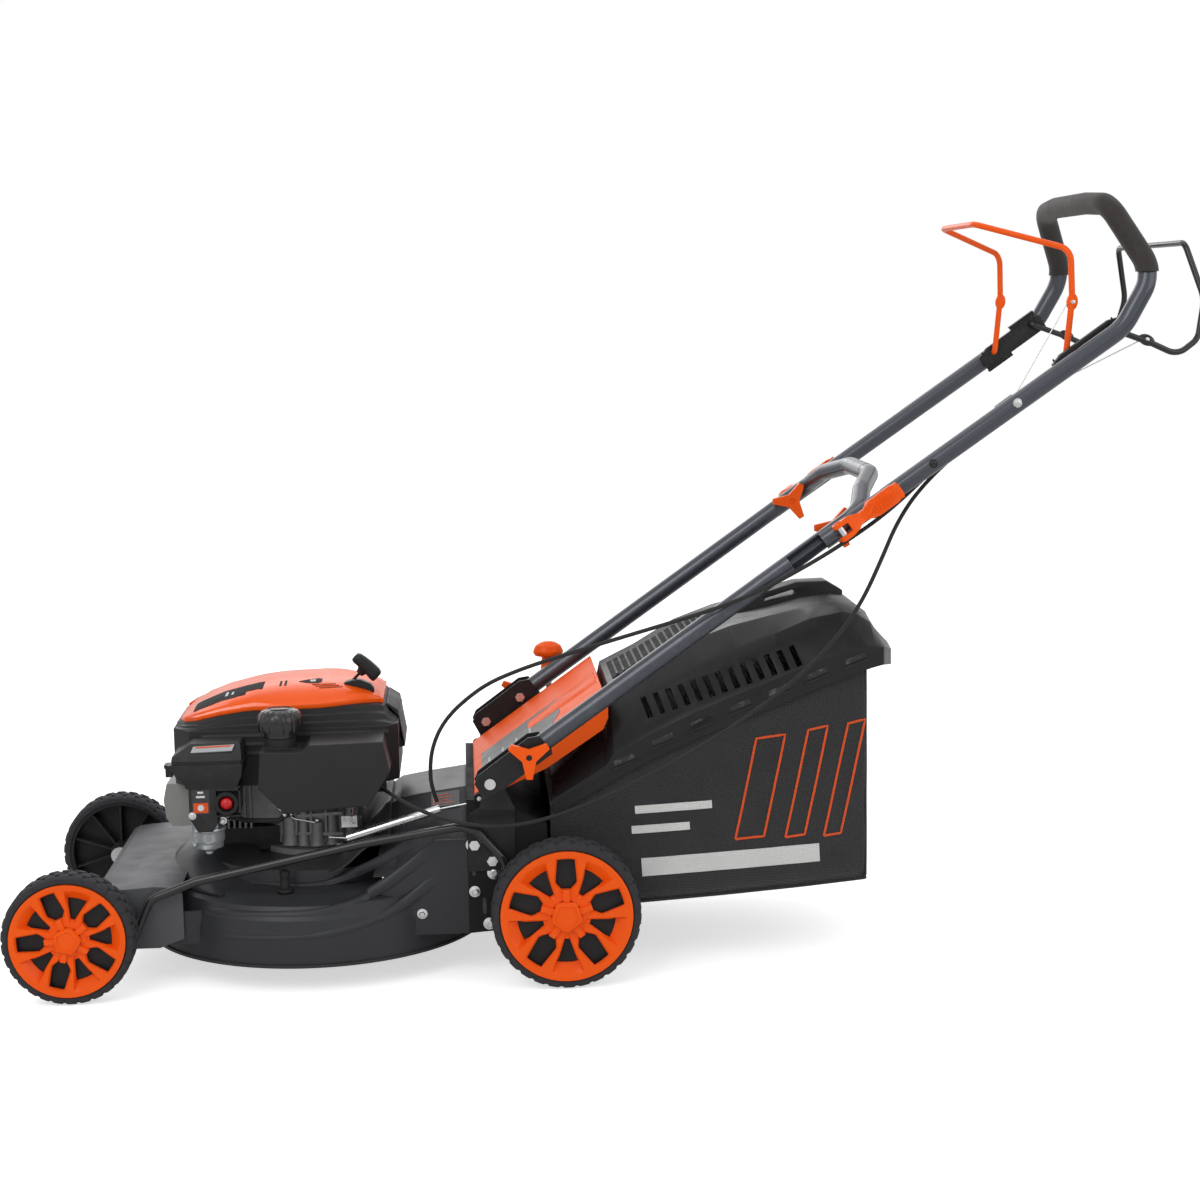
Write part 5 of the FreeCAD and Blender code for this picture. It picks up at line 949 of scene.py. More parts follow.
@dataclass
class Wheel:
    """One wheel: treaded tyre, orange spoked cover with its star cap, and ribs on the disc.

    Attributes:
        end: front or rear.
        side: left or right.
        axle: The axle's place, (x, z) in millimetres.
        radius: The tyre's radius.
        width: The tyre's width.
        inside: How far the inner face stands from the machine's middle.
        turn: How far the star is turned from upright, in degrees.
        bead: How far the tyre's seat lies inside its tread.
        pattern: The seat's radius that the cover's pattern is drawn for.
        steps: How many steps the tread takes round the tyre.
    """

    end: str
    side: str
    axle: Flat
    radius: float
    width: float
    inside: float
    turn: float
    bead: float = 11.5
    pattern: float = 90.0
    steps: int = 240

    @property
    def body(self) -> str:
        """The body that turns."""
        return f"{self.end}_{self.side}_wheel"

    @property
    def sign(self) -> int:
        """-1 on the left, 1 on the right."""
        return -1 if self.side == "left" else 1

    @property
    def seat(self) -> float:
        """The radius where the tyre sits on the disc."""
        return self.radius - self.bead

    @property
    def scale(self) -> float:
        """The size of the cover's pattern on this wheel."""
        return self.seat / self.pattern

    def spot(self, reach: float, degrees: float, out: float) -> Vector:
        """A place on the wheel.

        Args:
            reach: Millimetres from the axle.
            degrees: The angle from the rear, rising.
            out: Millimetres outward from the inner face.

        Returns:
            The place in metres.
        """
        angle = math.radians(degrees)
        return at(
            self.axle[0] + reach * math.cos(angle),
            self.sign * (self.inside + out),
            self.axle[1] + reach * math.sin(angle),
        )

    def tread(self, step: int) -> list[Flat]:
        """The tyre's cut at one step round it, as (radius, distance outward) pairs.

        Args:
            step: The count of steps from the start.

        Returns:
            The pairs, from the inner seat over the tread to the outer seat.
        """
        top, wide = self.radius, self.width
        # The pattern repeats every 16 steps and holds two blocks of 8, one with a longer foot.
        phase, deep = step % 16, 2.6
        gap = phase % 8 < 2
        middle_gap = (phase + 4) % 8 < 2
        foot = 4.0 if phase < 8 else 1.4
        zig = 2.2 * (1 - abs((step % 8) - 4) / 2)
        shoulder = 0.29 * wide + zig
        edge = [
            (self.seat, 3.2), (self.seat + 1.2, 1.1), (self.seat + 3.6, 0.5),
            (top - 3.0 - foot, 1.9 if gap else 0.7), (top - 3.4, 2.6 if gap else 1.0),
            (top - (deep if gap else 1.0), 4.2), (top - (deep if gap else 0.0), 7.2),
            (top - (deep if gap else 0.0), shoulder), (top - deep, shoulder + 0.9),
            (top - deep, shoulder + 2.9), (top - (deep if middle_gap else 0.0), shoulder + 3.8),
        ]
        return edge + [(r, wide - w) for r, w in reversed(edge)]

    def tyre(self) -> None:
        """The treaded tyre."""
        made = Form().wrap([
            [self.spot(r, 360 * i / self.steps, w) for r, w in self.tread(i)] for i in range(self.steps)
        ]).piece(f"{self.body}_tyre_tread", TYRE_RUBBER, self.body, 30)
        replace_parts(made, f"{self.end}_{self.side}_tyre")

    def lanes(self, reach: float) -> list[float]:
        """The angles in degrees, from a window's middle to a fork's middle, at one radius.

        Args:
            reach: The radius on the rear wheel's pattern.

        Returns:
            Nine rising angles: window middle, its edge, the arm, the fork's edge and the fork's middle.
        """
        def width_at(table: Sequence[Flat]) -> float:
            """Read a rising table of (radius, half-width)."""
            return between(table, reach)[0]

        window = width_at([(30, 5.0), (36, 6.0), (47, 14.5), (50, 14.6), (79, 12.0), (90, 12.0)])
        fork = width_at([(27, 1.2), (82, 20.0), (90, 21.0)])
        facet = width_at([(27, 1.4), (44, 2.6), (90, 2.8)])
        edge = math.degrees(window / reach)
        inner = 36 - math.degrees(fork / reach)
        chamfer = math.degrees(facet / reach)
        arm = (edge + chamfer, inner - chamfer)
        if arm[0] > arm[1] - 0.4:
            middle = (edge + inner) / 2
            arm = (middle - 0.2, middle + 0.2)
        return [0.0, edge / 2, edge, arm[0], sum(arm) / 2, arm[1], inner, (inner + 36) / 2, 36.0]

    @staticmethod
    def sunk(reach: float, lane: int, rise: float) -> float:
        """The height of the cover's face, sunk in its windows and sloping in its forks.

        Args:
            reach: The radius on the pattern.
            lane: The count of lanes from a wide window's middle.
            rise: The face's height at that radius.

        Returns:
            The height in millimetres.
        """
        if lane >= 6 and 66 < reach < 81:
            return blend_between(-11.5, 0.2, (reach - 67) / 14)
        if (lane <= 2 and 34 < reach < 80) or (lane >= 6 and 29 < reach < 66):
            return rise - 2.8
        return rise

    def cover(self) -> None:
        """The spoked cover: a flat rim, five forked arms, five wide and five narrow windows."""
        face = [
            (21, -5.0), (26, -5.8), (30, -5.6), (33, -5.2), (36, -4.7), (40, -4.0), (44, -3.3), (48, -2.7),
            (54, -1.9), (60, -1.2), (67, -0.6), (73, -0.2), (79, 0.2), (81.5, 0.6), (84.5, 1.0), (86, 1.5),
            (89.7, 1.5),
        ]
        form, rows = Form(), []
        for reach, rise in face:
            half = self.lanes(reach)
            lanes = [(i, -half[i]) for i in range(8, 0, -1)] + [(i, half[i]) for i in range(8)]
            rows.append([
                (form.mesh.verts.new(self.spot(
                    reach * self.scale, 90 + self.turn + 72 * k + degrees,
                    self.width + self.sunk(reach, lane, rise))), lane)
                for k in range(5) for lane, degrees in lanes
            ])
        for (near, low), (far, high) in zip(zip(face, rows), zip(face[1:], rows[1:])):
            for i in range(len(low)):
                j = (i + 1) % len(low)
                lane = max(low[i][1], low[j][1])
                window = lane <= 2 and near[0] >= 36 and far[0] <= 79
                fork = lane >= 7 and near[0] >= 33 and far[0] <= 67
                if not (window or fork):
                    form.mesh.faces.new((low[i][0], low[j][0], high[j][0], high[i][0]))
        grown = bmesh.ops.extrude_edge_only(form.mesh, edges=form.rims)["geom"]
        for vert in (item for item in grown if isinstance(item, bmesh.types.BMVert)):
            vert.co.y -= self.sign * 5.0 * MM
        bmesh.ops.recalc_face_normals(form.mesh, faces=form.mesh.faces)
        bmesh.ops.solidify(form.mesh, geom=form.mesh.faces[:], thickness=1.8 * MM)
        self.star(form)
        made = form.piece(f"{self.body}_spoked_cover", COVER_ORANGE, self.body, 32)
        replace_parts(made, f"{self.end}_{self.side}_wheel_cover")

    def stack(self, form: Form, points: Sequence[Flat], levels: Sequence[Flat]) -> None:
        """Loft one outline through several sizes and heights.

        Args:
            form: The mesh that takes it.
            points: The outline, as (radius on the pattern, degrees) pairs.
            levels: The (size, distance outward from the outer face) pairs.
        """
        form.loft([
            [self.spot((r * grow) * self.scale, degrees, self.width + out) for r, degrees in points]
            for grow, out in levels
        ])

    def star(self, form: Form) -> None:
        """The star cap: five short arms under a five-sided boss with a sunk middle."""
        outline, corners = [], []
        for k in range(5):
            base = 90 + self.turn + 72 * k
            for reach, half in ((18, -4.5), (36, -4.2), (36, 4.2), (18, 4.5)):
                outline.append((math.hypot(reach, half), base + math.degrees(math.atan2(half, reach))))
            outline.append((20.5, base + 36))
            corners += [(22.0, 90 + self.turn + 36 + 72 * k + lean) for lean in (-6, 6)]
        self.stack(form, outline, ((1.0, -8), (1.0, -2.4), (0.97, -1.6)))
        self.stack(form, corners, ((1.0, -4), (1.0, 1.4), (0.93, 3.3), (0.76, 4.2), (0.72, 2.6), (0.4, 2.9)))

    def ribs(self) -> None:
        """Ribs on the side of the disc that faces the deck."""
        form = Form()
        web = self.width - 17.6
        for k in range(10):
            middle, rings = 36 * k + 18, []
            for reach, foot in ((15.0, 5.0), (self.seat - 5.5, 7.0)):
                half = math.degrees(1.3 / reach)
                rings.append([
                    self.spot(reach, middle + lean, out)
                    for lean, out in ((-half, foot), (half, foot), (half, web), (-half, web))
                ])
            form.loft(rings)
        form.piece(f"{self.body}_ribs", BLACK_SATIN, self.body)

    def build(self) -> None:
        """Make the whole wheel."""
        self.tyre()
        self.cover()
        self.ribs()
        dress(BLACK_SATIN, f"{self.end}_{self.side}_wheel_disc")


def between(table: Sequence[Sequence[float]], x: float) -> list[float]:
    """Read a table whose first column rises, at any place along it.

    Args:
        table: Rows of numbers.
        x: The place.

    Returns:
        The other columns there.
    """
    if x <= table[0][0]:
        return list(table[0][1:])
    for low, high in zip(table, table[1:]):
        if x <= high[0]:
            share = (x - low[0]) / (high[0] - low[0])
            return [blend_between(a, b, share) for a, b in zip(low[1:], high[1:])]
    return list(table[-1][1:])


def steps(low: float, high: float, count: int) -> list[float]:
    """Evenly spaced numbers from low to high."""
    return [blend_between(low, high, i / (count - 1)) for i in range(count)]


def refined(places: Sequence[float]) -> list[float]:
    """The places, with the middle of each gap between them."""
    return sorted({x for a, b in zip(places, places[1:]) for x in steps(a, b, 3)})


def ridge(
    form: Form, path: Sequence[Vector], outward: Callable[[Vector], Vector], width: float, height: float
) -> None:
    """A long low swelling along a path, fading out at both ends.

    Args:
        form: The mesh that takes it.
        path: Its line on the surface, in metres.
        outward: Which way the surface faces at a place.
        width: Its width in metres.
        height: Its height in metres.
    """
    rings = []
    for i, point in enumerate(path):
        ahead = (path[min(i + 1, len(path) - 1)] - path[max(i - 1, 0)]).normalized()
        normal = outward(point).normalized()
        across = ahead.cross(normal).normalized()
        from_end = min(i, len(path) - 1 - i) / (0.22 * len(path))
        fade = math.sin(math.pi * min(1.0, max(0.02, from_end)) / 2)
        rings.append([
            point + across * (a * width / 2) + normal * (b * height * fade)
            for a, b in ((-1.0, -1.2), (-0.85, 0.05), (-0.5, 0.55), (-0.12, 0.97), (0.12, 1.0),
                         (0.5, 0.35), (0.85, 0.05), (1.0, -1.2))
        ])
    form.loft(rings)


@dataclass(frozen=True)
class Flat3:
    """A flat place on the machine to lay trim on.

    Attributes:
        origin: Its corner.
        right: Its first direction.
        up: Its second direction.
    """

    origin: Vector
    right: Vector
    up: Vector

    @property
    def out(self) -> Vector:
        """The way that it faces."""
        return self.right.cross(self.up).normalized()

    def spot(self, a: float, b: float, lift: float = 0.0) -> Vector:
        """A place in millimetres along both directions, and off the surface."""
        return self.origin + (self.right.normalized() * a + self.up.normalized() * b + self.out * lift) * MM

    def plate(self, form: Form, corners: Sequence[Flat], low: float, high: float) -> None:
        """A thin plate with the given corners, from one height to another."""
        form.loft([[self.spot(a, b, h) for a, b in corners] for h in (low, high)])


def bar(a: float, b: float, width: float, height: float, lean: float = 0.0) -> list[Flat]:
    """The corners of a leaning rectangle, from its lower left one."""
    return [(a, b), (a + width, b), (a + width + lean, b + height), (a + lean, b + height)]


def half_of(name: str, place: Vector, normal: Vector) -> Form:
    """The part of a CAD node's skin that lies on one side of a plane, closed again.

    Args:
        name: The CAD node.
        place: A point of the plane.
        normal: The side that is kept.

    Returns:
        The form.
    """
    form = Form().cad(name)
    return form.close(form.slice(place, normal, drop=True))


@dataclass
class Deck:
    """The stamped deck with its swept creases, the grey apron, the rear frame and their fastenings.

    Attributes:
        shaft: Where the blade shaft stands along the machine, in millimetres.
        side: How far the tunnel's flat side stands from the middle.
    """

    shaft: float = -349.0
    side: float = 192.0

    def outward(self, point: Vector) -> Vector:
        """Which way the deck's skin faces near a place on its left side."""
        x, z = point.x / MM - AXLE_X, point.z / MM
        if x > -268:
            return Vector((-0.15, -1, 0))
        away = Vector((x - self.shaft, point.y / MM, 0)).normalized()
        slopes = ((0, 0), (80, 0.0), (100, 0.5), (117, 1.2), (127, 2.2), (136, 0.9), (150, 0.3), (200, 0.2))
        return away + UP * between(slopes, z)[0]

    def creases(self) -> None:
        """The creases that sweep from the apron up to the tunnel, on both sides."""
        form = Form()
        for width, height, route in (
            (17, 3.4, [
                (-516, -162, 107), (-478, -194, 106), (-442, -213, 106), (-387, -228, 108), (-337, -230, 109),
                (-300, -220, 116), (-273, -201, 121), (-225, -192, 148), (-176, -192, 184)]),
            (15, 3.0, [
                (-508, -180, 77), (-478, -202, 75), (-442, -221, 75), (-387, -237, 77), (-325, -239, 79),
                (-286, -231, 87), (-249, -216, 95), (-210, -194, 115), (-172, -192, 143)]),
            (14, 3.2, [
                (-434, -139, 134), (-392, -161, 131), (-350, -169, 130), (-309, -158, 136),
                (-252, -192, 166), (-213, -192, 190)]),
        ):
            ridge(form, spline_points([at(*p) for p in route]), self.outward, width * MM, height * MM)
        form.also_mirrored().piece("deck_creases", DECK_ENAMEL, "chassis", 50)

    def fastenings(self) -> None:
        """Washers, screws and slots where the tunnel's sides meet the rear frame."""
        bolts, slots = Form(), Form()
        for x, z, size in (
            (-125, 187, 5.2), (-96, 147, 5.6), (-123, 121, 4.6), (-104, 75, 5.0), (-196, 92, 4.2),
        ):
            seat = at(x, -self.side - 0.2, z)
            bolts.bolt(seat, Vector((0, -1, 0)), size * MM, 4.4 * MM, 1.7 * size * MM)
        radius, straight = 2.6, 9
        for x, z in ((-123.5, 155), (-110, 100)):
            slots.prism([
                at(x + radius * math.cos(angle), -self.side - 0.9,
                   z + radius * math.sin(angle) + (straight if math.sin(angle) > 0 else -straight))
                for angle in round_the_turn(20)
            ], Vector((0, 0.0012, 0)))
        bolts.also_mirrored().piece("deck_screws", ZINC, "chassis", 40)
        slots.also_mirrored().piece("deck_slots", BLACK_GLOSS, "chassis")

    def tunnel(self) -> None:
        """The tunnel's pressing, its roof drawn in to a crown whose sides slope down to the flat sides."""
        def crowned(place: Vector) -> Vector:
            """Draw the roof's corners in and down, and the walls' feet out.

            Args:
                place: A point of the plain tunnel.

            Returns:
                The point on the crowned tunnel.
            """
            x, z, wide = place.x / MM - AXLE_X, place.z / MM, abs(place.y) / MM
            if not (-264 < x < -131 and 146 < wide < 150.6 and z > 124):
                return place
            foot = between([(-262, 127), (-210, 161), (-176, 195), (-131, 195)], x)[0]
            roof = z > foot + 4 and z > 156
            inward, drop = (-78.0, 16.5) if roof else (40.0, 0.0)
            side = math.copysign((wide + inward) * MM, place.y)
            return Vector((place.x, side, place.z - drop * MM))

        tunnel = Form().cad("deck_tunnel").each(crowned).soften(3.0 * MM, 3, 14.0)
        made = tunnel.piece("deck_tunnel_pressing", DECK_ENAMEL, "chassis", 45)
        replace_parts(made, "deck_tunnel")

    def brow(self) -> None:
        """The pressing that rises from the deck to the tunnel's roof, cut back round the turret."""
        front, back, clear = -322.0, -239, 92.0
        rise = ((0, 0), (0.16, 0.1), (0.34, 0.34), (0.52, 0.63), (0.7, 0.86), (0.87, 0.98), (1.0, 1.0))
        rings = []
        for y in steps(-168, 168, 29):
            turret = self.shaft + math.sqrt(clear ** 2 - min(abs(y), clear) ** 2)
            foot = front if abs(y) >= clear else max(front, turret)
            tall = 74.0 * (1.0 - 0.36 * max(0.0, (abs(y) - 72) / 96))
            skin = [(blend_between(foot, back, a), 148.5 + tall * b) for a, b in rise]
            skin += [(x + 1.5, z - 2.5) for x, z in reversed(skin)]
            rings.append([at(x, y, z) for x, z in skin])
        Form().loft(rings).piece("deck_brow", DECK_ENAMEL, "chassis", 50)

    def front(self) -> None:
        """The front apron with its top let down, and the crown of the deck that rises out of it."""
        brim = 132 * MM

        def let_down(place: Vector) -> Vector:
            """Lower what stands over the brim.

            Args:
                place: A point of the apron.

            Returns:
                The point, lowered.
            """
            return Vector((place.x, place.y, min(place.z, brim + 0.3 * (place.z - brim))))

        apron = Form().cad("front_apron").each(let_down).soften(2.0 * MM, 3)
        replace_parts(apron.piece("front_apron_moulding", APRON_GREY, "chassis"), "front_apron")
        rings, count, thick = [], 28, 3
        profile = ((216, 126), (210, 137), (200, 146), (184, 153), (160, 160), (128, 166), (100, 168))
        for k in range(count + 1):
            turn = math.radians(blend_between(126, 236, k / count))
            share = math.sin(math.pi * k / count) ** 0.5
            skin = [(radius, blend_between(124, height, share)) for radius, height in profile]
            rings.append([
                at(self.shaft + radius * math.cos(turn), radius * math.sin(turn), z)
                for radius, z in skin + [(radius, z - thick) for radius, z in reversed(skin)]
            ])
        Form().loft(rings).piece("deck_crown", DECK_ENAMEL, "chassis", 50)

    def label(self) -> None:
        """A plain dark panel with thin orange lines, on the near slope of the tunnel's roof."""
        slope = Flat3(at(-181, -118, 222.6), Vector((40, 0, 4.0)), Vector((0, 46, 17.6)))
        panel, lines = Form(), Form()
        slope.plate(panel, bar(0, 0, 40, 36), -0.6, 0.6)
        slope.plate(lines, bar(3, 3, 1.3, 30), 0.4, 0.9)
        for i in range(4):
            slope.plate(lines, bar(8, 7 + 7 * i, 16 if i % 2 else 24, 1.2), 0.4, 0.9)
        panel.piece("deck_panel", DECAL_DARK, "chassis")
        lines.piece("deck_panel_lines", PRINT_ORANGE, "chassis")

    def build(self) -> None:
        """Make the whole deck."""
        dress(DECK_ENAMEL, "deck_shell")
        self.tunnel()
        self.brow()
        self.creases()
        self.fastenings()
        self.label()
        self.front()
        # Painted shade: the rear frame takes the darker, duller black so that its face behind the tunnel's
        # roof reads as shaded.
        softened("rear_frame", DULL_BLACK_AND_PAINTED_SHADE, "chassis", 1.2 * MM)
        dress(BLACK_SATIN, "handle_brackets", "wash_port")
        dress(ZINC, "chassis_bolts", "front_axle", "rear_axle", "height_lever")
        dress(BLACK_GLOSS, "link_rod")
        dress(CAST_ALLOY, "gearbox")
        dress(BLADE_STEEL, "blade", "crankshaft", "gearbox_pulley")
        dress(BELT_RUBBER, "drive_belt")


@dataclass
class Cover:
    """The glossy orange dome over the fan, its dark strip and its slots, with painted shade in its slot
    lanes.

    Attributes:
        middle: The y of its centre line, in millimetres.
        stations: Rows of x, near edge y, foot z, crease z, how far in the crease lies, top z.
        skin: Half the thickness of a patch laid on the dome.
        raised: How far a print stands over the patch under it, in metres.
    """

    middle: float = 26.0
    stations: Sequence[Sequence[float]] = (
        (-535.5, -24, 340, 342, 3, 343.5), (-526, -56, 343, 348, 8, 351),
        (-505, -80, 348.5, 357, 12, 362.5), (-474, -84, 356, 365.5, 14, 375),
        (-440, -86, 361.5, 371, 15, 383.5), (-424, -87, 363, 373, 15, 387),
        (-404, -88, 362.5, 372, 10, 389.5), (-387, -88, 362, 372.5, 9, 391),
        (-334, -89, 364, 375, 9, 392.5), (-316, -89, 365.5, 376.5, 10, 391.5),
        (-304, -85, 366, 378, 14, 390.5), (-284, -75, 365.5, 377.5, 14, 386.5),
        (-266, -62, 364, 375, 10, 380), (-252, -50, 362, 370, 6, 372.5), (-246.3, -46, 361, 365, 3, 366.5),
    )
    skin: float = 0.5
    raised: float = 0.0004

    def section(self, x: float) -> list[Vector]:
        """The near half of the dome's outline at one place along it, from the foot to the middle.

        Args:
            x: Millimetres from the rear axle.

        Returns:
            Its points.
        """
        edge, foot, crease, tuck, top = between(self.stations, x)
        room = self.middle - (edge + tuck)
        return [
            at(x, edge + 0.8, foot), at(x, edge, foot + 3), at(x, edge + 0.5, foot + 6),
            at(x, edge + tuck - 1.2, crease - 1.2), at(x, edge + tuck + 1.4, crease + 0.8),
            at(x, edge + tuck + 0.17 * room, blend_between(crease, top, 0.52)),
            at(x, edge + tuck + 0.36 * room, blend_between(crease, top, 0.84)),
            at(x, edge + tuck + 0.6 * room, blend_between(crease, top, 0.97)), at(x, self.middle, top),
        ]

    def on(self, x: float, lane: float, lift: float) -> Vector:
        """A place on the dome.

        Args:
            x: Millimetres from the rear axle.
            lane: The place across it, counted in the section's points.
            lift: Millimetres off the surface.

        Returns:
            The place.
        """
        points = self.section(x)
        low = min(int(lane), len(points) - 2)
        across = points[low + 1] - points[low]
        ahead = self.section(x + 3)[low] - self.section(x - 3)[low]
        normal = ahead.cross(across).normalized()
        if normal.z < 0:
            normal = -normal
        return points[low] + across * (lane - low) + normal * lift * MM

    def patch(self, form: Form, rows: Sequence[tuple[float, float, float]], count: int = 5) -> None:
        """A thin patch that follows the dome.

        Args:
            form: The mesh that takes it.
            rows: x, and the lanes where the patch begins and ends there.
            count: How many points lie across it.
        """
        rings = []
        for x, low, high in rows:
            top = [self.on(x, lane, self.skin) for lane in steps(low, high, count)]
            under = [self.on(x, lane, -self.skin) for lane in steps(high, low, count)]
            rings.append(top + under)
        form.loft(rings)

    def build(self) -> None:
        """Make the dome and what is on it."""
        rings = []
        for x in refined([row[0] for row in self.stations]):
            near = self.section(x)
            far = [Vector((p.x, 2 * self.middle * MM - p.y, p.z)) for p in reversed(near[:-1])]
            rings.append(near + far)
        made = Form().loft(rings).piece("top_cover_dome", COVER_ORANGE, "chassis", 20)
        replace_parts(made, "top_cover")
        strip, bars, slots, lines, mark = Form(), Form(), Form(), Form(), Form()
        self.patch(strip, [(x, blend_between(4.9, 5.4, (x + 514) / 84), 7.4) for x in steps(-514, -440, 10)])
        self.patch(strip, [(x, 5.9, 7.4) for x in steps(-440, -416, 4)])
        self.patch(bars, [(x, 5.9, 6.9) for x in (-470, -466)])
        self.patch(bars, [(x, 5.9, 6.6) for x in (-461, -458)])
        for x in (-393, -386):
            self.patch(slots, [(x, 6.1, 7.1), (x + 3, 6.1, 7.1)])
        self.patch(slots, [(-366, 6.75, 6.85), (-352, 6.35, 7.1), (-338, 6.25, 7.2), (-333, 6.5, 7.1)], 3)
        self.patch(mark, [(-350, 6.6, 6.95), (-342, 6.55, 6.95)], 3)
        # Painted shade: thin darker orange lines on the dome that stand in for the shade in its recessed slot
        # lanes.
        for lane, first in ((5.35, -336), (5.65, -341), (5.95, -346)):
            self.patch(lines, [(x, lane, lane + 0.12) for x in steps(first, first + 33, 5)], 2)
        for form in (bars, mark):
            form.each(lambda v: v + UP * self.raised)
        for form, name, finish in (
            (strip, "cover_strip", DULL_BLACK_AND_PAINTED_SHADE), (bars, "cover_strip_bars", DECAL_PALE),
            (lines, "cover_painted_slot_shade", PAINTED_SLOT_SHADE), (mark, "cover_mark", DECAL_PALE),
            (slots, "cover_slots", DULL_BLACK_AND_PAINTED_SHADE),
        ):
            form.piece(name, finish, "chassis", 60)


@dataclass
class Engine:
    """Everything above the deck that burns petrol, apart from the dome.

    Attributes:
        near: The y of the shroud's near face, in millimetres.
        skirt: The height over which the shroud's back is let down.
        shaft: Where the crankshaft stands.
        ring: How far the crankcase's bosses stand from the shaft, in metres.
        bowl: Where the carburettor's bowl stands.
    """

    near: float = -97.0
    skirt: float = 341.0
    shaft: Vector = field(default_factory=lambda: at(-349, 0, 0))
    ring: float = 0.0615
    bowl: Vector = field(default_factory=lambda: at(-490, -125, 0))

    def shroud(self) -> None:
        """The black shroud, its stepped shoulder that rises to the dome, and the lowered skirt behind."""
        def lowered(place: Vector) -> Vector:
            """Halve what stands over the skirt's line behind the dome.

            Args:
                place: A point of the housing.

            Returns:
                The point, lowered.
            """
            x, z = place.x / MM - AXLE_X, place.z / MM
            if x > -247 and z > self.skirt:
                return Vector((place.x, place.y, (self.skirt + (z - self.skirt) * 0.5) * MM))
            return place

        housing = Form().cad("blower_housing").each(lowered).soften(2.0 * MM, 3)
        made = housing.piece("blower_housing_moulding", BLACK_MOULDED, "chassis")
        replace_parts(made, "blower_housing")
        table = (
            (-539, -69, 117, -22, 339.6), (-526, -84, 131, -54, 343.4), (-505, -96.6, 149.6, -79, 349),
            (-474, -96.6, 149.6, -83, 356.5), (-440, -96.6, 149.6, -85, 362),
            (-404, -96.6, 149.6, -87, 363), (-334, -96.6, 149.6, -88, 364.5),
            (-304, -96.6, 149.6, -84, 366.5), (-284, -96.6, 149.6, -74, 366),
            (-266, -96.6, 149.4, -61, 364.5), (-252, -96.4, 134, -49, 362.5), (-244, -96.0, 120, -43, 359),
            (-238, -93, 113, -40, 350), (-228, -82, 99, -40, 341),
        )
        stages = ((0, 0), (0.28, 0.05), (0.36, 0.3), (0.62, 0.38), (0.7, 0.64), (0.94, 0.72), (1, 1))
        rings, gap = [], 1.5
        for x in refined([row[0] for row in table]):
            near, far, edge, foot = between(table, x)
            edges = (edge + gap, 2 * Cover.middle - edge - gap)
            left, right = (
                [at(x, blend_between(side, inner, b), blend_between(336, foot + 0.6, a)) for a, b in stages]
                for side, inner in zip((near, far), edges)
            )
            rings.append(left + right[::-1])
        Form().loft(rings).piece("shroud_shoulder", BLACK_MOULDED, "chassis", 32)
        face = Flat3(at(-500, self.near, 260), Vector((1, 0, 0)), UP)
        ledges = Form()
        for low, left, right in ((66, 2, 262), (54, 0, 96), (41, 2, 92)):
            ledges.loft([
                [face.spot(end, low + b, lift) for b, lift in ((0, -1), (1, 1.8), (4, 1.4), (7, -1))]
                for end in (left, right)
            ])
        ledges.soften(0.7 * MM).piece("shroud_steps", BLACK_MOULDED, "chassis")

    def tank(self) -> None:
        """The tank and its ribbed cap."""
        softened("fuel_tank", BLACK_MOULDED, "chassis", 3.5 * MM, 3)
        x, y, form = -385, -135, Form()
        profile = (
            (20.0, 0, 341.0), (26.4, 1, 341.4), (28.0, 1, 347), (28.2, 1, 357), (27.0, 0.7, 364),
            (23.5, 0, 369.2), (17, 0, 371.6), (15.5, 0, 370.2), (8, 0, 370.4), (0.6, 0, 370.5),
        )
        rows = []
        for i, angle in enumerate(round_the_turn(96)):
            rib = 1.2 if i % 6 < 4 else 0.0
            out = spoke(angle)
            rows.append([
                at(x, y, 0) + out * (r + rib * share) * MM + Vector((0, 0, z * MM)) for r, share, z in profile
            ])
        form.wrap(rows)
        form.loft([
            [at(x + 1.7 * r * math.cos(turn), y + r * math.sin(turn), z) for turn in round_the_turn(8, 0.4)]
            for r, z in ((7.5, 369.5), (7.5, 371.2), (6.2, 371.9))
        ])
        form.lathe(at(x, y, 334.2), UP, [
            (0, 0), (0.0205, 0), (0.0212, 0.0012), (0.0212, 0.0072), (0, 0.0072)], 48)
        place, wider, neck = at(x, y, 0), Matrix.Diagonal((1.07, 1.07, 1.0)), 0.3405
        form.each(lambda v: place + wider @ (v - place) + Vector((0, 0, 0.002 if v.z > neck else 0)))
        made = form.piece("fuel_cap_ribbed", BLACK_GLOSS, "fuel_cap", 30)
        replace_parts(made, "fuel_cap")

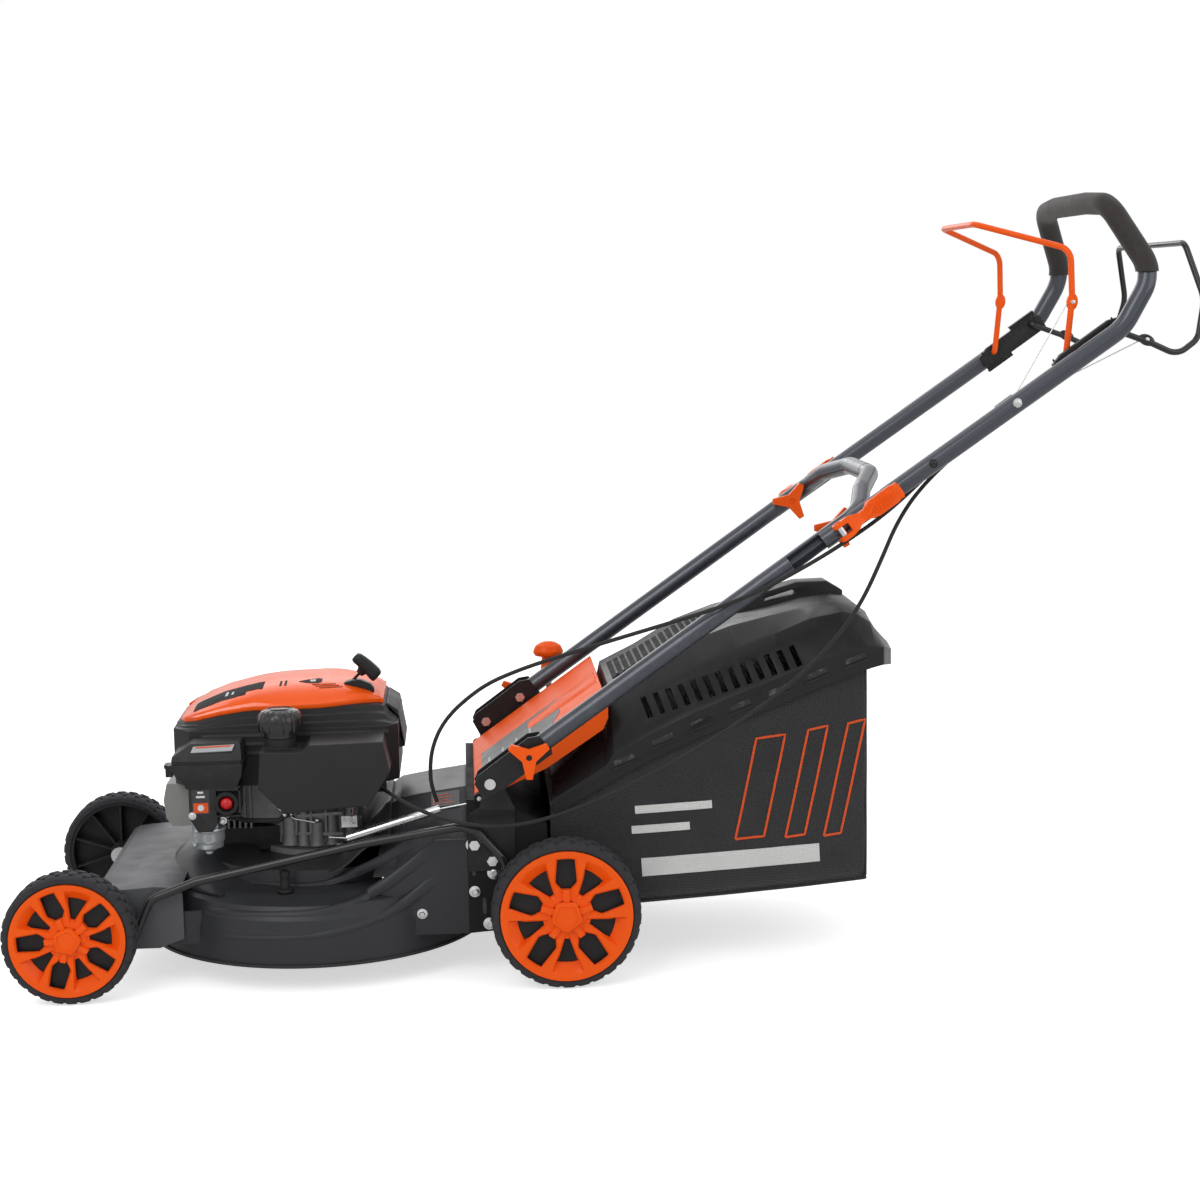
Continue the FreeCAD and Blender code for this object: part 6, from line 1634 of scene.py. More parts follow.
    def filter_box(self) -> None:
        """The filter's box in its stages, its clip, and the primer's panel with its recess."""
        stages = (
            (-514, -445, -161, -103, 270), (-516, -443, -162.5, -102, 276),
            (-526, -438, -167.4, -101, 287), (-533, -436.5, -167.9, -101, 299.5),
            (-534, -436, -168, -101, 304.5), (-531, -438, -165.4, -101, 305.5),
            (-530.5, -438.5, -165.2, -101, 308), (-532, -437, -166.6, -101, 309),
            (-531, -437, -164, -101, 315.5), (-510, -440, -147, -103, 328), (-507, -442, -144, -104, 329.6),
        )
        box = Form().loft([
            [at(left, near, z), at(right, near, z), at(right, far, z), at(left, far, z)]
            for left, right, near, far, z in stages
        ])
        made = box.soften(1.5 * MM, 2, 9.0).piece("air_filter_moulding", BLACK_MOULDED, "chassis", 25)
        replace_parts(made, "air_filter_housing")
        front, step = -160.2, -147
        plate = Form()
        for y, deep, corners in (
            (front, 0.036, (
                (-511, 272), (-474, 272), (-474, 218), (-480, 208.5), (-500, 208.5), (-511, 228))),
            (step, 0.022, ((-474, 272), (-441, 272), (-441, 238), (-447, 231), (-474, 229))),
            (front, 0.014, ((-474, 272), (-441, 272), (-441, 266), (-474, 266))),
        ):
            plate.prism([at(x, y, z) for x, z in corners], Vector((0, deep, 0)))
        plate.block(at(-442.2, -153.6, 252), (0.0024, 0.0132, 0.034))
        plate.block(at(-458, -153.6, 230.4), (0.032, 0.0132, 0.0024))
        plate.soften(1.6 * MM, 2).piece("primer_mount", BLACK_MOULDED, "chassis")
        trim = Form()
        trim.block(at(-538.5, -134, 292), (0.009, 0.024, 0.016))
        trim.block(at(-543, -134, 298), (0.004, 0.018, 0.005))
        trim.soften(0.9 * MM).piece("filter_clip", BLACK_SATIN, "chassis")
        top = Flat3(at(-506, -158.6, 319.6), Vector((1, 0, 0.03)), Vector((0, 16.5, 12.2)))
        panel, line = Form(), Form()
        top.plate(panel, bar(0, 0, 56, 11, 3), -0.8, 0.7)
        top.plate(line, bar(6, 7.4, 48, 2.4, 0.8), 0.5, 1.1)
        panel.piece("filter_panel", DECAL_PALE, "chassis")
        line.piece("filter_panel_line", PRINT_ORANGE, "chassis")
        face = Flat3(at(-513, front, 212), Vector((1, 0, 0)), UP)
        dark, orange, pale, ring = Form(), Form(), Form(), Form()
        face.plate(dark, bar(6, 22, 24, 34), -0.3, 0.4)
        face.plate(orange, bar(8, 24, 20, 14), 0.2, 0.8)
        face.plate(pale, bar(12, 45, 12, 3), 0.2, 0.8)
        face.plate(pale, bar(14, 51, 8, 3), 0.2, 0.8)
        pale.lathe(face.spot(18, 31, 0.4), face.out, [(0, 0), (0.0044, 0), (0.0044, 0.0006), (0, 0.0006)], 28)
        ring.lathe(at(-460, -159.5, 248), Vector((0, -1, 0)), [
            (0.0105, 0.0), (0.0165, 0.0), (0.0165, 0.0032), (0.0155, 0.0042), (0.0118, 0.0042),
            (0.0105, 0.0025),
        ], 36, True)
        dark.piece("primer_panel", DECAL_DARK, "chassis")
        orange.piece("primer_panel_square", PRINT_ORANGE, "chassis")
        pale.piece("primer_panel_marks", PRINT_WHITE, "chassis")
        ring.piece("primer_ring", BLACK_SATIN, "chassis")
        screws = Form()
        for x, y, z in ((-507, -160, 232), (-467, step, 221)):
            screws.bolt(at(x, y, z), Vector((0, -1, 0)), 3.6 * MM, 3.4 * MM, 5.2 * MM)
        screws.piece("filter_screws", ZINC, "chassis", 40)

    def bosses(self) -> None:
        """Bosses, ribs and screws round the crankcase."""
        form, screws = Form(), Form()
        for degrees, radius, tall in (
            (18, 8.0, 30), (52, 9.5, 48), (84, 7.0, 38), (118, 10, 52), (150, 7.5, 34), (196, 9, 46),
            (214, 6.5, 26), (237, 10.5, 40), (256, 7, 55), (274, 9, 33), (293, 7.5, 44), (322, 10, 50),
            (345, 7, 28),
        ):
            angle = math.radians(degrees)
            out, wide, high = spoke(angle), radius * MM, tall * MM
            form.lathe(self.shaft + out * self.ring + Vector((0, 0, 0.161)), UP, [
                (0, 0), (wide * 1.25, 0), (wide, 0.006), (wide * 0.94, high), (wide * 0.8, high + 0.0015),
                (0, high + 0.0015)], 18)
            if radius > 8:
                top = self.shaft + out * self.ring + Vector((0, 0, 0.1625 + high))
                screws.bolt(top, UP, 4.2 * MM, 3.6 * MM)
            beside = Matrix.Rotation(0.2, 3, "Z") @ out * 0.0618
            form.block(self.shaft + beside + Vector((0, 0, 0.19 + 0.2 * high)),
                       (0.012, 0.0035, 0.045), Matrix.Rotation(angle, 3, "Z"))
        for z, wide, tilt in ((178, 0.009, 0.05), (206, 0.012, -0.04), (226, 0.008, 0.03)):
            form.block(at(-340, -61, z), (0.064, wide, 0.0045), Matrix.Rotation(tilt, 3, "Y"))
        form.soften(0.5 * MM, 1).piece("crankcase_bosses", CAST_DARK, "chassis", 40)
        screws.piece("crankcase_screws", ZINC, "chassis", 40)

    def castings(self) -> None:
        """The engine's bare castings, the bright carburettor bowl and the small steel parts."""
        self.bosses()
        Form().block(at(-440, 0, 169), (0.080, 0.088, 0.034)).soften(3 * MM).piece(
            "cylinder_baffle", BLACK_MOULDED, "chassis")
        lever = Form()
        for radius, route in (
            (1.6, ((-402, -92, 246), (-396, -104, 226), (-372, -112, 212), (-344, -112, 206))),
            (1.4, ((-300, -92, 250), (-292, -108, 232), (-292, -118, 214))),
        ):
            lever.tube([at(*corner) for corner in route], radius * MM, 10)
        lever.block(at(-296, -112, 206), (0.022, 0.004, 0.016))
        lever.piece("governor_linkage", ZINC, "chassis")
        dress(CAST_DARK, "crankcase", "flywheel")
        dress(ROCKER_GREY, "cylinder_head")
        dress(CAST_ALLOY, "muffler")
        bowl = Form().cad("carburettor")
        bowl.lathe(self.bowl, UP, [
            (0, 0.1745), (0.0105, 0.1755), (0.0165, 0.180), (0.0212, 0.188), (0.0226, 0.192), (0.0226, 0.203),
            (0.0242, 0.2045), (0.0242, 0.2085), (0, 0.2085)], 48)
        bowl.bolt(self.bowl + UP * 0.175, -UP, 5.6 * MM, 4.5 * MM, 7.5 * MM)
        bowl.bolt(at(-508, -139, 190), -UP, 3.2 * MM, 5.0 * MM, 4.4 * MM)
        made = bowl.soften(0.5 * MM, 1).piece("carburettor_bowl", POLISHED_BOWL, "chassis", 40)
        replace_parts(made, "carburettor")
        dress(CABLE_SHEATH, "fuel_line")
        clamps = Form()
        for low, high in (
            ((-383.5, -130.5, 222.5), (-380.5, -131.8, 225.5)), ((-467, -112, 220), (-463, -112, 219)),
        ):
            clamps.tube([at(*low), at(*high)], 5.2 * MM, 24)
        clamps.piece("hose_clamps", ZINC, "chassis")
        dress(ZINC, "brake_spring")
        softened("primer_bulb", PRIMER_RED, "primer_bulb", 0.8 * MM, 3)
        self.pull()

    def pull(self) -> None:
        """The starter's T-shaped grip, its neck and rope, and the black seat that it rests on."""
        def blunt(wave: float, half: float) -> float:
            """A sine or cosine's place on an outline with squarer corners than an ellipse."""
            return half * math.copysign(abs(wave) ** 0.7, wave)

        middle = at(-269, -30, 412)
        along, ahead = Vector((1, 0, -1)).normalized(), Vector((1, 0, 1)).normalized()
        form = Form().cad("starter_grip")
        head = [vert for vert in form.mesh.verts if (vert.co - middle).dot(ahead) > -0.0112]
        bmesh.ops.delete(form.mesh, geom=head, context="VERTS")
        form.close(form.rims)
        form.loft([
            [
                middle + along * back * MM + ahead * (sway + blunt(math.cos(a), deep)) * MM
                + Vector((0, blunt(math.sin(a), wide) * MM, 0))
                for a in round_the_turn(28)
            ]
            for back, deep, wide, sway in (
                (-22.0, 4.5, 5.5, -1.2), (-21.0, 6.8, 8.0, -1.0), (-17, 8.4, 9.6, -0.4), (-8, 8.8, 10.4, 0.4),
                (0, 9.2, 11.0, 0.8), (8, 9.6, 11.4, 0.6), (16, 10.0, 11.6, 0.0), (20.5, 9.2, 10.4, -0.6),
                (22.0, 7.4, 8.6, -0.8),
            )
        ])
        form.loft([
            [
                middle - ahead * depth * MM + along * (half * math.cos(a)) * MM
                + Vector((0, half * 0.8 * math.sin(a) * MM, 0))
                for a in round_the_turn(20)
            ]
            for depth, half in ((5, 11.5), (9, 8.0), (12, 6.2), (15, 5.6))
        ])
        made = form.piece("starter_pull_grip", BLACK_SATIN, "starter_grip", 40)
        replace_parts(made, "starter_grip")
        Form().loft([
            [
                at(x, -30 + y, z + drop) for y, drop in (
                    (-half, -10), (-half, -1), (2.5 - half, 0), (half - 2.5, 0), (half, -1), (half, -10))
            ]
            for x, half, z in (
                (-303, 5, 388), (-299, 7, 391), (-288, 8.5, 394),
                (-277, 8.5, 393), (-263, 8, 386), (-259, 6, 381),
            )
        ]).soften(0.8 * MM, 2, 20).piece("starter_seat", BLACK_SATIN, "chassis")

    def build(self) -> None:
        """Make the whole engine."""
        Cover().build()
        self.shroud()
        self.tank()
        self.filter_box()
        self.castings()


@dataclass
class Handle:
    """Both tubes, the foam grip, the levers and knobs that lock them, and the two bails.

    Attributes:
        cam_inner: How far the star nuts' outer faces stand from the machine's middle, in millimetres.
    """

    cam_inner: float = 203.0

    def tubes(self) -> None:
        """The tubes, their screws and eyelets, and the smoke grey band on the arch."""
        dress(TUBE_PAINT, "lower_handle", "upper_handle")
        screws, holes = Form(), Form()
        for sign in (-1, 1):
            for back in (152, 290):
                form = screws if back == 290 and sign < 0 else holes
                place = LINE.spot(LINE.cam, back, 0, sign * 234.3)
                form.bolt(place, Vector((0, sign, 0)), 3.4 * MM, 1.6 * MM, 6.2 * MM)
        Form().tube([LINE.spot(LINE.cam, 92, 12, y) for y in (-56, -20, 20, 56)], 12.95 * MM, 48).piece(
            "arch_band", SMOKE_DECAL, "lower_handle")
        screws.piece("handle_screws", ZINC, "upper_handle", 40)
        holes.piece("handle_eyelets", BLACK_GLOSS, "upper_handle", 40)

    def grip(self) -> None:
        """The foam sleeve, slightly uneven as foam is, with rolled ends."""
        form = Form().cad("foam_grip")
        bmesh.ops.triangulate(form.mesh, faces=[f for f in form.mesh.faces if len(f.verts) > 4])
        bmesh.ops.subdivide_edges(form.mesh, edges=form.mesh.edges[:], cuts=1, use_grid_fill=True)
        bmesh.ops.recalc_face_normals(form.mesh, faces=form.mesh.faces)
        form.mesh.normal_update()
        least, most, cells = 0.0002, 0.0004, 45
        for vert in form.mesh.verts:
            vert.co -= vert.normal * (least + most * (0.5 + 0.5 * noise.noise(vert.co * cells)))
        made = form.piece("foam_sleeve", GRIP_FOAM, "upper_handle", 60)
        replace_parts(made, "foam_grip")

    def paddle(self, name: str) -> bpy.types.Object:
        """A cam lever with a forked foot, a narrow waist and a broad thumb paddle.

        Args:
            name: The CAD node.

        Returns:
            The piece.
        """
        form = Form().cad(name)
        ahead = LINE.turn() @ Vector((1, 0, 0))
        square = LINE.turn() @ Vector((0, 0, 1))
        start = LINE.spot(LINE.cam, 0, 0, 0)
        for back in (16, 21, 26, 32, 38, 43, 48, 54, 70, 84, 90, 94):
            form.slice(start + ahead * back * MM, ahead)
        widths = [
            (0, 1.0), (16, 0.98), (21, 0.86), (26, 0.7), (32, 0.62), (38, 0.64), (43, 0.76), (48, 0.93),
            (54, 1.0), (84, 1.0), (90, 0.95), (94, 0.82), (97, 0.6)]

        def shaped(place: Vector) -> Vector:
            """Draw a point toward the lever's line by the width that it has there.

            Args:
                place: A point of the plain lever.

            Returns:
                The point on the shaped one.
            """
            back, up = (place - start).dot(ahead) / MM, (place - start).dot(square)
            return place + square * up * (between(widths, back)[0] - 1.0)

        return form.each(shaped).soften(1.2 * MM, 2).piece(f"{name}_moulding", COVER_ORANGE, name)

    def cams(self) -> None:
        """The orange levers with dimpled paddles, the orange star nuts and their bright bolts."""
        for word, sign in SIDES:
            name = f"cam_lever_{word}"
            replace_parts(self.paddle(name), name)
            outer = max(abs(corner[1]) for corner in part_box(name)) / MM
            dimples, dome = Form(), [(0.0014, 0), (0.0011, 0.0009), (0, 0.0012)]
            for a in range(9):
                for b in range(5):
                    place = LINE.spot(LINE.cam, 46 + 5 * a, -8 + 4 * b, sign * (outer - 1.2))
                    dimples.lathe(place, Vector((0, sign, 0)), dome, 6)
            dimples.piece(f"cam_dimples_{word}", COVER_ORANGE, name)
        edge = self.cam_inner * MM
        stars = half_of("cam_bolts", Vector((0, edge, 0)), Vector((0, -1, 0)))
        stars.slice(Vector((0, -edge, 0)), Vector((0, 1, 0)), drop=True)
        stars.close(stars.rims).soften(1.6 * MM, 3)
        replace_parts(stars.piece("cam_star_nuts", COVER_ORANGE, "lower_handle"), "cam_bolts")
        for word, sign in SIDES:
            bolts = half_of("cam_bolts", Vector((0, sign * edge, 0)), Vector((0, sign, 0)))
            made = bolts.soften(0.4 * MM, 1).piece(f"cam_bolt_{word}", ZINC, "lower_handle")
            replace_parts(made, "cam_bolts")

    def knobs(self) -> None:
        """The orange star knobs at the brackets with their dark centres, and the mushroom knob."""
        centre = at(-46, 0, 318)
        for word, sign in SIDES:
            name = f"bracket_knob_{word}"
            softened(name, COVER_ORANGE, name, 1.8 * MM, 3)
            outer = max(abs(corner[1]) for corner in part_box(name))
            place = Vector((centre.x, sign * (outer - 0.0022), centre.z))
            form = Form().bolt(place, Vector((0, sign, 0)), 5.4 * MM, 2.1 * MM)
            form.piece(f"bracket_knob_centre_{word}", BLACK_SATIN, name)
        low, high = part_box("height_knob")
        stem = (low[0] + high[0]) / 2
        knob = Form().cad("height_knob").each(lambda v: Vector((stem + (v.x - stem) * 1.4, v.y, v.z)))
        made = knob.soften(2.5 * MM, 4).piece("height_knob_moulding", COVER_ORANGE, "rear_axle")
        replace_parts(made, "height_knob")

    def bails(self) -> None:
        """The two bent wires, the flattened eyes that take the pull wires, and their ribbed brackets."""
        dress(ORANGE_WIRE, "brake_bail")
        dress(BLACK_GLOSS, "drive_bail")
        softened("bail_brackets", BLACK_MOULDED, "upper_handle", 0.8 * MM)
        softened("cable_guide", BLACK_MOULDED, "upper_handle", 1.0 * MM)
        for body, finish, place, lean in (
            ("brake_bail", COVER_ORANGE, (700.0, 910), 85.0), ("drive_bail", BLACK_GLOSS, (803, 857), -25.0),
        ):
            form, rivets = Form(), Form()
            for sign in (-1, 1):
                middle = at(place[0], sign * 194.2, place[1])
                turn = Matrix.Rotation(-math.radians(lean), 3, "Y")
                outline = [
                    turn @ Vector((11.5 * math.cos(a) * MM, 0, 7.4 * math.sin(a) * MM))
                    for a in round_the_turn(24)
                ]
                form.loft([
                    [middle + v * s + Vector((0, w * MM, 0)) for v in outline]
                    for s, w in ((0.86, -3.4), (1.0, -2.4), (1.0, 2.4), (0.86, 3.4))
                ])
                side = Vector((0, sign, 0))
                rivets.bolt(middle + side * 0.0033, side, 2.6 * MM, 1.2 * MM, 3.6 * MM)
            form.piece(f"{body}_eyes", finish, body, 40)
            rivets.piece(f"{body}_rivets", ZINC, body, 40)
        ribs, turn = Form(), LINE.turn()

        def rib(back: float, up: float, y: float, size: Sequence[float]) -> None:
            """Add a block that lies along the handle."""
            ribs.block(LINE.spot(LINE.cam, back, up, y), size, turn)

        for sign in (-1, 1):
            for k in range(11):
                for up in (-9.5, 10.5):
                    rib(368 + 9.6 * k, up, sign * 200.4, (0.0022, 0.0018, 0.0065))
            for up, length in ((-12.2, 0.100), (13.2, 0.080)):
                rib(417, up, sign * 200.6, (length, 0.0016, 0.0018))
        for first, up, rail in ((426, 16.4, 19.2), (364, -14.8, -17.6)):
            for k in range(9):
                rib(first + 5 * k, up, 204.5, (0.0022, 0.009, 0.0062))
            rib(first + 20, rail, 204.5, (0.044, 0.009, 0.0018))
            rib(first + 20, up, 201.8, (0.044, 0.003, 0.0066))
        ribs.piece("bail_bracket_ribs", BLACK_SATIN, "upper_handle")

    def build(self) -> None:
        """Make the whole handle."""
        self.tubes()
        self.grip()
        self.cams()
        self.knobs()
        self.bails()


@dataclass
class Catcher:
    """The grass catcher: moulded lid over a sewn mesh bag.

    Attributes:
        floor: The bag's lower line, (x, z) in millimetres.
        brow: Its upper line.
        half: Half its width.
    """

    floor: Sequence[Flat] = (
        (-18, 128), (8, 112), (60, 98), (104, 93.5), (216, 100), (328, 108), (424, 116.5))
    brow: Sequence[Flat] = (
        (-18, 237), (60, 281), (108, 307), (191, 343), (303, 386), (385, 418), (424, 432))
    half: float = 184.5

    def side(self, x: float, z: float) -> float:
        """How far the side panel stands out at a place.

        Args:
            x: Millimetres from the rear axle.
            z: Its height.

        Returns:
            Millimetres from the machine's middle.
        """
        low, high = between(self.floor, x)[0], between(self.brow, x)[0]
        along = min(1.0, max(0.0, (x + 18) / 442))
        rise = min(1.0, max(0.0, (z - low) / (high - low)))
        belly = 7.5 * math.sin(math.pi * along) ** 0.8 * math.sin(math.pi * rise ** 0.8)
        seed = 3.1
        creases = 1.1 * noise.noise(Vector((x * 0.018, z * 0.009, seed))) * math.sin(math.pi * rise)
        pulls = 0.7 * math.sin((x - 0.7 * z) * 0.09) * rise * (1 - rise) * 4 * along
        return self.half - 1.5 + belly + creases + pulls

    def ring(self, x: float, shrink: float = 1.0, push: float = 0.0) -> list[Vector]:
        """The bag's outline across the machine at one place.

        Args:
            x: Millimetres from the rear axle.
            shrink: How far the outline is drawn in toward its middle.
            push: How far it is pushed to the rear, in millimetres.

        Returns:
            The outline's points, going round.
        """
        low, high = between(self.floor, x)[0], between(self.brow, x)[0]
        centre, points = (low + high) / 2, []
        for share in steps(0, 1, 26):
            z = blend_between(low + 2, high - 1, share)
            round_in = 7.0 * max(0.0, 1 - share / 0.06) ** 2
            points.append((-(self.side(x, z) - round_in), z))
        lid = [(blend_between(-1, 1, s) * (self.half - 3), high) for s in steps(0.03, 0.97, 12)]
        right = [(-y, z) for y, z in reversed(points)]
        slack = [
            (blend_between(1, -1, s) * (self.half - 7), low + 1.2 - 1.2 * math.sin(math.pi * s))
            for s in steps(0.03, 0.97, 14)
        ]
        return [
            at(x + push, y * shrink, centre + (z - centre) * shrink) for y, z in points + lid + right + slack
        ]

    def cut_area(self) -> float:
        """The flat area of the panels that the bag is sewn from, worked out from its outline.

        Returns:
            Square metres: two sides, the floor, the top and the back.
        """
        places = steps(self.floor[0][0], self.floor[-1][0], 200)
        low = [between(self.floor, x)[0] for x in places]
        high = [between(self.brow, x)[0] for x in places]
        pitch, wide, gaps = places[1] - places[0], 2 * self.half, range(len(places) - 1)
        sides = 2 * pitch * sum((high[k] + high[k + 1] - low[k] - low[k + 1]) / 2 for k in gaps)
        lines = sum(math.hypot(pitch, line[k + 1] - line[k]) for line in (low, high) for k in gaps)
        return round((sides + wide * (lines + high[-1] - low[-1])) * MM * MM, 3)

    def bag(self) -> None:
        """The sewn bag, open at its mouth, with its bound edges."""
        form = Form()
        rings = [self.ring(x) for x in steps(-17, 421, 66)]
        rings += [self.ring(423, 0.985, 0.5), self.ring(423, 0.96, 1.5)]
        rings += [self.ring(423, s, 1.5 + 4.5 * (1 - s)) for s in (0.85, 0.7, 0.5, 0.3, 0.12)]
        form.loft(rings, caps=False)
        form.close([edge for edge in form.rims if edge.verts[0].co.x / MM - AXLE_X > 400])
        bmesh.ops.recalc_face_normals(form.mesh, faces=form.mesh.faces)
        bmesh.ops.solidify(form.mesh, geom=form.mesh.faces[:], thickness=1.2 * MM)
        made = form.piece("catcher_bag", BAG_MESH, "grass_bag", 50)
        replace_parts(made, "bag_fabric")
        binding = Form()
        for sign in (-1, 1):
            y = sign * (self.half - 3)
            line = [at(x, y, between(self.floor, x)[0] + 2.2) for x in steps(-14, 420, 40)]
            line += [at(421, y, z) for z in steps(124, 428, 18)]
            binding.tube(line, 2.1 * MM, 8)
        binding.tube([at(421.5, y, 118.5) for y in steps(-180, 180, 24)], 2.0 * MM, 8)
        hem = binding.piece("catcher_binding", BLACK_MOULDED, "grass_bag", 60)
        self.cut_area()

    def stripe(self, form: Form, route: Sequence[Flat], width: float, sign: int) -> None:
        """A printed line on a side panel.

        Args:
            form: The mesh that takes it.
            route: Its corners, (x, z) in millimetres.
            width: Its width in millimetres.
            sign: -1 for the left panel, 1 for the right.
        """
        fine = []
        for (x0, z0), (x1, z1) in zip(route, route[1:]):
            count = max(2, round(math.hypot(x1 - x0, z1 - z0) / 7))
            fine += [(blend_between(x0, x1, s), blend_between(z0, z1, s)) for s in steps(0, 1, count)[:-1]]
        fine.append(route[-1])
        rings = []
        for i, (x, z) in enumerate(fine):
            after, before = fine[min(i + 1, len(fine) - 1)], fine[max(i - 1, 0)]
            ahead = Vector((after[0] - before[0], after[1] - before[1])).normalized()
            corners = []
            for a, lift in ((-1, -0.5), (-1, 0.9), (1, 0.9), (1, -0.5)):
                px, pz = x - ahead.y * a * width / 2, z + ahead.x * a * width / 2
                corners.append(at(px, sign * (self.side(px, pz) + lift), pz))
            rings.append(corners)
        form.loft(rings)

    def prints(self) -> None:
        """Plain bars and slanted outlines, with no words or numbers."""
        white, orange = Form(), Form()
        foot, lean = 182, 0.22
        for sign in (-1, 1):
            for left, low, wide, tall in ((98, 222, 108, 11), (93, 194, 82, 11), (104, 133, 252, 26)):
                middle = low + tall / 2
                line = [(left + tall * 0.15, middle), (left + wide, middle + wide * 0.05)]
                self.stripe(white, line, tall, sign)
            for left, wide in ((238, 50), (308, 34), (362, 30)):
                head, across = 322 + (left - 238) * 0.14, wide * 0.8
                tilt = (head - foot) * lean
                self.stripe(orange, [
                    (left, foot), (left + tilt, head), (left + tilt + across, head + 5),
                    (left + across, foot + 3), (left, foot),
                ], 3.2, sign)
        white.piece("catcher_white_bars", PRINT_WHITE, "grass_bag", 60)
        orange.piece("catcher_orange_lines", PRINT_ORANGE, "grass_bag", 60)

    def lid(self) -> None:
        """The lid, its rim's bars and slots, its top grille and its staples."""
        softened("bag_lid", BLACK_SATIN, "grass_bag", 2.2 * MM, 2)
        bars, dark, bright = Form(), Form(), Form()
        rim = ((-12, 244), (60, 284), (125, 318), (184, 344), (242, 367), (301, 389), (351, 409), (417, 433))
        slope, staple, louvre = (Matrix.Rotation(math.radians(angle), 3, "Y") for angle in (-21, -20, -27))
        for sign in (-1, 1):
            for share in steps(0, 1, 7):
                x = 86 + 320 * share
                z = between(rim, x)[0]
                dark.block(at(x, sign * 190.2, z + 2), (0.030, 0.0012, 0.007), slope)
                bars.block(at(x, sign * 190.6, z - 6), (0.036, 0.0024, 0.0022), slope)
            for share in steps(0, 1, 13):
                place = at(125 + 205 * share, sign * 172.5, 345 + 68 * share)
                bright.block(place, (0.0022, 0.004, 0.005), staple)
        top = [(72, 386), (125, 412), (184, 447), (242, 468)]
        Form().loft([
            [at(x, y, between(top, x)[0] + up) for y, up in ((-66, 1.4), (66, 1.4), (66, -2), (-66, -2))]
            for x in steps(80, 218, 7)
        ]).piece("lid_grille_well", DULL_BLACK_AND_PAINTED_SHADE, "grass_bag")
        for i in range(14):
            x = 88 + 9.5 * i
            bars.block(at(x, 0, between(top, x)[0] + 1.0), (0.0032, 0.120, 0.004), louvre)
        bars.piece("lid_bars", BLACK_MOULDED, "grass_bag")
        dark.piece("lid_strap_slots", BLACK_GLOSS, "grass_bag")
        bright.piece("lid_staples", ZINC, "grass_bag")

    def build(self) -> None:
        """Make the whole catcher."""
        self.bag()
        self.prints()
        self.lid()


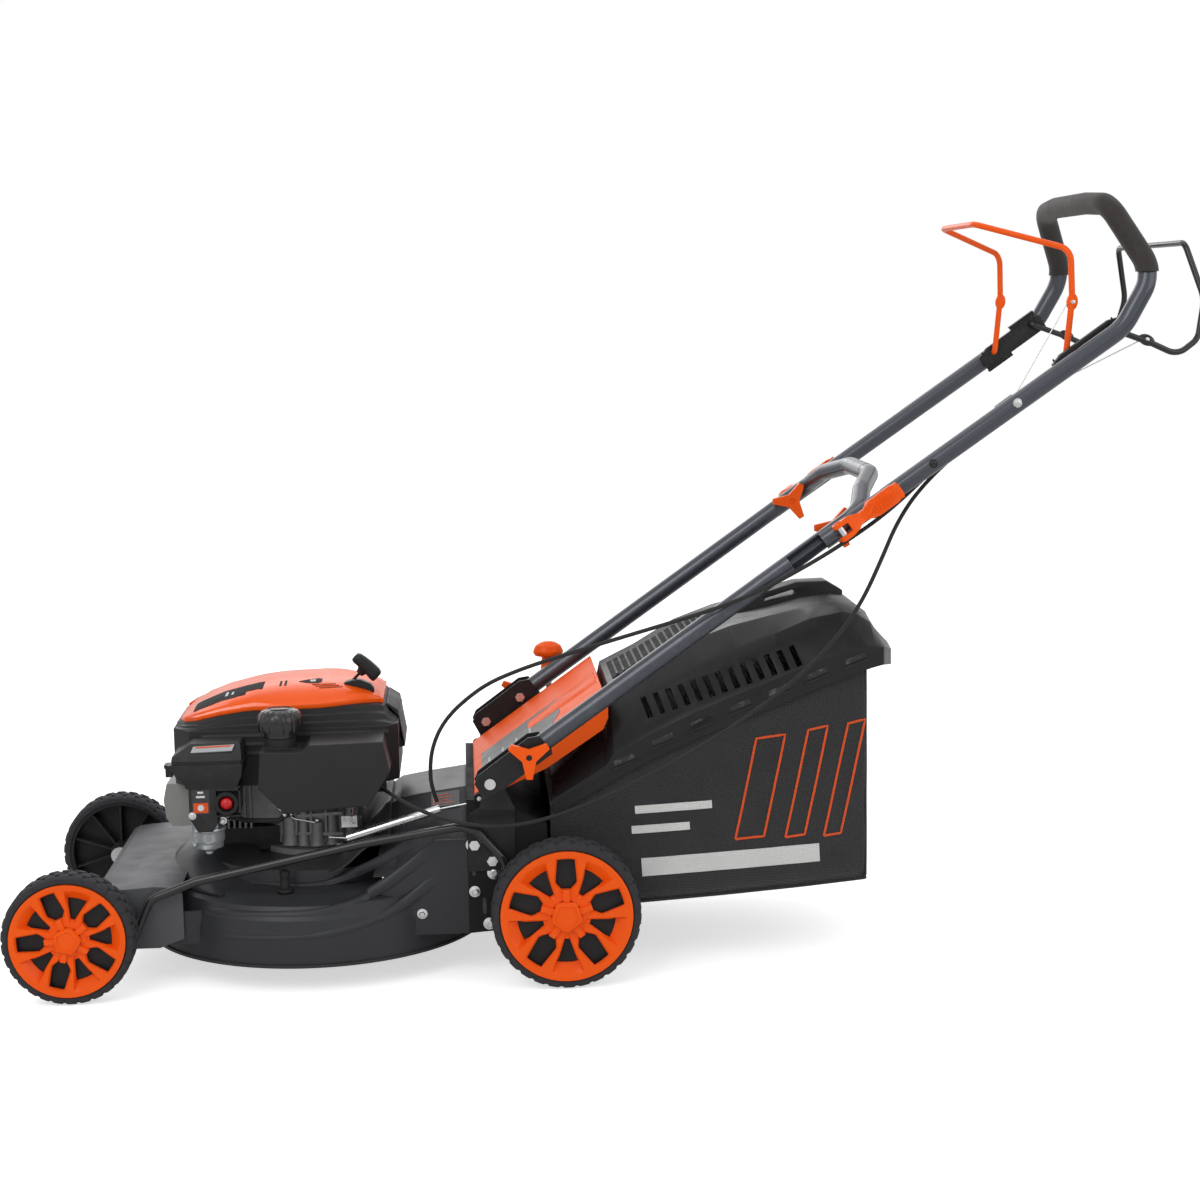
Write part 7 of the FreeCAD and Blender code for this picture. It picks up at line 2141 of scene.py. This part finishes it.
@dataclass
class Flap:
    """The orange flap behind the tunnel, with its sunk panel and raised rib.

    Attributes:
        hinge: Its hinge, (x, z) in millimetres.
        angle: Its slope in degrees.
        knuckle: How far its upper face stands off the hinge.
    """

    hinge: Flat = (-114.0, 251.0)
    angle: float = 35.2
    knuckle: float = 6.5

    def build(self) -> None:
        """Make the flap and what is on it."""
        softened("rear_flap", MOULDED_ORANGE, "rear_flap", 1.3 * MM, 3)
        slope = math.radians(self.angle)
        along = Vector((math.cos(slope), 0, math.sin(slope)))
        x, z = self.hinge[0] - self.knuckle * math.sin(slope), self.hinge[1] + self.knuckle * math.cos(slope)
        face = Flat3(at(x, -176, z), along, Vector((0, 1, 0)))
        panel, marks, blue, pale, rib = Form(), Form(), Form(), Form(), Form()
        face.plate(panel, [(12, 14), (112, 14), (150, 120), (150, 220), (12, 220)], -0.4, 0.5)
        for k in range(4):
            face.plate(pale, bar(20 + 22 * k, 30, 16, 26), 0.3, 0.8)
            face.plate(pale, bar(24 + 24 * k, 96, 3, 60), 0.3, 0.8)
            face.plate(marks, bar(24 + 24 * k, 66, 14, 16), 0.3, 0.8)
        face.plate(blue, bar(42, 60, 18, 24), 0.4, 1.0)
        rib.loft([
            [face.spot(a, b, h) for b, h in corners] for a, corners in (
                (96, ((150, -1), (156, 1.2), (196, 1.2), (202, -1))),
                (216, ((132, -1), (142, 3.2), (210, 3.2), (220, -1))),
            )
        ])
        for form, name, finish in (
            (panel, "flap_panel", DECAL_DARK), (pale, "flap_panel_marks", DECAL_PALE),
            (marks, "flap_panel_blocks", PRINT_ORANGE), (blue, "flap_panel_square", DECAL_BLUE),
        ):
            form.piece(name, finish, "rear_flap")
        rib.soften(0.9 * MM).piece("flap_rib", MOULDED_ORANGE, "rear_flap")


def cords() -> list[Cable]:
    """The two control cables, each from the guide on the upper handle down to the machine."""
    enters, leaves, side = 267, 296, -203
    return [
        Cable(
            f"{name}_cable", [LINE.spot(LINE.cam, enters, up, side), *(at(*place) for place in upper)],
            [at(*place) for place in lower], LINE.spot(LINE.cam, leaves, up, side), at(*hook), f"{name}_bail",
        )
        for name, up, hook, upper, lower in (
            ("brake", 3.5, (694.5, -193.5, 910), ((547, -201, 726), (490, -211, 672), (440, -221, 631)), (
                (389, -232, 599), (341, -236, 571), (272, -237, 535), (211, -236, 512), (160, -234, 497),
                (86, -230, 476), (23, -222, 457), (-31, -214, 440), (-66, -208, 427), (-97, -202, 413),
                (-124, -196, 394), (-150, -190, 370), (-167, -184, 345), (-177, -178, 317),
                (-180, -172, 290), (-179, -166, 264), (-172, -161, 242),
            )),
            ("drive", -4.5, (803, -193.5, 860.5), ((545, -199, 713), (490, -206, 663), (456, -224, 620)), (
                (433, -235, 572), (406, -241, 517), (372, -245, 470), (320, -248, 418), (252, -250, 368),
                (184, -250, 326), (116, -248, 289), (48, -242, 256), (-6, -233, 235), (-46, -226, 223),
                (-87, -222, 218), (-127, -218, 221), (-168, -209, 230), (-203, -194, 242),
                (-228, -173, 252), (-243, -144, 256), (-250, -119, 253), (-250, -97.4, 250),
            )),
        )
    ]


def main() -> None:
    """Build the mower."""
    logging.basicConfig(level=logging.INFO, format="%(message)s", stream=sys.stdout)
    Studio().build()
    for cable in cords():
        cable.build()
    for end, axle, radius, width, inside, turn in (
        ("rear", (0.0, 101.5), 101.5, 46.0, 217.0, 0.0),
        ("front", (-667.3, 89.0), 89.0, 43.5, 212.0, 21.0),
    ):
        for side in ("left", "right"):
            Wheel(end, side, axle, radius, width, inside, turn).build()
    for part in (Deck(), Engine(), Handle(), Catcher(), Flap()):
        part.build()
        log.info("%s is built", type(part).__name__)


if __name__ == "__main__":
    main()
